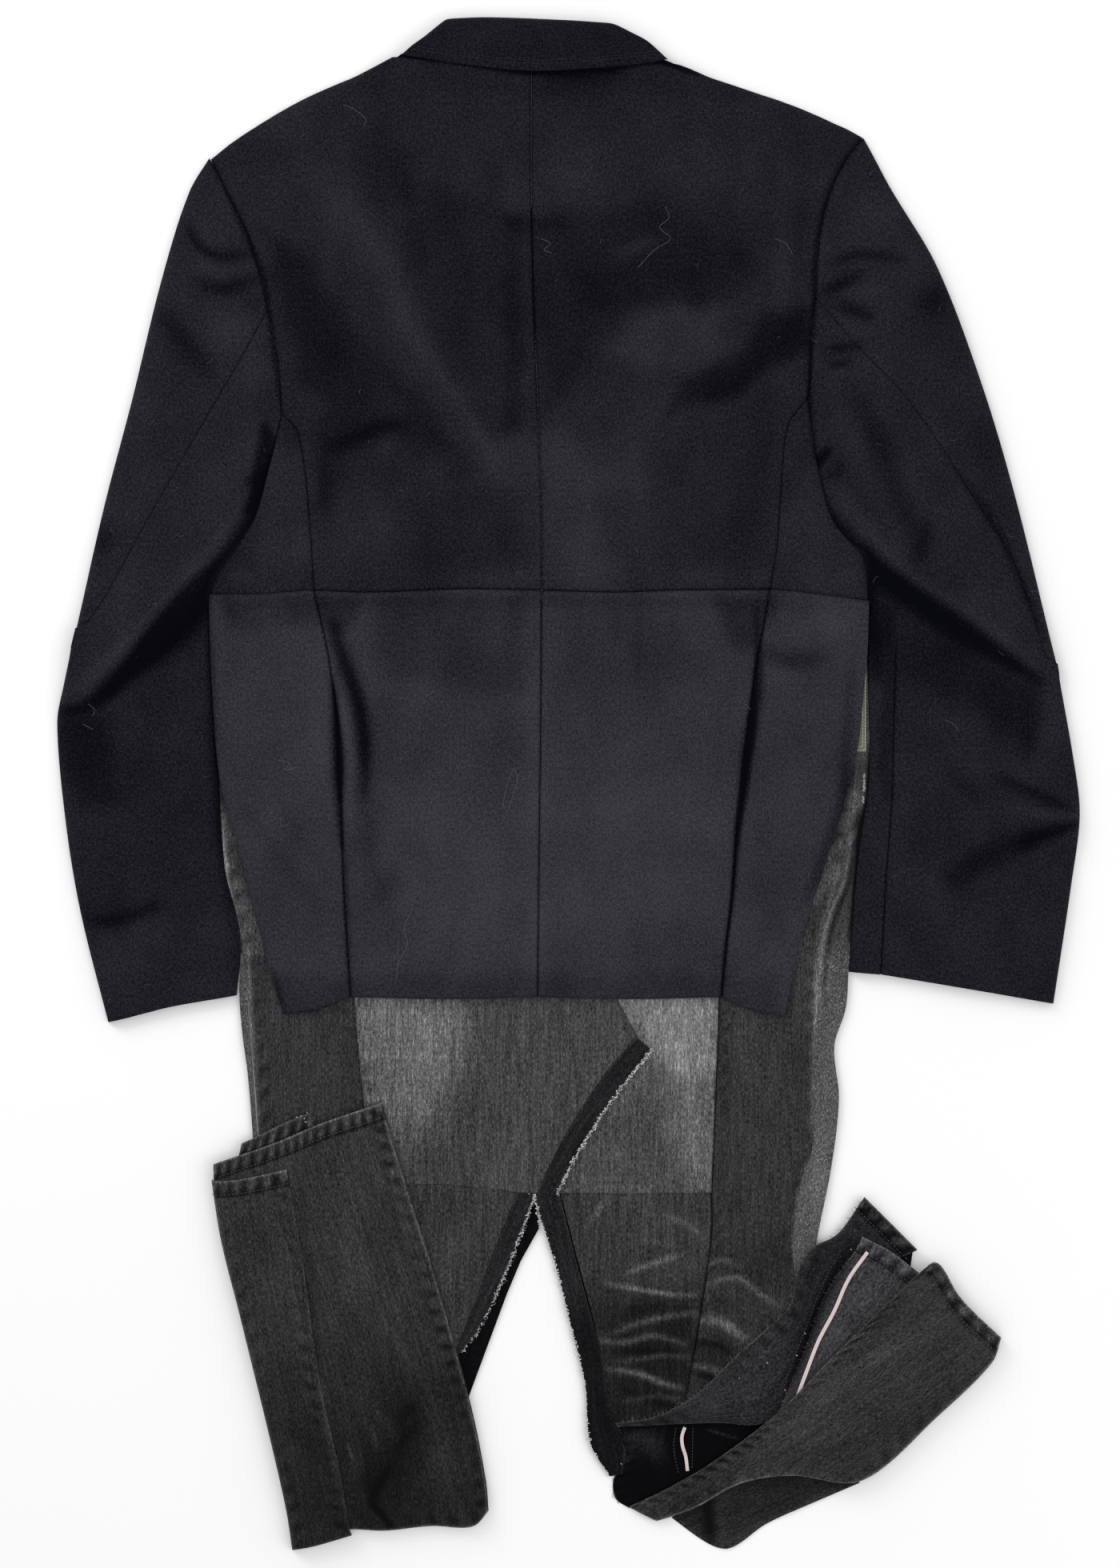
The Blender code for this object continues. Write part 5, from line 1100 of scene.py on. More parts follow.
PEPLUM_MARKS = (
    (((-264.6, 135.6), (-174.6, 136.2), (-66.6, 137.4), (53.4, 136.2), (203.4, 133.8)), 5.4, -0.1),
    (((-220.8, -141), (-216.6, -162), (-213, -174.6)), 3.4, -0.24),
    (((-213, -174), (-189.6, -170.4), (-165, -164.4)), 2.4, -0.2),
    # Painted shadow in the fold beside the left dart.
    (((-176.4, 122), (-173.4, 108), (-166.8, 88.8), (-159, 66), (-154.2, 42), (-152.6, 18), (-152.8, -8)),
        (4.6, 5.6, 6, 6, 5.8, 5.4, 4.6), -0.62),
    (((-176.4, 78), (-174.6, 45), (-173.4, 18), (-172.2, -6), (-171, -30), (-169.8, -48)),
     (2, 3, 4, 4, 2.8, 1.6), -0.5),
    (((-169, -36), (-166, -96), (-164, -156)), 2.4, -0.2),
    (((-168.6, 66), (-166.2, 42), (-162.6, 18), (-163.8, -6), (-163.8, -33)), 3.0, 0.13),
    (((-247, -12), (-217, -54), (-187, -93)), 5.4, -0.07),
    (((-226, -3), (-199, -42), (-175, -78)), 4.8, -0.05),
    (((35, 141), (35, 102)), 4.2, -0.08),
    (((53, 141), (51, 72)), 4.2, -0.06),
    (((20, 78), (22, 30)), 3.6, -0.05),
    (((77, 141), (79, 108)), 4.2, -0.05),
    # Painted shadow along the right dart.
    (((140.4, 132), (142.2, 78), (137.4, 45), (132.6, 18), (130.2, -6), (126.6, -30), (124.8, -57),
      (121.8, -90), (117.6, -120), (114.6, -159)),
        (2.4, 3.6, 4.6, 4.2, 3.6, 2.8, 2.2, 1.6, 1.8, 1.6), -0.5),
    (((142.2, 100.8), (158.4, 93.6), (173.4, 92.4), (191.4, 93.6)), 7.2, -0.25),
    (((212, 90), (205, -18)), 4.8, -0.2),
    (((-269, 137), (-267, 60), (-265, -18)), 3.6, -0.25),
    (((-26, 141), (-25, -156)), 8.4, 0.05),
    (((210.6, 12), (204.6, -15.6), (196.2, -39.6), (187.8, -63.6), (179.4, -86.4)), 5.4, -0.26),
    (((141, 100.8), (138, 57), (133.8, 18), (129.6, -18), (126.6, -45.6)), (1.4, 2.6, 2.6, 2.0, 1.2), -0.42),
    (((-151.8, -3), (-149.4, -36), (-147, -66)), 7.0, -0.12),
    (((-175.2, 72), (-172.8, 45), (-171, 18), (-171, 3), (-171, -12)), (0.8, 1.6, 2.4, 2.6, 1.0), -0.5),
)
PEPLUM_SPOTS = (
    (-251, 129, 7, 6, -0.12),
    (-139, -78, 13, 13, -0.18),
    (-196, 48, 30, 72, 0.06),
    (197, 119, 13, 13, 0.1),
    (149, -78, 18, 18, -0.08),
    (89, -102, 18, 18, -0.06),
    (-136, 54, 12, 36, -0.06),
)
LEFT_SLEEVE_AREAS = (
    # Painted shadow in the armhole, under the sleeve.
    (((-226.2, 268.8), (-222, 261), (-220.8, 243), (-223.8, 228), (-228.6, 213), (-233.4, 204),
      (-239.4, 204), (-238.8, 218.4), (-242.4, 226.2), (-235.8, 236.4), (-234, 252), (-230.4, 263.4)), 3.0,
      -0.4),
    (((-391, 48), (-361, 60), (-331, 84), (-265, 126), (-262, -12), (-244, -102), (-250, -159),
        (-361, -180)), 6.0, -0.08),
    (((-382, 54), (-343, 51), (-337, -12), (-367, -18)), 7.2, -0.14),
    (((-358, -113), (-250, -96), (-250, -159), (-346, -174)), 8.4, 0.09),
)
LEFT_SLEEVE_MARKS = (
    (((-285, 418), (-277, 403), (-262, 395), (-236, 397)), 3.6, -0.34),
    (((-280, 389), (-259, 382), (-239, 384)), 4.2, 0.08),
    (((-277, 374), (-256, 370), (-232, 378)), 4.2, -0.28),
    (((-247, 361), (-226, 358)), 4.8, -0.1),
    (((-307, 354), (-286, 330), (-268, 304)), 9.0, -0.21),
    # Painted shadow where the upper arm folds over the forearm, then the painted highlight on the fold's
    # crest.
    (((-227, 237), (-235, 198), (-253, 167), (-277, 135), (-304, 108), (-331, 84), (-358, 60),
        (-380, 54)), (4.8, 6.6, 8.4, 12.6, 13.2, 9.0, 6.0, 3.6), -0.62),
    (((-244, 209), (-269, 170), (-307, 129), (-346, 89), (-371, 68)), 6.6, 0.16),
    (((-359, -103), (-337, -102), (-304, -89)), 5.4, -0.26),
    (((-268, 114), (-265, 48), (-263, -12), (-255, -72), (-251, -114)), 4.2, -0.2),
    (((-265.8, 163.2), (-285, 146.4), (-310.8, 112.8), (-330.6, 82.8), (-346.2, 60)), (3, 4.2, 4.2, 3, 2.4),
     -0.24),
    LEFT_ARMHOLE_SHADOW,
)
LEFT_SLEEVE_SPOTS = (
    (-228, 240, 2.6, 4.5, 0.14),
    (-238, 224, 2.4, 4, 0.1),
    (-259, 341, 27, 18, 0.12),
    (-235, 306, 15, 11, 0.09),
    (-353, 183, 15, 11, -0.2),
    (-277, 222, 30, 30, 0.04),
    (-376, -57, 18, 24, 0.08),
    (-247, 432, 18, 24, 0.02),
)
RIGHT_SLEEVE_AREAS = (
    (((257, 330), (287, 348), (323, 252), (344, 168), (311, 204), (275, 276)), 8.4, -0.07),
    (((224, 120), (347, 72), (389, -24), (371, -171), (203, -141), (227, -12)), 7.2, -0.03),
    (((230, 132), (281, 114), (347, 72), (347, 24), (293, 60), (239, 78)), 9.0, -0.15),
    (((232, 132), (244, 132), (243, -12), (233, -12)), 2.4, -0.12),
)
RIGHT_SLEEVE_MARKS = (
    (((193, 389), (218, 396), (254, 392)), 3.6, -0.24),
    (((191, 368), (205, 375), (221, 382)), 4.2, -0.27),
    (((201, 359), (230, 348)), 4.8, -0.27),
    (((203, 366), (236, 371)), 4.2, 0.07),
    (((209, 301), (229, 261), (241, 228), (256, 192), (265, 162)), 9.6, -0.17),
    (((269, 198), (260, 165)), 6.0, -0.2),
    # The painted highlight on the crest where the upper arm folds over the forearm, then the painted shadow
    # under it.
    (((199, 223), (224, 189), (254, 155), (296, 129), (347, 89)), 6.0, 0.13),
    (((182, 229), (197, 195), (217, 171), (241, 151), (269, 131), (305, 107), (337, 87), (353, 76)),
        (3.6, 5.4, 8.4, 9.6, 9.6, 9.6, 6.6, 4.2), -0.62),
    (((223, 174), (226, 132), (229, 78)), 5.4, -0.42),
    (((290, 234), (320, 192), (341, 144), (355, 111)), 3.6, -0.2),
    (((346, 72), (344, 18)), 7.2, -0.12),
    (((321, 4), (347, -6), (377, -20)), 4.2, -0.22),
    (((283, 12), (308, -13)), 6.6, -0.12),
    (((326, -16), (353, -22), (383, -23)), 3.0, 0.14),
    (((191.4, 324), (204.6, 326.4), (220.2, 327.6)), 4.2, -0.26),
    (((193.2, 314.4), (203.4, 314.4), (213, 318)), 3.6, -0.22),
    (((183, 235.2), (189, 243.6), (195.6, 251.4)), 3.4, -0.5),
    (((187.8, 228), (197.4, 231.6), (205.8, 240)), 4.2, -0.16),
    (((383.4, -29.4), (360.6, -36), (336.6, -45)), (2.4, 5, 7.5), -0.4),
    (((353.4, -37.2), (324.6, -49.2), (302.4, -60), (283.2, -75.6)), (6, 11, 11, 8), -0.25),
    RIGHT_ARMHOLE_SHADOW,
)
RIGHT_SLEEVE_SPOTS = (
    (272, 359, 12, 12, -0.2),
    (233, 420, 27, 24, 0.06),
    (239, 318, 13, 30, 0.04),
)


CARVE_DEPTH = 3.0


def carved(marks):
    """The same marks as creases: what is dark lies low."""
    return tuple((stations, width, CARVE_DEPTH * amount) for stations, width, amount in marks)


# %% wear on the denim, with painted shade and light in a few places
WHISKERS = (
    (((41.4, -367.8), (56.4, -361.2), (76.2, -355.2), (87, -351.6)), 2.2, 0.21),
    (((26.4, -373.8), (52.2, -378.6), (74.4, -382.2), (97.8, -383.4)), 2.0, 0.28),
    (((28.2, -412.8), (48.6, -405.6), (67.2, -400.2), (97.2, -396)), 2.3, 0.25),
    (((11.4, -415.2), (41.4, -418.2), (63.6, -413.4), (88.2, -420)), 2.5, 0.25),
    (((34.2, -433.2), (60, -429.6), (70.8, -427.8), (91.8, -429.6)), 2.2, 0.19),
    (((29.4, -438.6), (52.2, -441.6), (67.2, -447.6), (87, -453.6)), 2.6, 0.33),
    (((37.8, -463.2), (63.6, -459), (87, -461.4)), 2.2, 0.16),
    (((13.2, -333), (22.2, -319.2), (28.8, -309.6)), 2.2, 0.19),
    (((72.6, -322.8), (88.2, -330), (101.4, -339.6)), 2.0, 0.12),
    (((53.4, -342), (83.4, -345.6)), 1.8, 0.09),
    (((103.2, -361.2), (115.2, -357), (129.6, -361.8)), 2.2, 0.16),
    (((103.2, -376.8), (115.2, -370.8), (129, -370.8), (141, -380.4), (158.4, -391.2)), 2.3, 0.22),
    (((97.2, -402), (111.6, -402), (122.4, -408.6), (133.8, -417)), 3.9, 0.3),
    (((91.8, -435), (108, -438.6), (117, -444)), 2.6, 0.19),
    (((107.4, -387), (122.4, -388.8)), 3.0, -0.07),
    (((94.2, -417.6), (113.4, -421.2), (122.4, -429)), 2.6, -0.13),
    (((93, -441), (108, -445), (118, -452)), 2.6, -0.13),
    (((38.4, -396), (77.4, -390)), 4.2, -0.06),
    (((38.4, -453), (83.4, -468)), 3.0, -0.06),
    (((41.4, -424.8), (83.4, -426)), 2.4, -0.09),
)
WHISKER_RIDGES = tuple((stations, width * 1.5, CARVE_DEPTH * amount) for stations, width, amount in WHISKERS)
SEAT_LEFT_AREAS = (
    (((-169, -150), (-71, -150), (-83, -210), (-98, -252), (-124, -270), (-163, -252)), 15.6, 0.15),
)
SEAT_LEFT_SPOTS = (
    (-104, -186, 25, 29, 0.1),
    (-145, -183, 13, 36, 0.05),
    (-115, -282, 54, 24, -0.02),
    (-13, -252, 36, 36, -0.01),
    (-124, -234, 24, 24, 0.03),
)
SEAT_RIGHT_AREAS = (
    (((23, -150), (116, -150), (116, -210), (83, -219), (62, -203)), 7.8, 0.24),
    (((73, -203), (116, -203), (116, -306), (91, -297), (76, -252)), 12.0, 0.12),
    (((-13, -252), (65, -240), (79, -306), (-13, -309)), 8.4, -0.03),
)
SEAT_RIGHT_SPOTS = (
    (83, -177, 24, 18, 0.08),
    (47, -216, 18, 18, 0.04),
)
SIDE_AREAS = (
    (((93, -411), (128, -421), (113, -459), (91, -459)), 6.0, -0.05),
    (((103.8, -348), (164.4, -348), (158.4, -396), (101.4, -444)), 14, -0.05),
    # Painted shadow beside the right sleeve.
    (((209.4, 22.8), (228.6, 22.8), (226.2, -54), (195, -66)), 5, -0.06),
    (((-263.4, -24), (-256.2, -24), (-249, -60), (-235.8, -96), (-225, -129.6), (-246.6, -129.6),
      (-244.8, -117), (-252, -96), (-256.8, -66)), 3.0, 0.12),
    # Painted light on the wrinkle between the peplum and the right sleeve, where the peplum shades it.
    (((209.4, -3), (222.6, -3), (218.4, -26.4), (211.2, -40.8), (205.8, -66), (192.6, -79.2),
      (186.6, -91.2), (180.6, -91.2), (191.4, -63), (199.8, -39.6), (205.8, -18)), 2.4, 0.15),
)
SIDE_SPOTS = (
    (191, -177, 11, 27, 0.1),
    (128, -186, 12, 30, 0.05),
    (149, -252, 18, 48, 0.03),
    (-244, -192, 6, 54, 0.05),
    (-235, -42, 8, 36, 0.1),
    (131, -384, 24, 18, 0.04),
    (224, -36, 8, 30, 0.12),
    (173, -120, 12, 36, 0.1),
)
THIGH_AREAS = (
    (((11, -387), (107, -387), (101, -492), (17, -492)), 21.6, -0.17),
)
THIGH_SPOTS = (
    (-91, -372, 8, 36, 0.03),
    (53, -324, 36, 18, 0.03),
)
LEG_LEFT_AREAS = (
    (((-229, -456), (-43, -432), (-43, -600), (-223, -600)), 57.0, -0.11),
)
LEG_LEFT_MARKS = (
    (((-187, -432), (-178, -492), (-167, -546)), 3.0, 0.05),
    (((-146, -459), (-137, -477), (-127, -492)), 3.0, 0.07),
    (((-103, -456), (-98, -486)), 3.6, 0.05),
    (((-154, -486), (-145, -540)), 4.8, -0.06),
    (((-199, -300), (-190, -396), (-185, -444)), 4.2, -0.04),
    (((-215, -300), (-203, -396), (-191, -468)), 3.6, 0.03),
    (((-247, -372), (-229, -468)), 8.4, 0.03),
    (((-169, -312), (-145, -432)), 7.2, 0.03),
    (((-189.6, -426), (-179.4, -492)), 1.8, 0.05),
    # This row, the next three and the row at (-112, -480) are painted shade in the crumple above the leg's
    # fold.
    (((-108.6, -459.6), (-124.8, -492.6), (-134.4, -517.2)), 9, -0.045),
    (((-134.4, -511), (-141, -522), (-144.6, -528)), (1.6, 2.6, 3.0), -0.15),
    (((-144.6, -528), (-147, -537.6), (-139.2, -547.2), (-132, -556.8)), (2.8, 2.2, 2.0, 1.6), -0.2),
    (((-114.6, -463.2), (-127.8, -475.2)), 3, -0.06),
    (((-154.8, -492), (-159, -522)), 7, 0.04),
    (((-119.4, -540), (-102.6, -510), (-89.4, -486)), 6, 0.03),
    (((-112, -480), (-123, -490.2), (-131, -503)), 3.6, -0.06),
    (((-130.8, -285), (-133.2, -300)), 1.2, 0.1),
    (((-110.4, -457.2), (-102.6, -477.6)), 1.2, 0.12),
    (((-150, -475.2), (-142.2, -496.8)), 1.2, 0.1),
    (((-228, -324), (-226.8, -333)), 1, 0.12),
    (((-165, -492), (-162.6, -505.2)), 1, 0.12),
)
LEG_LEFT_SPOTS = (
    # The first two spots are painted shade in the same crumple.
    (-137, -519, 20, 33, -0.05),
    (-124, -465, 22, 20, -0.05),
    (-91, -510, 18, 30, 0.03),
    (-157, -300, 30, 30, 0.03),
)
OUTSIDE_AREAS = (
    (((47, -522), (113, -492), (131, -522), (83, -552)), 12.0, -0.03),
)
OUTSIDE_MARKS = (
    (((251, -366), (197, -408), (137, -468), (83, -510)), 4.8, 0.06),
    (((281, -396), (203, -450), (149, -492)), 8.4, 0.03),
    (((293, -444), (245, -486), (203, -510)), 9.6, -0.03),
    (((116, -525), (149, -518), (197, -518)), 4.2, 0.06),
)
OUTSIDE_SPOTS = (
    (227, -426, 24, 18, 0.03),
)
INSIDE_AREAS = (
    (((83, -432), (146, -405), (164, -432), (134, -477), (80, -477)), 8.4, 0.05),
)
INSIDE_MARKS = (
    (((211, -348), (191, -384), (176, -423), (164, -456)), 4.8, -0.2),
    (((185, -336), (164, -396), (143, -432)), 4.2, 0.05),
    (((194, -330), (179, -372)), 3.6, -0.05),
)
UNDER_MARKS = ((((103.8, -531.6), (105, -552), (106.2, -572.4)), 4.5, -0.16),
               (((113.4, -534), (115.8, -570)), 5, 0.05))
# Painted highlights and painted shade on the stitched ridge and the small wrinkles of the right turn.
TURN_RIDGE_SHADING = (
    (((211.8, -38.4), (206.4, -72), (193.8, -102.6), (187.8, -139.2), (187.8, -169.2)), 1.2, 0.17),
    (((214.8, -40.8), (210, -73.2), (198, -105.6), (192, -141.6), (192, -169.2)), 1.6, -0.16),
    (((217.8, -18), (213, -36)), 2.6, -0.18),
    (((220.8, -43.2), (215.4, -78), (204.6, -120)), 1.5, 0.06),
    (((210.6, -12), (214.2, -22.8), (213, -33.6)), 1.4, 0.1),
    (((215.4, 9), (213, -3), (216.6, -14.4)), 1.4, 0.08),
)
SIDE_STREAKS = (
    (((-261, -14.4), (-260.4, -30), (-258.6, -48), (-255.9, -72), (-253.5, -85.2), (-250.2, -99.6),
      (-244.8, -115.2)), 1.7, 0.4),
    (((-241, -120), (-238, -200), (-233, -262)), 2.4, 0.28),
    (((205, -60), (187, -128), (186, -170), (183, -262)), 3.0, 0.24),
    (((181, -280), (172, -320), (168, -350)), 3.0, 0.24),
)
# Painted shadow beside the right sleeve and painted light on the wrinkle by the peplum.
TURN_SHADOW_AND_LIGHT = (
    (((209.4, 22.8), (238.6, 22.8), (236, -54), (230, -122), (188, -122), (195, -66)), 8.0, -0.12),
    (((209.4, -3), (222.6, -3), (218.4, -26.4), (211.2, -40.8), (205.8, -66), (192.6, -79.2), (191.4, -63),
      (199.8, -39.6), (205.8, -18)), 2.4, 0.1),
)
# Painted shadow along the turn's right edge, beside the sleeve.
TURN_EDGE_SHADOW = ((((225.6, 30), (224.4, -6), (220.8, -24), (218.4, -32.4), (216.6, -56.4), (214.8, -75),
               (212.4, -97.8), (210.6, -118.2)), 1.9, -0.42),)
TURN_SPOTS = ((188, -300, 8, 40, 0.06), (196, -170, 8, 40, 0.03))

# %% [markdown]
# # The pieces
# The order is the order of laying: the denim back, the waist patch, the wool jacket over it, the sleeves
# beside it, and the folded legs last. Each call names a piece's four edges, its height above the
# surface, its cloth and what it lies on.

# %% denim back
FLOOR, DENIM, WOOL, COLLAR_CLOTH = 0.0, 1.3, 2.2, 3.0
DENIM_BACK, DENIM_LAP, WOOL_BACK, COLLAR_FALL = 1.8, 3.4, 4.6, 8.0
THIN_STRIP = 0.8
OVERLAP_CLIMB, OVERLAP_START, OVERLAP_FADE = 30.0, -176.0, 20.0


def overlap_lift(across, along):
    """The left seat panel climbs onto the right one near its frayed diagonal edge."""
    x0, y0, x1, y1 = -23.4, -304.0, 51.0, -189.0
    inside = ((across - x0) * (y1 - y0) - (along - y0) * (x1 - x0)) / math.hypot(x1 - x0, y1 - y0)
    near = eased(np.clip(1 + inside / OVERLAP_CLIMB, 0, 1))
    below_hem = np.clip((OVERLAP_START - along) / OVERLAP_FADE, 0, 1)
    return (DENIM_LAP - DENIM_BACK) * near * below_hem


denim_back = dict(underside=DENIM_BACK, thickness=DENIM, material=SEAT_CLOTH, sink=0.7, grain=90)
side_panel = dict(denim_back, material=DENIM_CLOTH)
shell("skirt_side_left", ["side_left"], ["seam_left_upper"], ["top_side_left"], ["bottom_side_left"],
      slot="dark_denim", tone=0.275, tone_spots=SIDE_SPOTS, tone_marks=SIDE_STREAKS, tone_areas=SIDE_AREAS,
      spacing=2.6, reach={LEFT: (2.0, 2.3, 2.6, 2.6, 2.6, 2.6, 2.8, 3.8, 4.0, 1.6, 0, 0, 0, 0, 0)},
      rope=(("left", 17.0, 0.34), ("right", 13.0, 0.16)),
      rests_on=["front_skirt_left"], **side_panel)
shell("skirt_back_left", ["seam_left_upper", "seam_left_corner"],
      ["overlap_hidden", "overlap_edge", "overlap_diagonal"], ["top_left"],
      ["crotch_left_thigh", "crotch_left_slit"], slot="faded_denim", tone=0.36, tone_spots=SEAT_LEFT_SPOTS,
      tone_areas=SEAT_LEFT_AREAS, lift=overlap_lift,
      reach={BOTTOM: (0.3, 0.3, 0.3, 0.4, 0.5, 1, 2, 2.6)}, spacing=2.6, rope=(("left", 13.0, 0.2),),
      seams=dict(left=-0.16, bottom=-0.08), rests_on=["front_skirt_left"], **denim_back)
shell("skirt_back_right", ["overlap_hidden", "overlap_edge", "overlap_diagonal"], ["seam_right_upper"],
      ["top_right"], ["crotch_right"], slot="faded_denim", tone=0.415, tone_spots=SEAT_RIGHT_SPOTS,
      tone_areas=SEAT_RIGHT_AREAS, reach={BOTTOM: (2.6, 2, 1.4, 1.0, 0.8, 0.6, 0.4, 0.3)},
      spacing=2.6, rope=(("right", 13.0, 0.2),),
      seams=dict(right=-0.16, bottom=-0.08), rests_on=["front_skirt_right"], **denim_back)
shell("skirt_side_right", ["seam_right_upper", "seam_right_lower"], ["turn_right_seam"], ["top_side_right"],
      ["-side_right_end"], slot="dark_denim", tone=0.27, tone_spots=SIDE_SPOTS, tone_areas=SIDE_AREAS,
      spacing=2.1,
      seams=dict(left=-0.16), tone_marks=SIDE_STREAKS + TURN_RIDGE_SHADING + WHISKERS, creases=WHISKER_RIDGES,
      rope=(("left", 13.0, 0.2), ("right", 19.0, 0.24)),
      rests_on=["front_skirt_right"], **side_panel)
shell("thigh_back_left", ["thigh_left_hidden"], ["thigh_left_band"], ["crotch_left_thigh"],
      ["thigh_left_bottom"], slot="dark_denim", tone=0.3, tone_spots=THIGH_SPOTS, spacing=2.4,
      rests_on=["thigh_front_left"], **denim_back)
shell("thigh_back_right", ["thigh_right_band"], ["seam_right_lower"], ["thigh_right_top"],
      ["thigh_right_bottom"], slot="dark_denim", tone=0.3, tone_spots=THIGH_SPOTS, tone_marks=WHISKERS,
      seams=dict(right=-0.16, top=-0.06),
      tone_areas=THIGH_AREAS, spacing=1.8, creases=WHISKER_RIDGES, rests_on=["thigh_front_right"],
      **denim_back)
strips = dict(underside=DENIM_BACK, thickness=DENIM, material=TURN_CLOTH, spacing=2.0, gap=1.0, sink=0.3)
shell("skirt_turn_left", ["turn_left_edge"], ["turn_left_seam"], ["turn_left_top"], ["turn_left_bottom"],
      slot="faded_denim", tone=0.42, reach={RIGHT: (0.7, 0.7)}, rope=(("right", 17.0, 0.2),),
      rests_on=["front_skirt_left"], **strips)
shell("skirt_turn_right", ["turn_right_seam"], ["turn_right_edge"], ["turn_right_top"], ["turn_right_bottom"],
      slot="faded_denim", tone=0.44, tone_spots=TURN_SPOTS, tone_areas=TURN_SHADOW_AND_LIGHT,
      tone_marks=TURN_RIDGE_SHADING + TURN_EDGE_SHADOW, reach={LEFT: (0.7, 0.7), RIGHT: (1.2, 1.2)},
      rope=(("left", 19.0, 0.15),),
      rests_on=["front_skirt_right"], **strips)
BAND_AREAS = ((((2.4, -396), (77.4, -396), (53.4, -588), (-6.6, -588)), 12.0, -0.1),)
SLIT_LEFT_EDGE = pushed(edge("slit_left_fray"), edge("slit_left_band"),
                        (0, -0.8, -1.8, -2.4, -2.6, -3.4, -5.0))
SLIT_RIGHT_EDGE = pushed(edge("slit_right_fray"), edge("slit_right_band"),
                         (5.0, 4.2, 2.0, 0.6, 0, 0, 0, 0, 0, 0, 0, 0, 0))
BAND_RIGHT = (0, 0, 0, 0, 0, 0.6, 2, 3, 5, 6, 4)
bands = dict(thickness=DENIM, material=BAND_CLOTH, slot="unfaded_denim", spacing=2.0, sink=0.2,
             edge_wear_and_highlight=0.06)
shell("slit_band_left", ["slit_left_band"], SLIT_LEFT_EDGE, ["slit_left_top"], ["slit_left_bottom"],
      underside=DENIM_BACK, tone=0.2, reach={TOP: (1.6, 1.6)}, rests_on=["thigh_front_left"], **bands)
shell("slit_band_right", SLIT_RIGHT_EDGE, ["slit_right_band"], ["slit_right_top"], ["slit_right_bottom"],
      underside=DENIM_BACK, tone=0.2, tone_areas=BAND_AREAS, reach={TOP: (1.6, 1.6), RIGHT: BAND_RIGHT},
      rests_on=["thigh_front_right"], **bands)
shell("seam_band_diagonal", ["band_diagonal"], ["fray_diagonal"], ["band_diagonal_top"],
      ["band_diagonal_bottom"], underside=DENIM_LAP, tone=0.18, reach={BOTTOM: (1.5, 1.5)},
      rests_on=["skirt_back_right"], **bands)


def box_edges(left, right, upper, lower):
    """Left, right, top and bottom edge of a rectangle."""
    corners = (((left, upper), (left, lower)), ((right, upper), (right, lower)),
               ((left, upper), (right, upper)), ((left, lower), (right, lower)))
    return [smooth_run(pair, 12) for pair in corners]


shell("waist_patch", *box_edges(168.0, 222.8, 94.0, 24.0), underside=DENIM_LAP, thickness=THIN_STRIP,
      material=HIDE,
      slot="patch_hide", waves=0.0, sink=0.2, rests_on=["skirt_side_right"])

# %% wool jacket
def wool_part(tone, folds, marks, areas_of_tone, spots_of_tone):
    """What the pieces of one part of the jacket share."""
    return dict(underside=WOOL_BACK, thickness=WOOL, material=WOOL_CLOTH, slot="black_wool", waves=1.2,
                spacing=2.6, gap=0.5, grain=90, tone=tone, folds=folds, tone_marks=marks,
                creases=carved(marks), tone_areas=areas_of_tone, tone_spots=spots_of_tone)


upper_back = wool_part(0.455, BODY_FOLDS, BODY_MARKS, BODY_AREAS, BODY_SPOTS)
peplum = wool_part(0.71, BODY_FOLDS, PEPLUM_MARKS, PEPLUM_AREAS, PEPLUM_SPOTS)
SHOULDER_ROLL, SIDE_ROLL, SLEEVE_ROLL, LEG_ROLL, COLLAR_ROLL, HEM_ROLL = 7.0, 6.0, 9.0, 7.0, 7.0, 3.0
LEFT_HEM_LAYER, LEFT_MAIN_LAYER, LEFT_LAP_LAYER = 3.6, 7.1, 8.9
shoulder_left = ((0, SHOULDER_ROLL, 0), (0.5, SHOULDER_ROLL, 0), (0.62, 0, 0), (1, 0, 0))
shoulder_right = ((0, 0, 0), (0.38, 0, 0), (0.5, SHOULDER_ROLL, 0), (1, SHOULDER_ROLL, 0))
side_roll = even_roll(SIDE_ROLL, FLOOR)
hem_roll = even_roll(HEM_ROLL, LEFT_HEM_LAYER)
shell("back_left", ["armhole_left_cap", "armhole_left_mid", "armhole_left_low", "princess_left_upper"],
      ["centre_upper"], ["shoulder_left", "neck_left"], ["waist_left"], rolls={"top": shoulder_left},
      reach={TOP: (2.4, 0.4, 0, 0, 0, 0.5, 3.0, 4.5, 4.5, 4, 4)},
      seams=dict(left=-0.12, right=-0.2, bottom=-0.18), rests_on=["front_bodice_left"], **upper_back)
shell("back_right", ["centre_upper"],
      ["armhole_right_cap", "armhole_right_mid", "armhole_right_low", "princess_right_upper"],
      ["neck_right", "shoulder_right"], ["waist_right"], rolls={"top": shoulder_right},
      reach={TOP: (4, 4, 4, 4, 3.6, 2.4, 0.8, 0, 0, 0.4, 2.6)},
      seams=dict(left=-0.2, right=-0.12, bottom=-0.18), rests_on=["front_bodice_right"], **upper_back)
shell("side_back_left", ["side_left_upper"], ["princess_left_upper"], ["-armhole_left_end"],
      ["waist_left_side"], rolls={"left": side_roll}, reach={LEFT: (0.6, 1.8, 2.0)},
      seams=dict(right=-0.08, bottom=-0.18, top=-0.1), rests_on=["front_bodice_left"], **upper_back)
shell("side_back_right", ["princess_right_upper"], ["side_right_upper"], ["armhole_right_end"],
      ["waist_right_side"], rolls={"right": side_roll}, reach={RIGHT: (0, 1.4, 2.6)},
      seams=dict(left=-0.08, bottom=-0.18, top=-0.1), rests_on=["front_bodice_right"], **upper_back)
shell("peplum_back_left", ["princess_left_lower"], ["centre_lower"], ["waist_left"], ["hem_left"],
      rolls={"bottom": hem_roll}, seams=dict(left=-0.3, right=-0.24, top=-0.2), rests_on=["skirt_back_left"],
      **peplum)
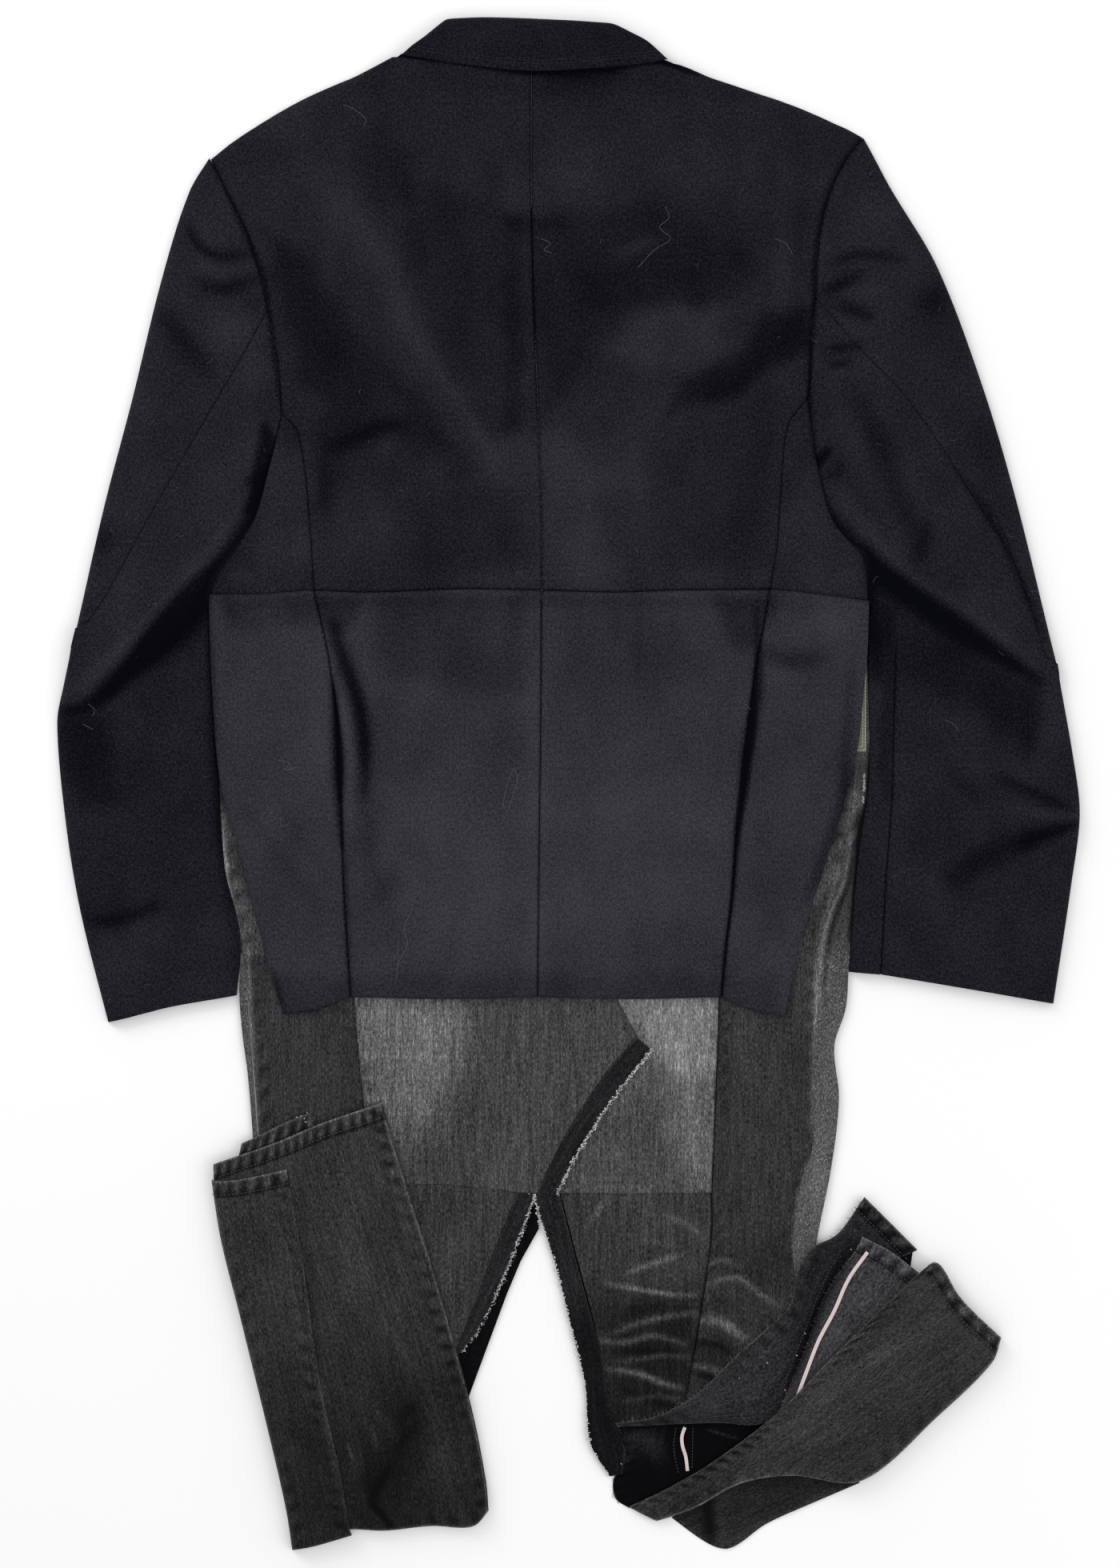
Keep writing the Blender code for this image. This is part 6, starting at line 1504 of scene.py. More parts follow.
shell("peplum_back_right", ["centre_lower"], ["princess_right_lower"], ["waist_right"], ["hem_right"],
      rolls={"bottom": hem_roll}, seams=dict(left=-0.24, right=-0.3, top=-0.2), rests_on=["skirt_back_right"],
      **peplum)
shell("peplum_side_left", ["side_left_lower"], ["princess_left_lower"], ["waist_left_side"],
      ["hem_left_side"], rolls={"left": hem_roll, "bottom": hem_roll}, seams=dict(right=-0.24, top=-0.2),
      reach={TOP: (0.5, 0.5), LEFT: (1.4, 1.4, 1.2, 0.6, 0, 0, 0, 0)}, rests_on=["skirt_side_left"], **peplum)
shell("peplum_side_right", ["princess_right_lower"], ["side_right_lower"], ["waist_right_side"],
      ["hem_right_side"], rolls={"bottom": hem_roll}, seams=dict(left=-0.24, top=-0.2),
      reach={TOP: (0.5, 0.5), RIGHT: (1.6, 1.8, 1.5, 0.6, 0.3, 0.2, 0.2, 0.2, 0, 0, 0, 0, 0, 0, 0, 0)},
      rests_on=["skirt_side_right"], **peplum)

# %% collar
clear_of_stand = 7.4
slope_left = ((0, COLLAR_ROLL, 0), (0.5, COLLAR_ROLL, 0), (0.75, 3, clear_of_stand), (1, 3, clear_of_stand))
slope_right = ((0, COLLAR_ROLL, 0), (0.35, COLLAR_ROLL, 0), (0.6, 3, clear_of_stand), (1, 3, clear_of_stand))
COLLAR_LINE = ((((-118, 548.5), (-86, 544.5), (-54, 542), (0, 541), (48, 543.5), (66, 545)), 1.3, -0.5),)
shell("collar", ["slope_left"], ["slope_right"], ["fold"], ["fall_edge"], underside=COLLAR_FALL,
      thickness=COLLAR_CLOTH, material=WOOL_CLOTH, slot="black_wool", spacing=2.0, waves=0.5,
      creases=COLLAR_LINE, tone=0.38,
      rolls={"top": even_roll(COLLAR_ROLL, FLOOR), "left": slope_left, "right": slope_right},
      rests_on=["collar_stand"])
# The stand shows only under the collar's fall and is painted nearly black, as painted shade.
shell("collar_stand", ["stand_left"], ["stand_right"], ["stand_top"], ["stand_bottom"], underside=WOOL_BACK,
      thickness=WOOL, material=WOOL_CLOTH, slot="black_wool", tone=0.1, spacing=2.4, waves=0.0, sink=0.3,
      rests_on=["collar_under"])

# %% sleeves
left_sleeve = wool_part(0.48, LEFT_SLEEVE_FOLDS, LEFT_SLEEVE_MARKS, LEFT_SLEEVE_AREAS, LEFT_SLEEVE_SPOTS)
right_sleeve = wool_part(0.48, RIGHT_SLEEVE_FOLDS, RIGHT_SLEEVE_MARKS, RIGHT_SLEEVE_AREAS, RIGHT_SLEEVE_SPOTS)
outer_roll = ((0, SLEEVE_ROLL, FLOOR), (0.8, SLEEVE_ROLL, FLOOR), (1, SLEEVE_ROLL / 2, FLOOR))
shell("sleeve_left_top", ["left_outer_upper"], ["left_hind"], ["armhole_left_cap"], ["-left_tip_upper"],
      rolls={"left": outer_roll}, seams=dict(right=-0.05, top=-0.34), rests_on=["sleeve_left_under"],
      reach={LEFT: (4.2, 1.3, 0.6, 0.3, 0, 0, 0, 0, 0, 0, 0, 0), TOP: (0.8, 0.8)},
      **left_sleeve)
left_rolls = {"left": ((0, 0, 0), (0.62, 0, 0), (0.66, SLEEVE_ROLL, 0), (1, SLEEVE_ROLL, 0)),
              "right": ((0, 0, 0), (0.24, 0, 0), (0.32, SIDE_ROLL, 0), (1, SIDE_ROLL, 0))}
shell("sleeve_left_hind", ["left_hind", "left_tip", "left_outer_lower"],
      ["armhole_left_low", "armhole_left_end", "left_free_upper", "left_free_lower"],
      ["armhole_left_mid"], ["left_cuff"], rolls=left_rolls,
      reach={RIGHT: (0.8, 0.6, 0.4, 1.4, 1.4, 1.4, 1.2, 0.8, 0.4), TOP: (0.8, 0.8),
             BOTTOM: (0, 1.6, 2.6, 2.4, 2.0, 1.4, 0.6)}, seams=dict(left=-0.05, right=-0.34, top=-0.34),
      rests_on=["sleeve_left_under"], **left_sleeve)
shell("sleeve_right_top", ["right_hind"], ["right_outer_upper"], ["-armhole_right_cap"], ["-right_tip_upper"],
      rolls={"right": outer_roll}, seams=dict(left=-0.05, top=-0.34), rests_on=["sleeve_right_under"],
      reach={RIGHT: (3.0, 0.6, 0, 0, 0, 0, 0, 0, 0, 0, 0, 0), TOP: (0.8, 0.8)},
      **right_sleeve)
right_rolls = {"left": ((0, 0, 0), (0.26, 0, 0), (0.34, SIDE_ROLL, 0), (0.56, SIDE_ROLL, 0), (0.62, 0, 0),
                        (1, 0, 0)),
               "right": ((0, 0, 0), (0.62, 0, 0), (0.66, SLEEVE_ROLL, 0), (1, SLEEVE_ROLL, 0))}
shell("sleeve_right_hind",
      ["armhole_right_low", "armhole_right_end", "right_free_upper", "right_fore_top", "right_fore"],
      ["right_hind", "-right_tip", "right_outer_lower"], ["-armhole_right_mid"], ["right_cuff_hind"],
      rolls=right_rolls, reach={LEFT: (0.8, 0.6, 0.4, 2.4, 2.6, 2.4, 0, 0, 0, 0), TOP: (0.8, 0.8)},
      seams=dict(left=-0.2, right=-0.05, top=-0.34), rests_on=["sleeve_right_under"], **right_sleeve)
shell("sleeve_right_turn", ["right_free_lower"], ["right_fore"], ["right_fore_top"], ["right_cuff_turn"],
      rolls={"left": side_roll}, reach={TOP: (3, 3), LEFT: (2.6, 2.6, 2.2, 1.0, 0.4, 0.2, 0.2, 0.2, 0.2,
                                                            0.2, 0.2, 0.2, 0.2, 0)},
      seams=dict(right=-0.1), rests_on=["sleeve_right_under"], **right_sleeve)

# %% folded left leg
leg = dict(thickness=DENIM, material=DENIM_CLOTH, slot="dark_denim", spacing=2.2, tone=0.262,
           tone_marks=LEG_LEFT_MARKS, tone_areas=LEG_LEFT_AREAS, tone_spots=LEG_LEFT_SPOTS, held="folded")
shell("leg_left_back_hem", ["back_hem_left"], ["back_hem_right"], ["back_hem_top"], ["back_hem_bottom"],
      underside=LEFT_HEM_LAYER, thickness=2.6, material=DENIM_CLOTH, slot="dark_denim", spacing=2.0,
      tone=0.25,
      hems=("top",), held="folded", rests_on=["skirt_side_left"], edge_wear_and_highlight=0.06)
main_rolls = {"right": ((0, 5, LEFT_HEM_LAYER), (0.72, 5, LEFT_HEM_LAYER), (0.82, LEG_ROLL, 0),
                        (1, LEG_ROLL, 0)),
              "bottom": even_roll(LEG_ROLL, FLOOR)}
shell("leg_left_main", ["main_left"], ["main_right"], ["main_hem"], ["main_bottom"],
      underside=LEFT_MAIN_LAYER,
      folds=LEFT_LEG_FOLDS, rolls=main_rolls, hems=("top",),
      reach={LEFT: (0.6, 6.0, 7.5, 7.5, 7.0, 6.0, 5.0, 4.0, 3.0, 2.0, 1.0, 0, 0, 0, 0, 0, 0, 0, 0, 0, 0, 0,
                    0)},
      rope=(("right", 13.0, 0.4),
      ("bottom", 15.0, 0.2)), edge_wear_and_highlight=0.14, rests_on=["leg_left_core"], **leg)
shell("leg_left_lap", ["lap_left"], ["lap_right"], ["lap_hem"], ["lap_bottom"], underside=LEFT_LAP_LAYER,
      folds=LEFT_LEG_FOLDS + LEFT_LAP_FOLDS, rolls={"left": even_roll(6, FLOOR),
                                                    "bottom": even_roll(6, FLOOR)},
      hems=("top",), rope=(("right", 14.0, 0.25), ("left", 16.0, 0.25)), edge_wear_and_highlight=0.08,
      rests_on=["leg_left_main"], **leg)

# %% folded right leg
RIGHT_INSIDE_UPPER, RIGHT_INSIDE_LOWER, RIGHT_OUTSIDE = 3.7, 5.7, 8.5
RIGHT_TAPE_LONG, RIGHT_TAPE_SHORT = 7.3, 1.7
RIGHT_OUTSIDE_END, RIGHT_EDGE_LOW = 3.3, 2.9
DESCENT_START, DESCENT_LENGTH = 170.0, 60.0


def outside_lift(across, along):
    """The outer panel comes down towards the fold at its lower left end."""
    share = np.clip((DESCENT_START - across) / DESCENT_LENGTH, 0, 1)
    return (RIGHT_OUTSIDE_END - RIGHT_OUTSIDE) * eased(share)


DEEP_AREAS = (
    (((76.2, -475.2), (105, -475.2), (102.6, -520.8), (78.6, -520.8)), 3.0, -0.2),
    (((105, -475.2), (167.4, -475.2), (164.4, -492), (101.4, -510)), 6.0, -0.1),
    (((29.4, -510), (113.4, -504), (89.4, -558), (29.4, -558)), 6.0, -0.08),
)
DEEP_MARKS = (
    (((40, -486), (60, -496), (68, -512)), 9.0, 0.07),
    (((85.2, -479.4), (80.4, -486), (79.2, -498), (82.2, -516)), 1.2, 0.26),
    (((85.2, -479.4), (94.2, -480.6), (107.4, -485.4), (129, -491.4)), 1.2, 0.24),
    (((93, -483.6), (108.6, -489.6), (125.4, -495.6)), 2.4, -0.16),
    (((33.6, -487.2), (40.2, -498), (41.4, -508.8), (36.6, -518.4)), 1.4, 0.22),
    (((31.2, -492), (35.4, -504), (34.2, -516)), 3, -0.2),
    (((53.4, -492), (60.6, -516)), 4, -0.05),
    (((39, -483.6), (71.4, -478.8)), 2, -0.12),
)
inside = dict(thickness=DENIM, material=INNER_CLOTH, slot="inner_denim", spacing=2.2, held="folded")
shell("leg_right_deep", ["deep_left"], ["deep_right"], ["deep_top"], ["deep_bottom"], underside=FLOOR,
      tone=0.1, tone_areas=DEEP_AREAS, tone_marks=DEEP_MARKS, reach={LEFT: (4, 4, 2, 0, 0, 0)},
      rope=(("left", 11.0, 0.3),), rests_on=["thigh_front_right"], **inside)
shell("leg_right_inside_upper", ["upper_raw"], ["upper_hidden"], ["upper_hem"], ["upper_end"],
      underside=RIGHT_INSIDE_UPPER, folds=RIGHT_INSIDE_FOLDS, tone=0.21, hems=("top",),
      tone_marks=INSIDE_MARKS, tone_areas=INSIDE_AREAS, rope=(("left", 15.0, 0.3),), edge_wear_and_highlight=0.12,
      rests_on=["thigh_back_right"], **inside)
shell("leg_right_inside_lower", ["lower_seam"], ["lower_hidden"], ["lower_hem"], ["lower_end"],
      underside=RIGHT_INSIDE_LOWER, folds=RIGHT_INSIDE_FOLDS, tone=0.34, tone_marks=INSIDE_MARKS,
      hems=("top",),
      rests_on=["leg_right_inside_upper"], **inside)


def tape(name, way, width, underside, folds, rests_on):
    """A selvage tape along a curve."""
    middle = smooth_run(way, 2 * len(way) * FINER)
    aside = sideways(middle) * (width + 0.4) / 2
    ends = [smooth_run((middle[k] + aside[k], middle[k] - aside[k]), 4) for k in (0, -1)]
    shell(name, middle + aside, middle - aside, *ends, underside=underside, thickness=THIN_STRIP,
          material=TAPE_CLOTH,
          slot="selvage", folds=folds, spacing=1.0, waves=0.3, sink=0.25, held="folded", rests_on=rests_on)


TAPE_LONG = ((223.5, -350), (209.4, -370), (198.6, -394), (187, -416), (177.6, -440), (171, -458))
TAPE_SHORT = ((87, -482), (84.8, -489), (85.2, -496), (87.6, -504), (89, -515))
tape("selvage_tape_long", TAPE_LONG, 2.6, RIGHT_TAPE_LONG, RIGHT_INSIDE_FOLDS, ["leg_right_inside_lower"])
tape("selvage_tape_short", TAPE_SHORT, 2.4, RIGHT_TAPE_SHORT, (), ["leg_right_deep"])
lower_rolls = ((0, LEG_ROLL, 0), (0.42, LEG_ROLL, 0), (0.5, 4, RIGHT_EDGE_LOW), (1, 4, RIGHT_EDGE_LOW))
shell("leg_right_outside", ["outside_upper"], ["outside_lower"], ["outside_hem"], ["outside_end"],
      underside=RIGHT_OUTSIDE, thickness=DENIM, material=DENIM_CLOTH, slot="dark_denim", spacing=2.4,
      folds=RIGHT_OUTSIDE_FOLDS, rolls={"right": lower_rolls}, lift=outside_lift, tone=0.27,
      tone_marks=OUTSIDE_MARKS, tone_areas=OUTSIDE_AREAS, tone_spots=OUTSIDE_SPOTS, hems=("top",),
      rope=(("left", 11.0, 0.6), ("right", 16.0, 0.2)), edge_wear_and_highlight=0.16,
      held="folded", grain=37, rests_on=["leg_right_core_high"])
shell("leg_right_under_fold", ["under_left"], ["under_right"], ["under_top"], ["under_bottom"],
      underside=FLOOR, thickness=DENIM, material=DENIM_CLOTH, slot="dark_denim", spacing=2.2, tone=0.17,
      tone_marks=UNDER_MARKS, folds=UNDER_FOLD_FOLDS, edge_wear_and_highlight=0.08, held="folded", grain=25,
      rests_on=["leg_right_deep"])
print("shells:", len(surfaces), "triangles:",
      sum(4 * grid.shape[0] * grid.shape[1] for grid in surfaces.values()))

# %% [markdown]
# # Pieces that the back hides
# The fronts, the under sleeves and the layers inside the folded legs lie under the rest. Only
# their rims show, so each is a copy of its solid in its own cloth.

# %% hidden pieces
# The hidden pieces are painted nearly black: painted shade in the gaps where they show.
HIDDEN_TONE = 0.05
HIDDEN = (
    # cloth, slot, held, nodes
    (WOOL_CLOTH, "black_wool", "laid", ("front_bodice_left", "front_bodice_right", "sleeve_left_under",
                                        "sleeve_right_under", "collar_under")),
    (DENIM_CLOTH, "dark_denim", "laid", ("front_skirt_left", "front_skirt_right")),
    (INNER_CLOTH, "inner_denim", "laid", ("thigh_front_left", "thigh_front_right")),
    (DENIM_CLOTH, "dark_denim", "folded", ("leg_left_core",)),
    (INNER_CLOTH, "dark_denim", "folded", ("leg_right_core_low",)),
    (DENIM_CLOTH, "dark_denim", "folded", ("leg_right_core_high",)),
)


def hidden_piece(node, material, slot):
    """A copy of a flat solid, with the flat cut as its UV map and an even tone."""
    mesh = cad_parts[node].data.copy()
    mesh.materials.clear()
    mesh.materials.append(material)
    piece = in_scene(f"{node}_cloth", mesh)
    points = np.empty(len(mesh.vertices) * 3, np.float32)
    mesh.vertices.foreach_get("co", points)
    points = points.reshape(-1, 3)
    while mesh.uv_layers:
        mesh.uv_layers.remove(mesh.uv_layers[0])
    lay_out(mesh, points[:, :2])
    set_tone(mesh, np.full(len(points), HIDDEN_TONE))
    finish_piece(piece, slot, node)
    low, high = points.min(0), points.max(0)
    size = [float(high[axis] - low[axis]) for axis in (0, 1)]
    one_side = sum(face.area for face in mesh.polygons) / 2
    if one_side > size[0] * size[1]:
        size[1] = one_side / size[0]


for cloth, slot, held, nodes in HIDDEN:
    for node in nodes:
        hidden_piece(node, cloth, slot)
print("hidden pieces:", sum(len(nodes) for *_, nodes in HIDDEN))

# %% [markdown]
# # Stitches, frayed edges and lint
# Thread is modelled, because it is what the eye finds first on a black garment: rows of single
# stitches at hems and collar, the white weft that frays out of the raw denim, the pink tape's bartacks
# and the pale hairs that cling to wool. All are thin tubes, joined into a few meshes.

# %% tubes and stitches
def height_at(name, points):
    """Height of a shell's upper side at points, in millimetres."""
    cloud = surfaces[name].reshape(-1, 3)
    heights = []
    for x, y in points:
        away = np.hypot(cloud[:, 0] - x, cloud[:, 1] - y)
        near = np.argpartition(away, 4)[:4]
        weight = 1 / (away[near] + 0.05)
        heights.append(float((cloud[near, 2] * weight).sum() / weight.sum()))
    return np.array(heights)


def tube(way, radii, sides=5):
    """Points and faces of a tube along a way, closed at both ends."""
    way = np.asarray(way, float)
    slope = np.gradient(way, axis=0)
    slope = slope / np.maximum(np.linalg.norm(slope, axis=1, keepdims=True), 1e-9)
    across = np.cross(slope, (0.0, 0.0, 1.0))
    flat = np.linalg.norm(across, axis=1) < 1e-3
    across[flat] = (1.0, 0.0, 0.0)
    across = across / np.linalg.norm(across, axis=1, keepdims=True)
    upward = np.cross(across, slope)
    turn = np.linspace(0, 2 * np.pi, sides, endpoint=False)
    ring = np.cos(turn)[None, :, None] * across[:, None] + np.sin(turn)[None, :, None] * upward[:, None]
    points = way[:, None] + ring * np.broadcast_to(radii, len(way))[:, None, None]
    faces = []
    for row in range(len(way) - 1):
        for side in range(sides):
            after = (side + 1) % sides
            faces.append((row * sides + side, row * sides + after, (row + 1) * sides + after,
                          (row + 1) * sides + side))
    faces.append(tuple(range(sides - 1, -1, -1)))
    faces.append(tuple((len(way) - 1) * sides + side for side in range(sides)))
    return points.reshape(-1, 3), faces


def joined(name, tubes, material, slot):
    """Many tubes as one smooth mesh that rides with the coat."""
    points, faces, count = [], [], 0
    for tube_points, tube_faces in tubes:
        points.append(tube_points)
        faces += [tuple(count + corner for corner in face) for face in tube_faces]
        count += len(tube_points)
    mesh = bpy.data.meshes.new(name)
    mesh.from_pydata(np.vstack(points) * MM, [], faces)
    mesh.polygons.foreach_set("use_smooth", np.ones(len(mesh.polygons), bool))
    mesh.materials.append(material)
    lay_out(mesh, np.vstack(points)[:, :2] * MM)
    finish_piece(in_scene(name, mesh), slot)
    print(f"{name}: {len(tubes)} threads, {sum(len(face) - 2 for face in faces)} triangles")


STITCH_SHAPE = np.array((0.0, 0.25, 0.5, 0.75, 1.0))
STITCH_RISE = np.array((-0.35, 0.12, 0.2, 0.12, -0.35))
STITCH_THICK = np.array((0.5, 0.95, 1.0, 0.95, 0.5))


def stitch_row(surface, way, pitch=3.1, length=2.2, radius=0.26, rise=0.0):
    """A row of single stitches that lie on a shell along a way."""
    run = np.array(smooth_run(way, 40 * (len(way) - 1)))
    total = run_length(run)
    count = max(1, int(total / pitch))
    knots = evenly_spaced(run, count)
    made = []
    for start, stop in zip(knots, knots[1:]):
        end = start + (stop - start) * length / pitch
        spine = start + (end - start) * STITCH_SHAPE[:, None]
        ground = height_at(surface, spine[[0, 2, 4]])
        level = np.interp(STITCH_SHAPE, (0, 0.5, 1), ground)
        made.append(tube(np.column_stack((spine, level + STITCH_RISE + rise)), radius * STITCH_THICK))
    return made


# %% rows of stitches
def hem_line(name, point, inward, share_from=0.0, share_to=1.0):
    """A way along a hem, moved inward from it towards a point."""
    run = edge(name)
    run = run[int(share_from * (len(run) - 1)):int(share_to * (len(run) - 1)) + 1]
    return run + towards(run, point) * inward


HEM_INSET = 10.6
HEMS = (
    # surface, hem, a point on its inner side
    ("leg_left_main", "main_hem", (-180, -400)),
    ("leg_left_lap", "lap_hem", (-230, -400)),
    ("leg_left_back_hem", "back_hem_top", (-220, -300)),
    ("leg_right_inside_upper", "upper_hem", (190, -400)),
    ("leg_right_inside_lower", "lower_hem", (190, -420)),
    ("leg_right_outside", "outside_hem", (200, -470)),
)
hem_stitches = []
for surface, hem, point in HEMS:
    hem_stitches += stitch_row(surface, hem_line(hem, point, HEM_INSET))
ALLOWANCE = ((203.4, -349.2), (191.4, -372), (178.2, -405), (157.8, -459))
hem_stitches += stitch_row("leg_right_inside_upper", ALLOWANCE, pitch=2.6, length=1.5, radius=0.24)
for way in (((80.4, -482.4), (78.6, -496.8), (82.2, -517.2)), ((93, -482.4), (92.4, -513.6))):
    hem_stitches += stitch_row("leg_right_deep", way, pitch=2.4, length=1.7, radius=0.22)
joined("hem_stitches", hem_stitches, GREY_THREAD, "dark_denim")

collar_stitches = []
for inward in (5.2, 7.4):
    way = hem_line("fall_edge", (-28, 600), inward, share_from=0.04, share_to=0.96)
    collar_stitches += stitch_row("collar", way, pitch=3.4, length=2.5, radius=0.24, rise=0.05)
joined("collar_stitches", collar_stitches, BLACK_THREAD, "black_wool")

patch_stitches = []
for left, right, upper, lower in ((169.2, 222.0, 92.8, 25.4), (171.8, 219.8, 90.2, 28.0)):
    corners = ((left, lower), (right, lower), (right, upper), (left, upper), (left, lower))
    for start, stop in zip(corners, corners[1:]):
        patch_stitches += stitch_row("waist_patch", (start, stop), pitch=2.4, length=2.1, radius=0.32,
                                     rise=0.2)
patch_stitches += stitch_row("waist_patch", ((172.8, 57.6), (218.0, 57.6)), pitch=2.4, length=1.8, rise=0.1)
joined("patch_stitches", patch_stitches, PATCH_THREAD, "patch_hide")

# %% bartacks beside the pocket
TACK_LEVEL = 4.7
TACK_STEP = 0.8
bartacks = []
for x, y0, y1 in ((221.2, 7.5, -5.5), (220.3, -9.5, -14.5)):
    for y in np.arange(y0, y1, -TACK_STEP):
        half, slip = rng.uniform(0.5, 1.1), rng.uniform(-0.4, 0.4)
        way = ((x + slip - half, y, TACK_LEVEL - 0.3), (x + slip, y + 0.2, TACK_LEVEL),
               (x + slip + half, y, TACK_LEVEL - 0.3))
        bartacks.append(tube(way, rng.uniform(0.18, 0.26)))
joined("bartacks", bartacks, PINK_THREAD, "selvage")

# %% frayed edges
HAIR_POINTS = 5


def hair(start, direction, length, level, droop, radius, bending):
    """One loose fibre: it sets off in a direction, curls and sinks."""
    way, angle, place = [], direction, np.array(start, float)
    bend = rng.normal(0, bending)
    for share in np.linspace(0, 1, HAIR_POINTS):
        way.append((place[0], place[1], level + droop * share + 0.35 * math.sin(3.0 * share)))
        place = place + length / (HAIR_POINTS - 1) * np.array((math.cos(angle), math.sin(angle)))
        angle += bend + rng.normal(0, 0.25)
    return tube(way, radius * np.linspace(1.0, 0.55, HAIR_POINTS), sides=4)


def curl(place, level, size, radius):
    """A small loop of loose weft that lies on the edge."""
    turn = rng.uniform(0, 6.28) + np.linspace(0, rng.uniform(2.0, 4.6), 6)
    flat = place + size * np.column_stack((np.cos(turn), 0.75 * np.sin(turn)))
    rise = level + 0.1 + 0.45 * np.sin(np.linspace(0, np.pi, 6))
    return tube(np.column_stack((flat, rise)), radius, sides=4)


def frayed(names, surface, outward_point, drop=-0.6, size=1.0, sparse_after=1.0):
    """Loops and fibres of white weft along a raw edge, with gaps where the thread has gone.

    After a share of the way the loops stand further and further apart.
    """
    run = edge(*names) if isinstance(names[0], str) else names
    step = 0.8
    total = run_length(run)
    spaced = evenly_spaced(run, int(total / step))
    outward = towards(spaced, outward_point)
    levels = np.interp(np.arange(len(spaced)), np.arange(0, len(spaced), 6),
                       height_at(surface, spaced[::6] - 1.2 * outward[::6]))
    made = []
    travel = 0.5
    while travel < total - 1.0:
        spot = min(int(travel / step), len(spaced) - 1)
        place = spaced[spot] + outward[spot] * rng.uniform(-0.8, 1.2)
        made.append(curl(place, levels[spot], size * rng.uniform(0.5, 1.25), size * rng.uniform(0.2, 0.4)))
        apart = 1.0 + 9.0 * max(0.0, travel / total - sparse_after)
        travel += apart * rng.gamma(5.0, 0.36) + (rng.uniform(1.5, 4.0) if rng.random() < 0.08 else 0.0)
    sway = 0.7 * np.sin(np.arange(len(spaced)) * 1.3) + 0.5 * np.sin(np.arange(len(spaced)) * 0.37)
    way = spaced + outward * (0.3 + sway)[:, None]
    unbroken = int(len(way) * sparse_after)
    made.append(tube(np.column_stack((way, levels + 0.05))[:unbroken], 0.15, sides=4))
    for _ in range(int(total * 1.1)):
        spot = rng.integers(0, len(spaced))
        angle = math.atan2(outward[spot][1], outward[spot][0]) + rng.normal(0, 0.75)
        start = spaced[spot] + outward[spot] * rng.uniform(-1.0, 1.0)
        length = rng.gamma(2.2, 0.6) + 0.8
        made.append(hair(start, angle, length,
                         levels[spot] + rng.uniform(-0.2, 0.35), drop * rng.uniform(0.2, 1),
                         rng.uniform(0.07, 0.13), 0.5))
    return made


fray = frayed(["fray_diagonal"], "seam_band_diagonal", (60, -300))
fray += frayed(SLIT_LEFT_EDGE, "slit_band_left", (0, -400), drop=-1.5, size=0.8, sparse_after=0.6)
fray += frayed(SLIT_RIGHT_EDGE, "slit_band_right", (-60, -400), drop=-1.5)
KNOTS = (
    # surface, places of single curls
    ("slit_band_left", ((-30, -307.2), (-28.2, -306), (-25.8, -307.2))),
    ("leg_left_back_hem", ((-200.4, -248.4), (-198, -250.2), (-196.2, -246), (-196.8, -252.6),
                           (-203.4, -249.6))),
    ("leg_right_inside_upper", ((127.2, -444.6), (211.2, -348.6), (193.2, -382.2), (177, -411),
                                (170.4, -427.8), (161.4, -453.6), (148.2, -433.2))),
    ("slit_band_right", ((24.6, -513), (39, -509.4), (12.6, -469.2), (15.6, -486))),
)
for surface, places in KNOTS:
    for place in places:
        level = float(height_at(surface, np.array(place)[None])[0])
        fray.append(curl(np.array(place), level, rng.uniform(0.45, 0.8), rng.uniform(0.16, 0.26)))
joined("frayed_edges", fray, WHITE_THREAD, "unfaded_denim")

# %% fine fibres on the raw edges of the right leg
def sparse_fibres(names, surface, outward_point, count, reach):
    """A few grey fibres along a raw edge."""
    run = edge(*names)
    made = []
    for spot in rng.integers(2, len(run) - 2, count):
        slope = run[spot + 1] - run[spot - 1]
        outward = np.array((slope[1], -slope[0])) / np.linalg.norm(slope)
        outward = outward * np.sign(outward @ (np.array(outward_point) - run[spot]))
        angle = math.atan2(outward[1], outward[0]) + rng.normal(0, 0.6)
        start = run[spot] - outward * rng.uniform(0.0, 1.5)
        level = float(height_at(surface, start[None])[0])
        made.append(hair(start, angle, reach * rng.uniform(0.6, 2.2), level, -0.8,
                         rng.uniform(0.06, 0.11), 0.35))
    return made


fibres = sparse_fibres(["upper_raw"], "leg_right_inside_upper", (100, -380), 260, 2.2)
fibres += sparse_fibres(["deep_left"], "leg_right_deep", (0, -500), 90, 2.0)
fibres += sparse_fibres(["back_hem_right"], "leg_left_back_hem", (-150, -256), 80, 2.2)
fibres += sparse_fibres(["lower_seam"], "leg_right_inside_lower", (150, -380), 60, 1.4)
joined("raw_edge_fibres", fibres, LINT, "inner_denim")

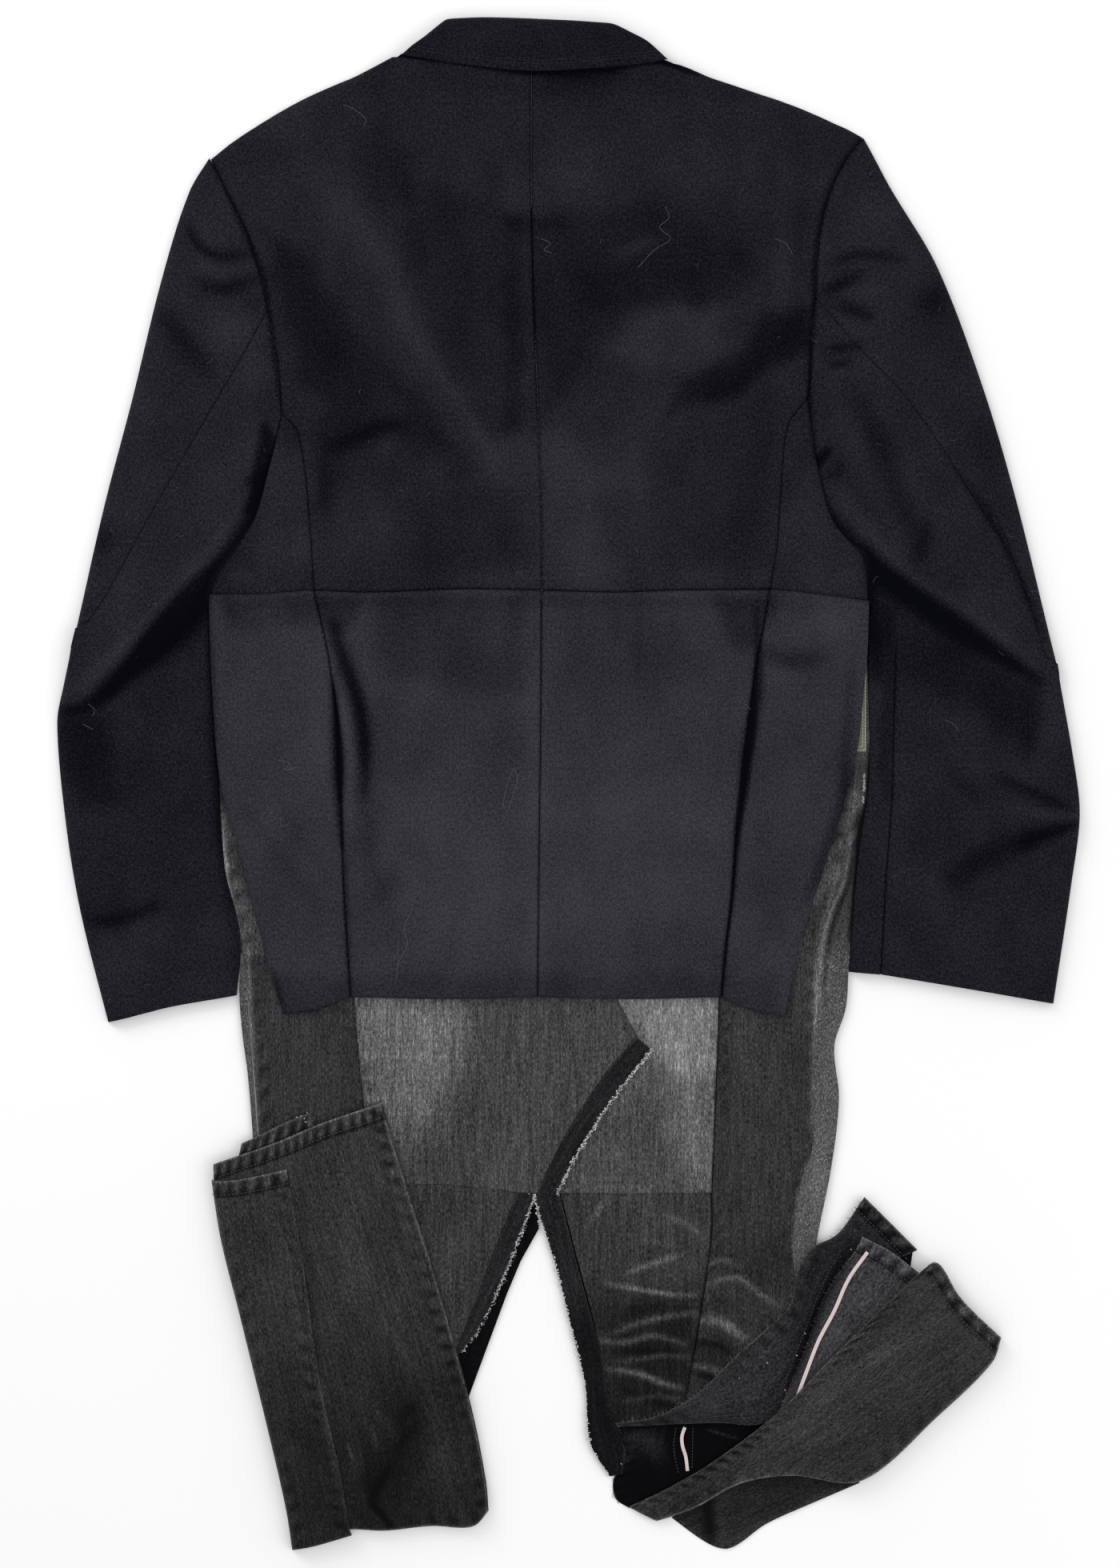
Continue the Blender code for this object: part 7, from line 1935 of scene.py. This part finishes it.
# %% lint on the wool
PLACED_HAIRS = (
    # surface, stations
    ("back_right", ((72, 432), (75, 423.6), (67.8, 416.4), (76.2, 408), (64.2, 399.6), (51.6, 386.4))),
    ("back_right", ((-21, 408), (-13.8, 404.4), (-18.6, 399.6), (-12.6, 397.2))),
    ("back_right", ((154.2, 408), (162.6, 403.8), (167.4, 396))),
    ("back_right", ((14.4, 208.8), (16.2, 204))),
    ("back_left", ((-168.6, 508.2), (-160.2, 504.6), (-151.8, 496.8), (-153.6, 492))),
    ("peplum_back_left", ((-49.8, -19.2), (-46.8, -3), (-41.4, 10.8), (-38.4, 4.8), (-42, -9.6),
                          (-46.2, -20.4), (-49.2, -14.4))),
    ("peplum_back_left", ((-117.6, -94.8), (-123, -108), (-120.6, -120), (-127.2, -133.2), (-129, -147.6))),
    ("peplum_back_left", ((-126.6, -123), (-131.4, -132))),
    ("peplum_side_left", ((-217.8, 18), (-209.4, 15.6), (-211.8, 10.2), (-203.4, 12.6))),
    ("peplum_side_left", ((-191.4, -19.2), (-187.8, -25.2))),
    ("peplum_back_right", ((131.4, 60), (136.2, 55.8))),
    ("sleeve_left_hind", ((-359.4, 60), (-354.6, 55.2), (-356.4, 51))),
    ("sleeve_left_hind", ((-363.6, 45), (-355.8, 40.8))),
    ("sleeve_right_hind", ((281.4, 48), (287.4, 45), (291, 39.6))),
)
lint = []
for surface, stations_of_hair in PLACED_HAIRS:
    way = smooth_run(stations_of_hair, 6 * (len(stations_of_hair) - 1))
    lint.append(tube(np.column_stack((way, height_at(surface, way) + 0.15)), 0.13, sides=4))
for surface in ("back_left", "back_right", "peplum_back_left", "peplum_back_right", "peplum_side_left",
                "sleeve_left_hind", "sleeve_right_hind", "sleeve_left_top", "sleeve_right_top",
                "peplum_side_right"):
    cloud = surfaces[surface][6:-6, 6:-6].reshape(-1, 3)
    for spot in rng.integers(0, len(cloud), 16):
        x, y, level = cloud[spot]
        lint.append(hair((x, y), rng.uniform(0, 6.28), rng.uniform(1.5, 7), level + 0.12, 0.0, 0.09, 0.35))
joined("lint", lint, LINT, "black_wool")
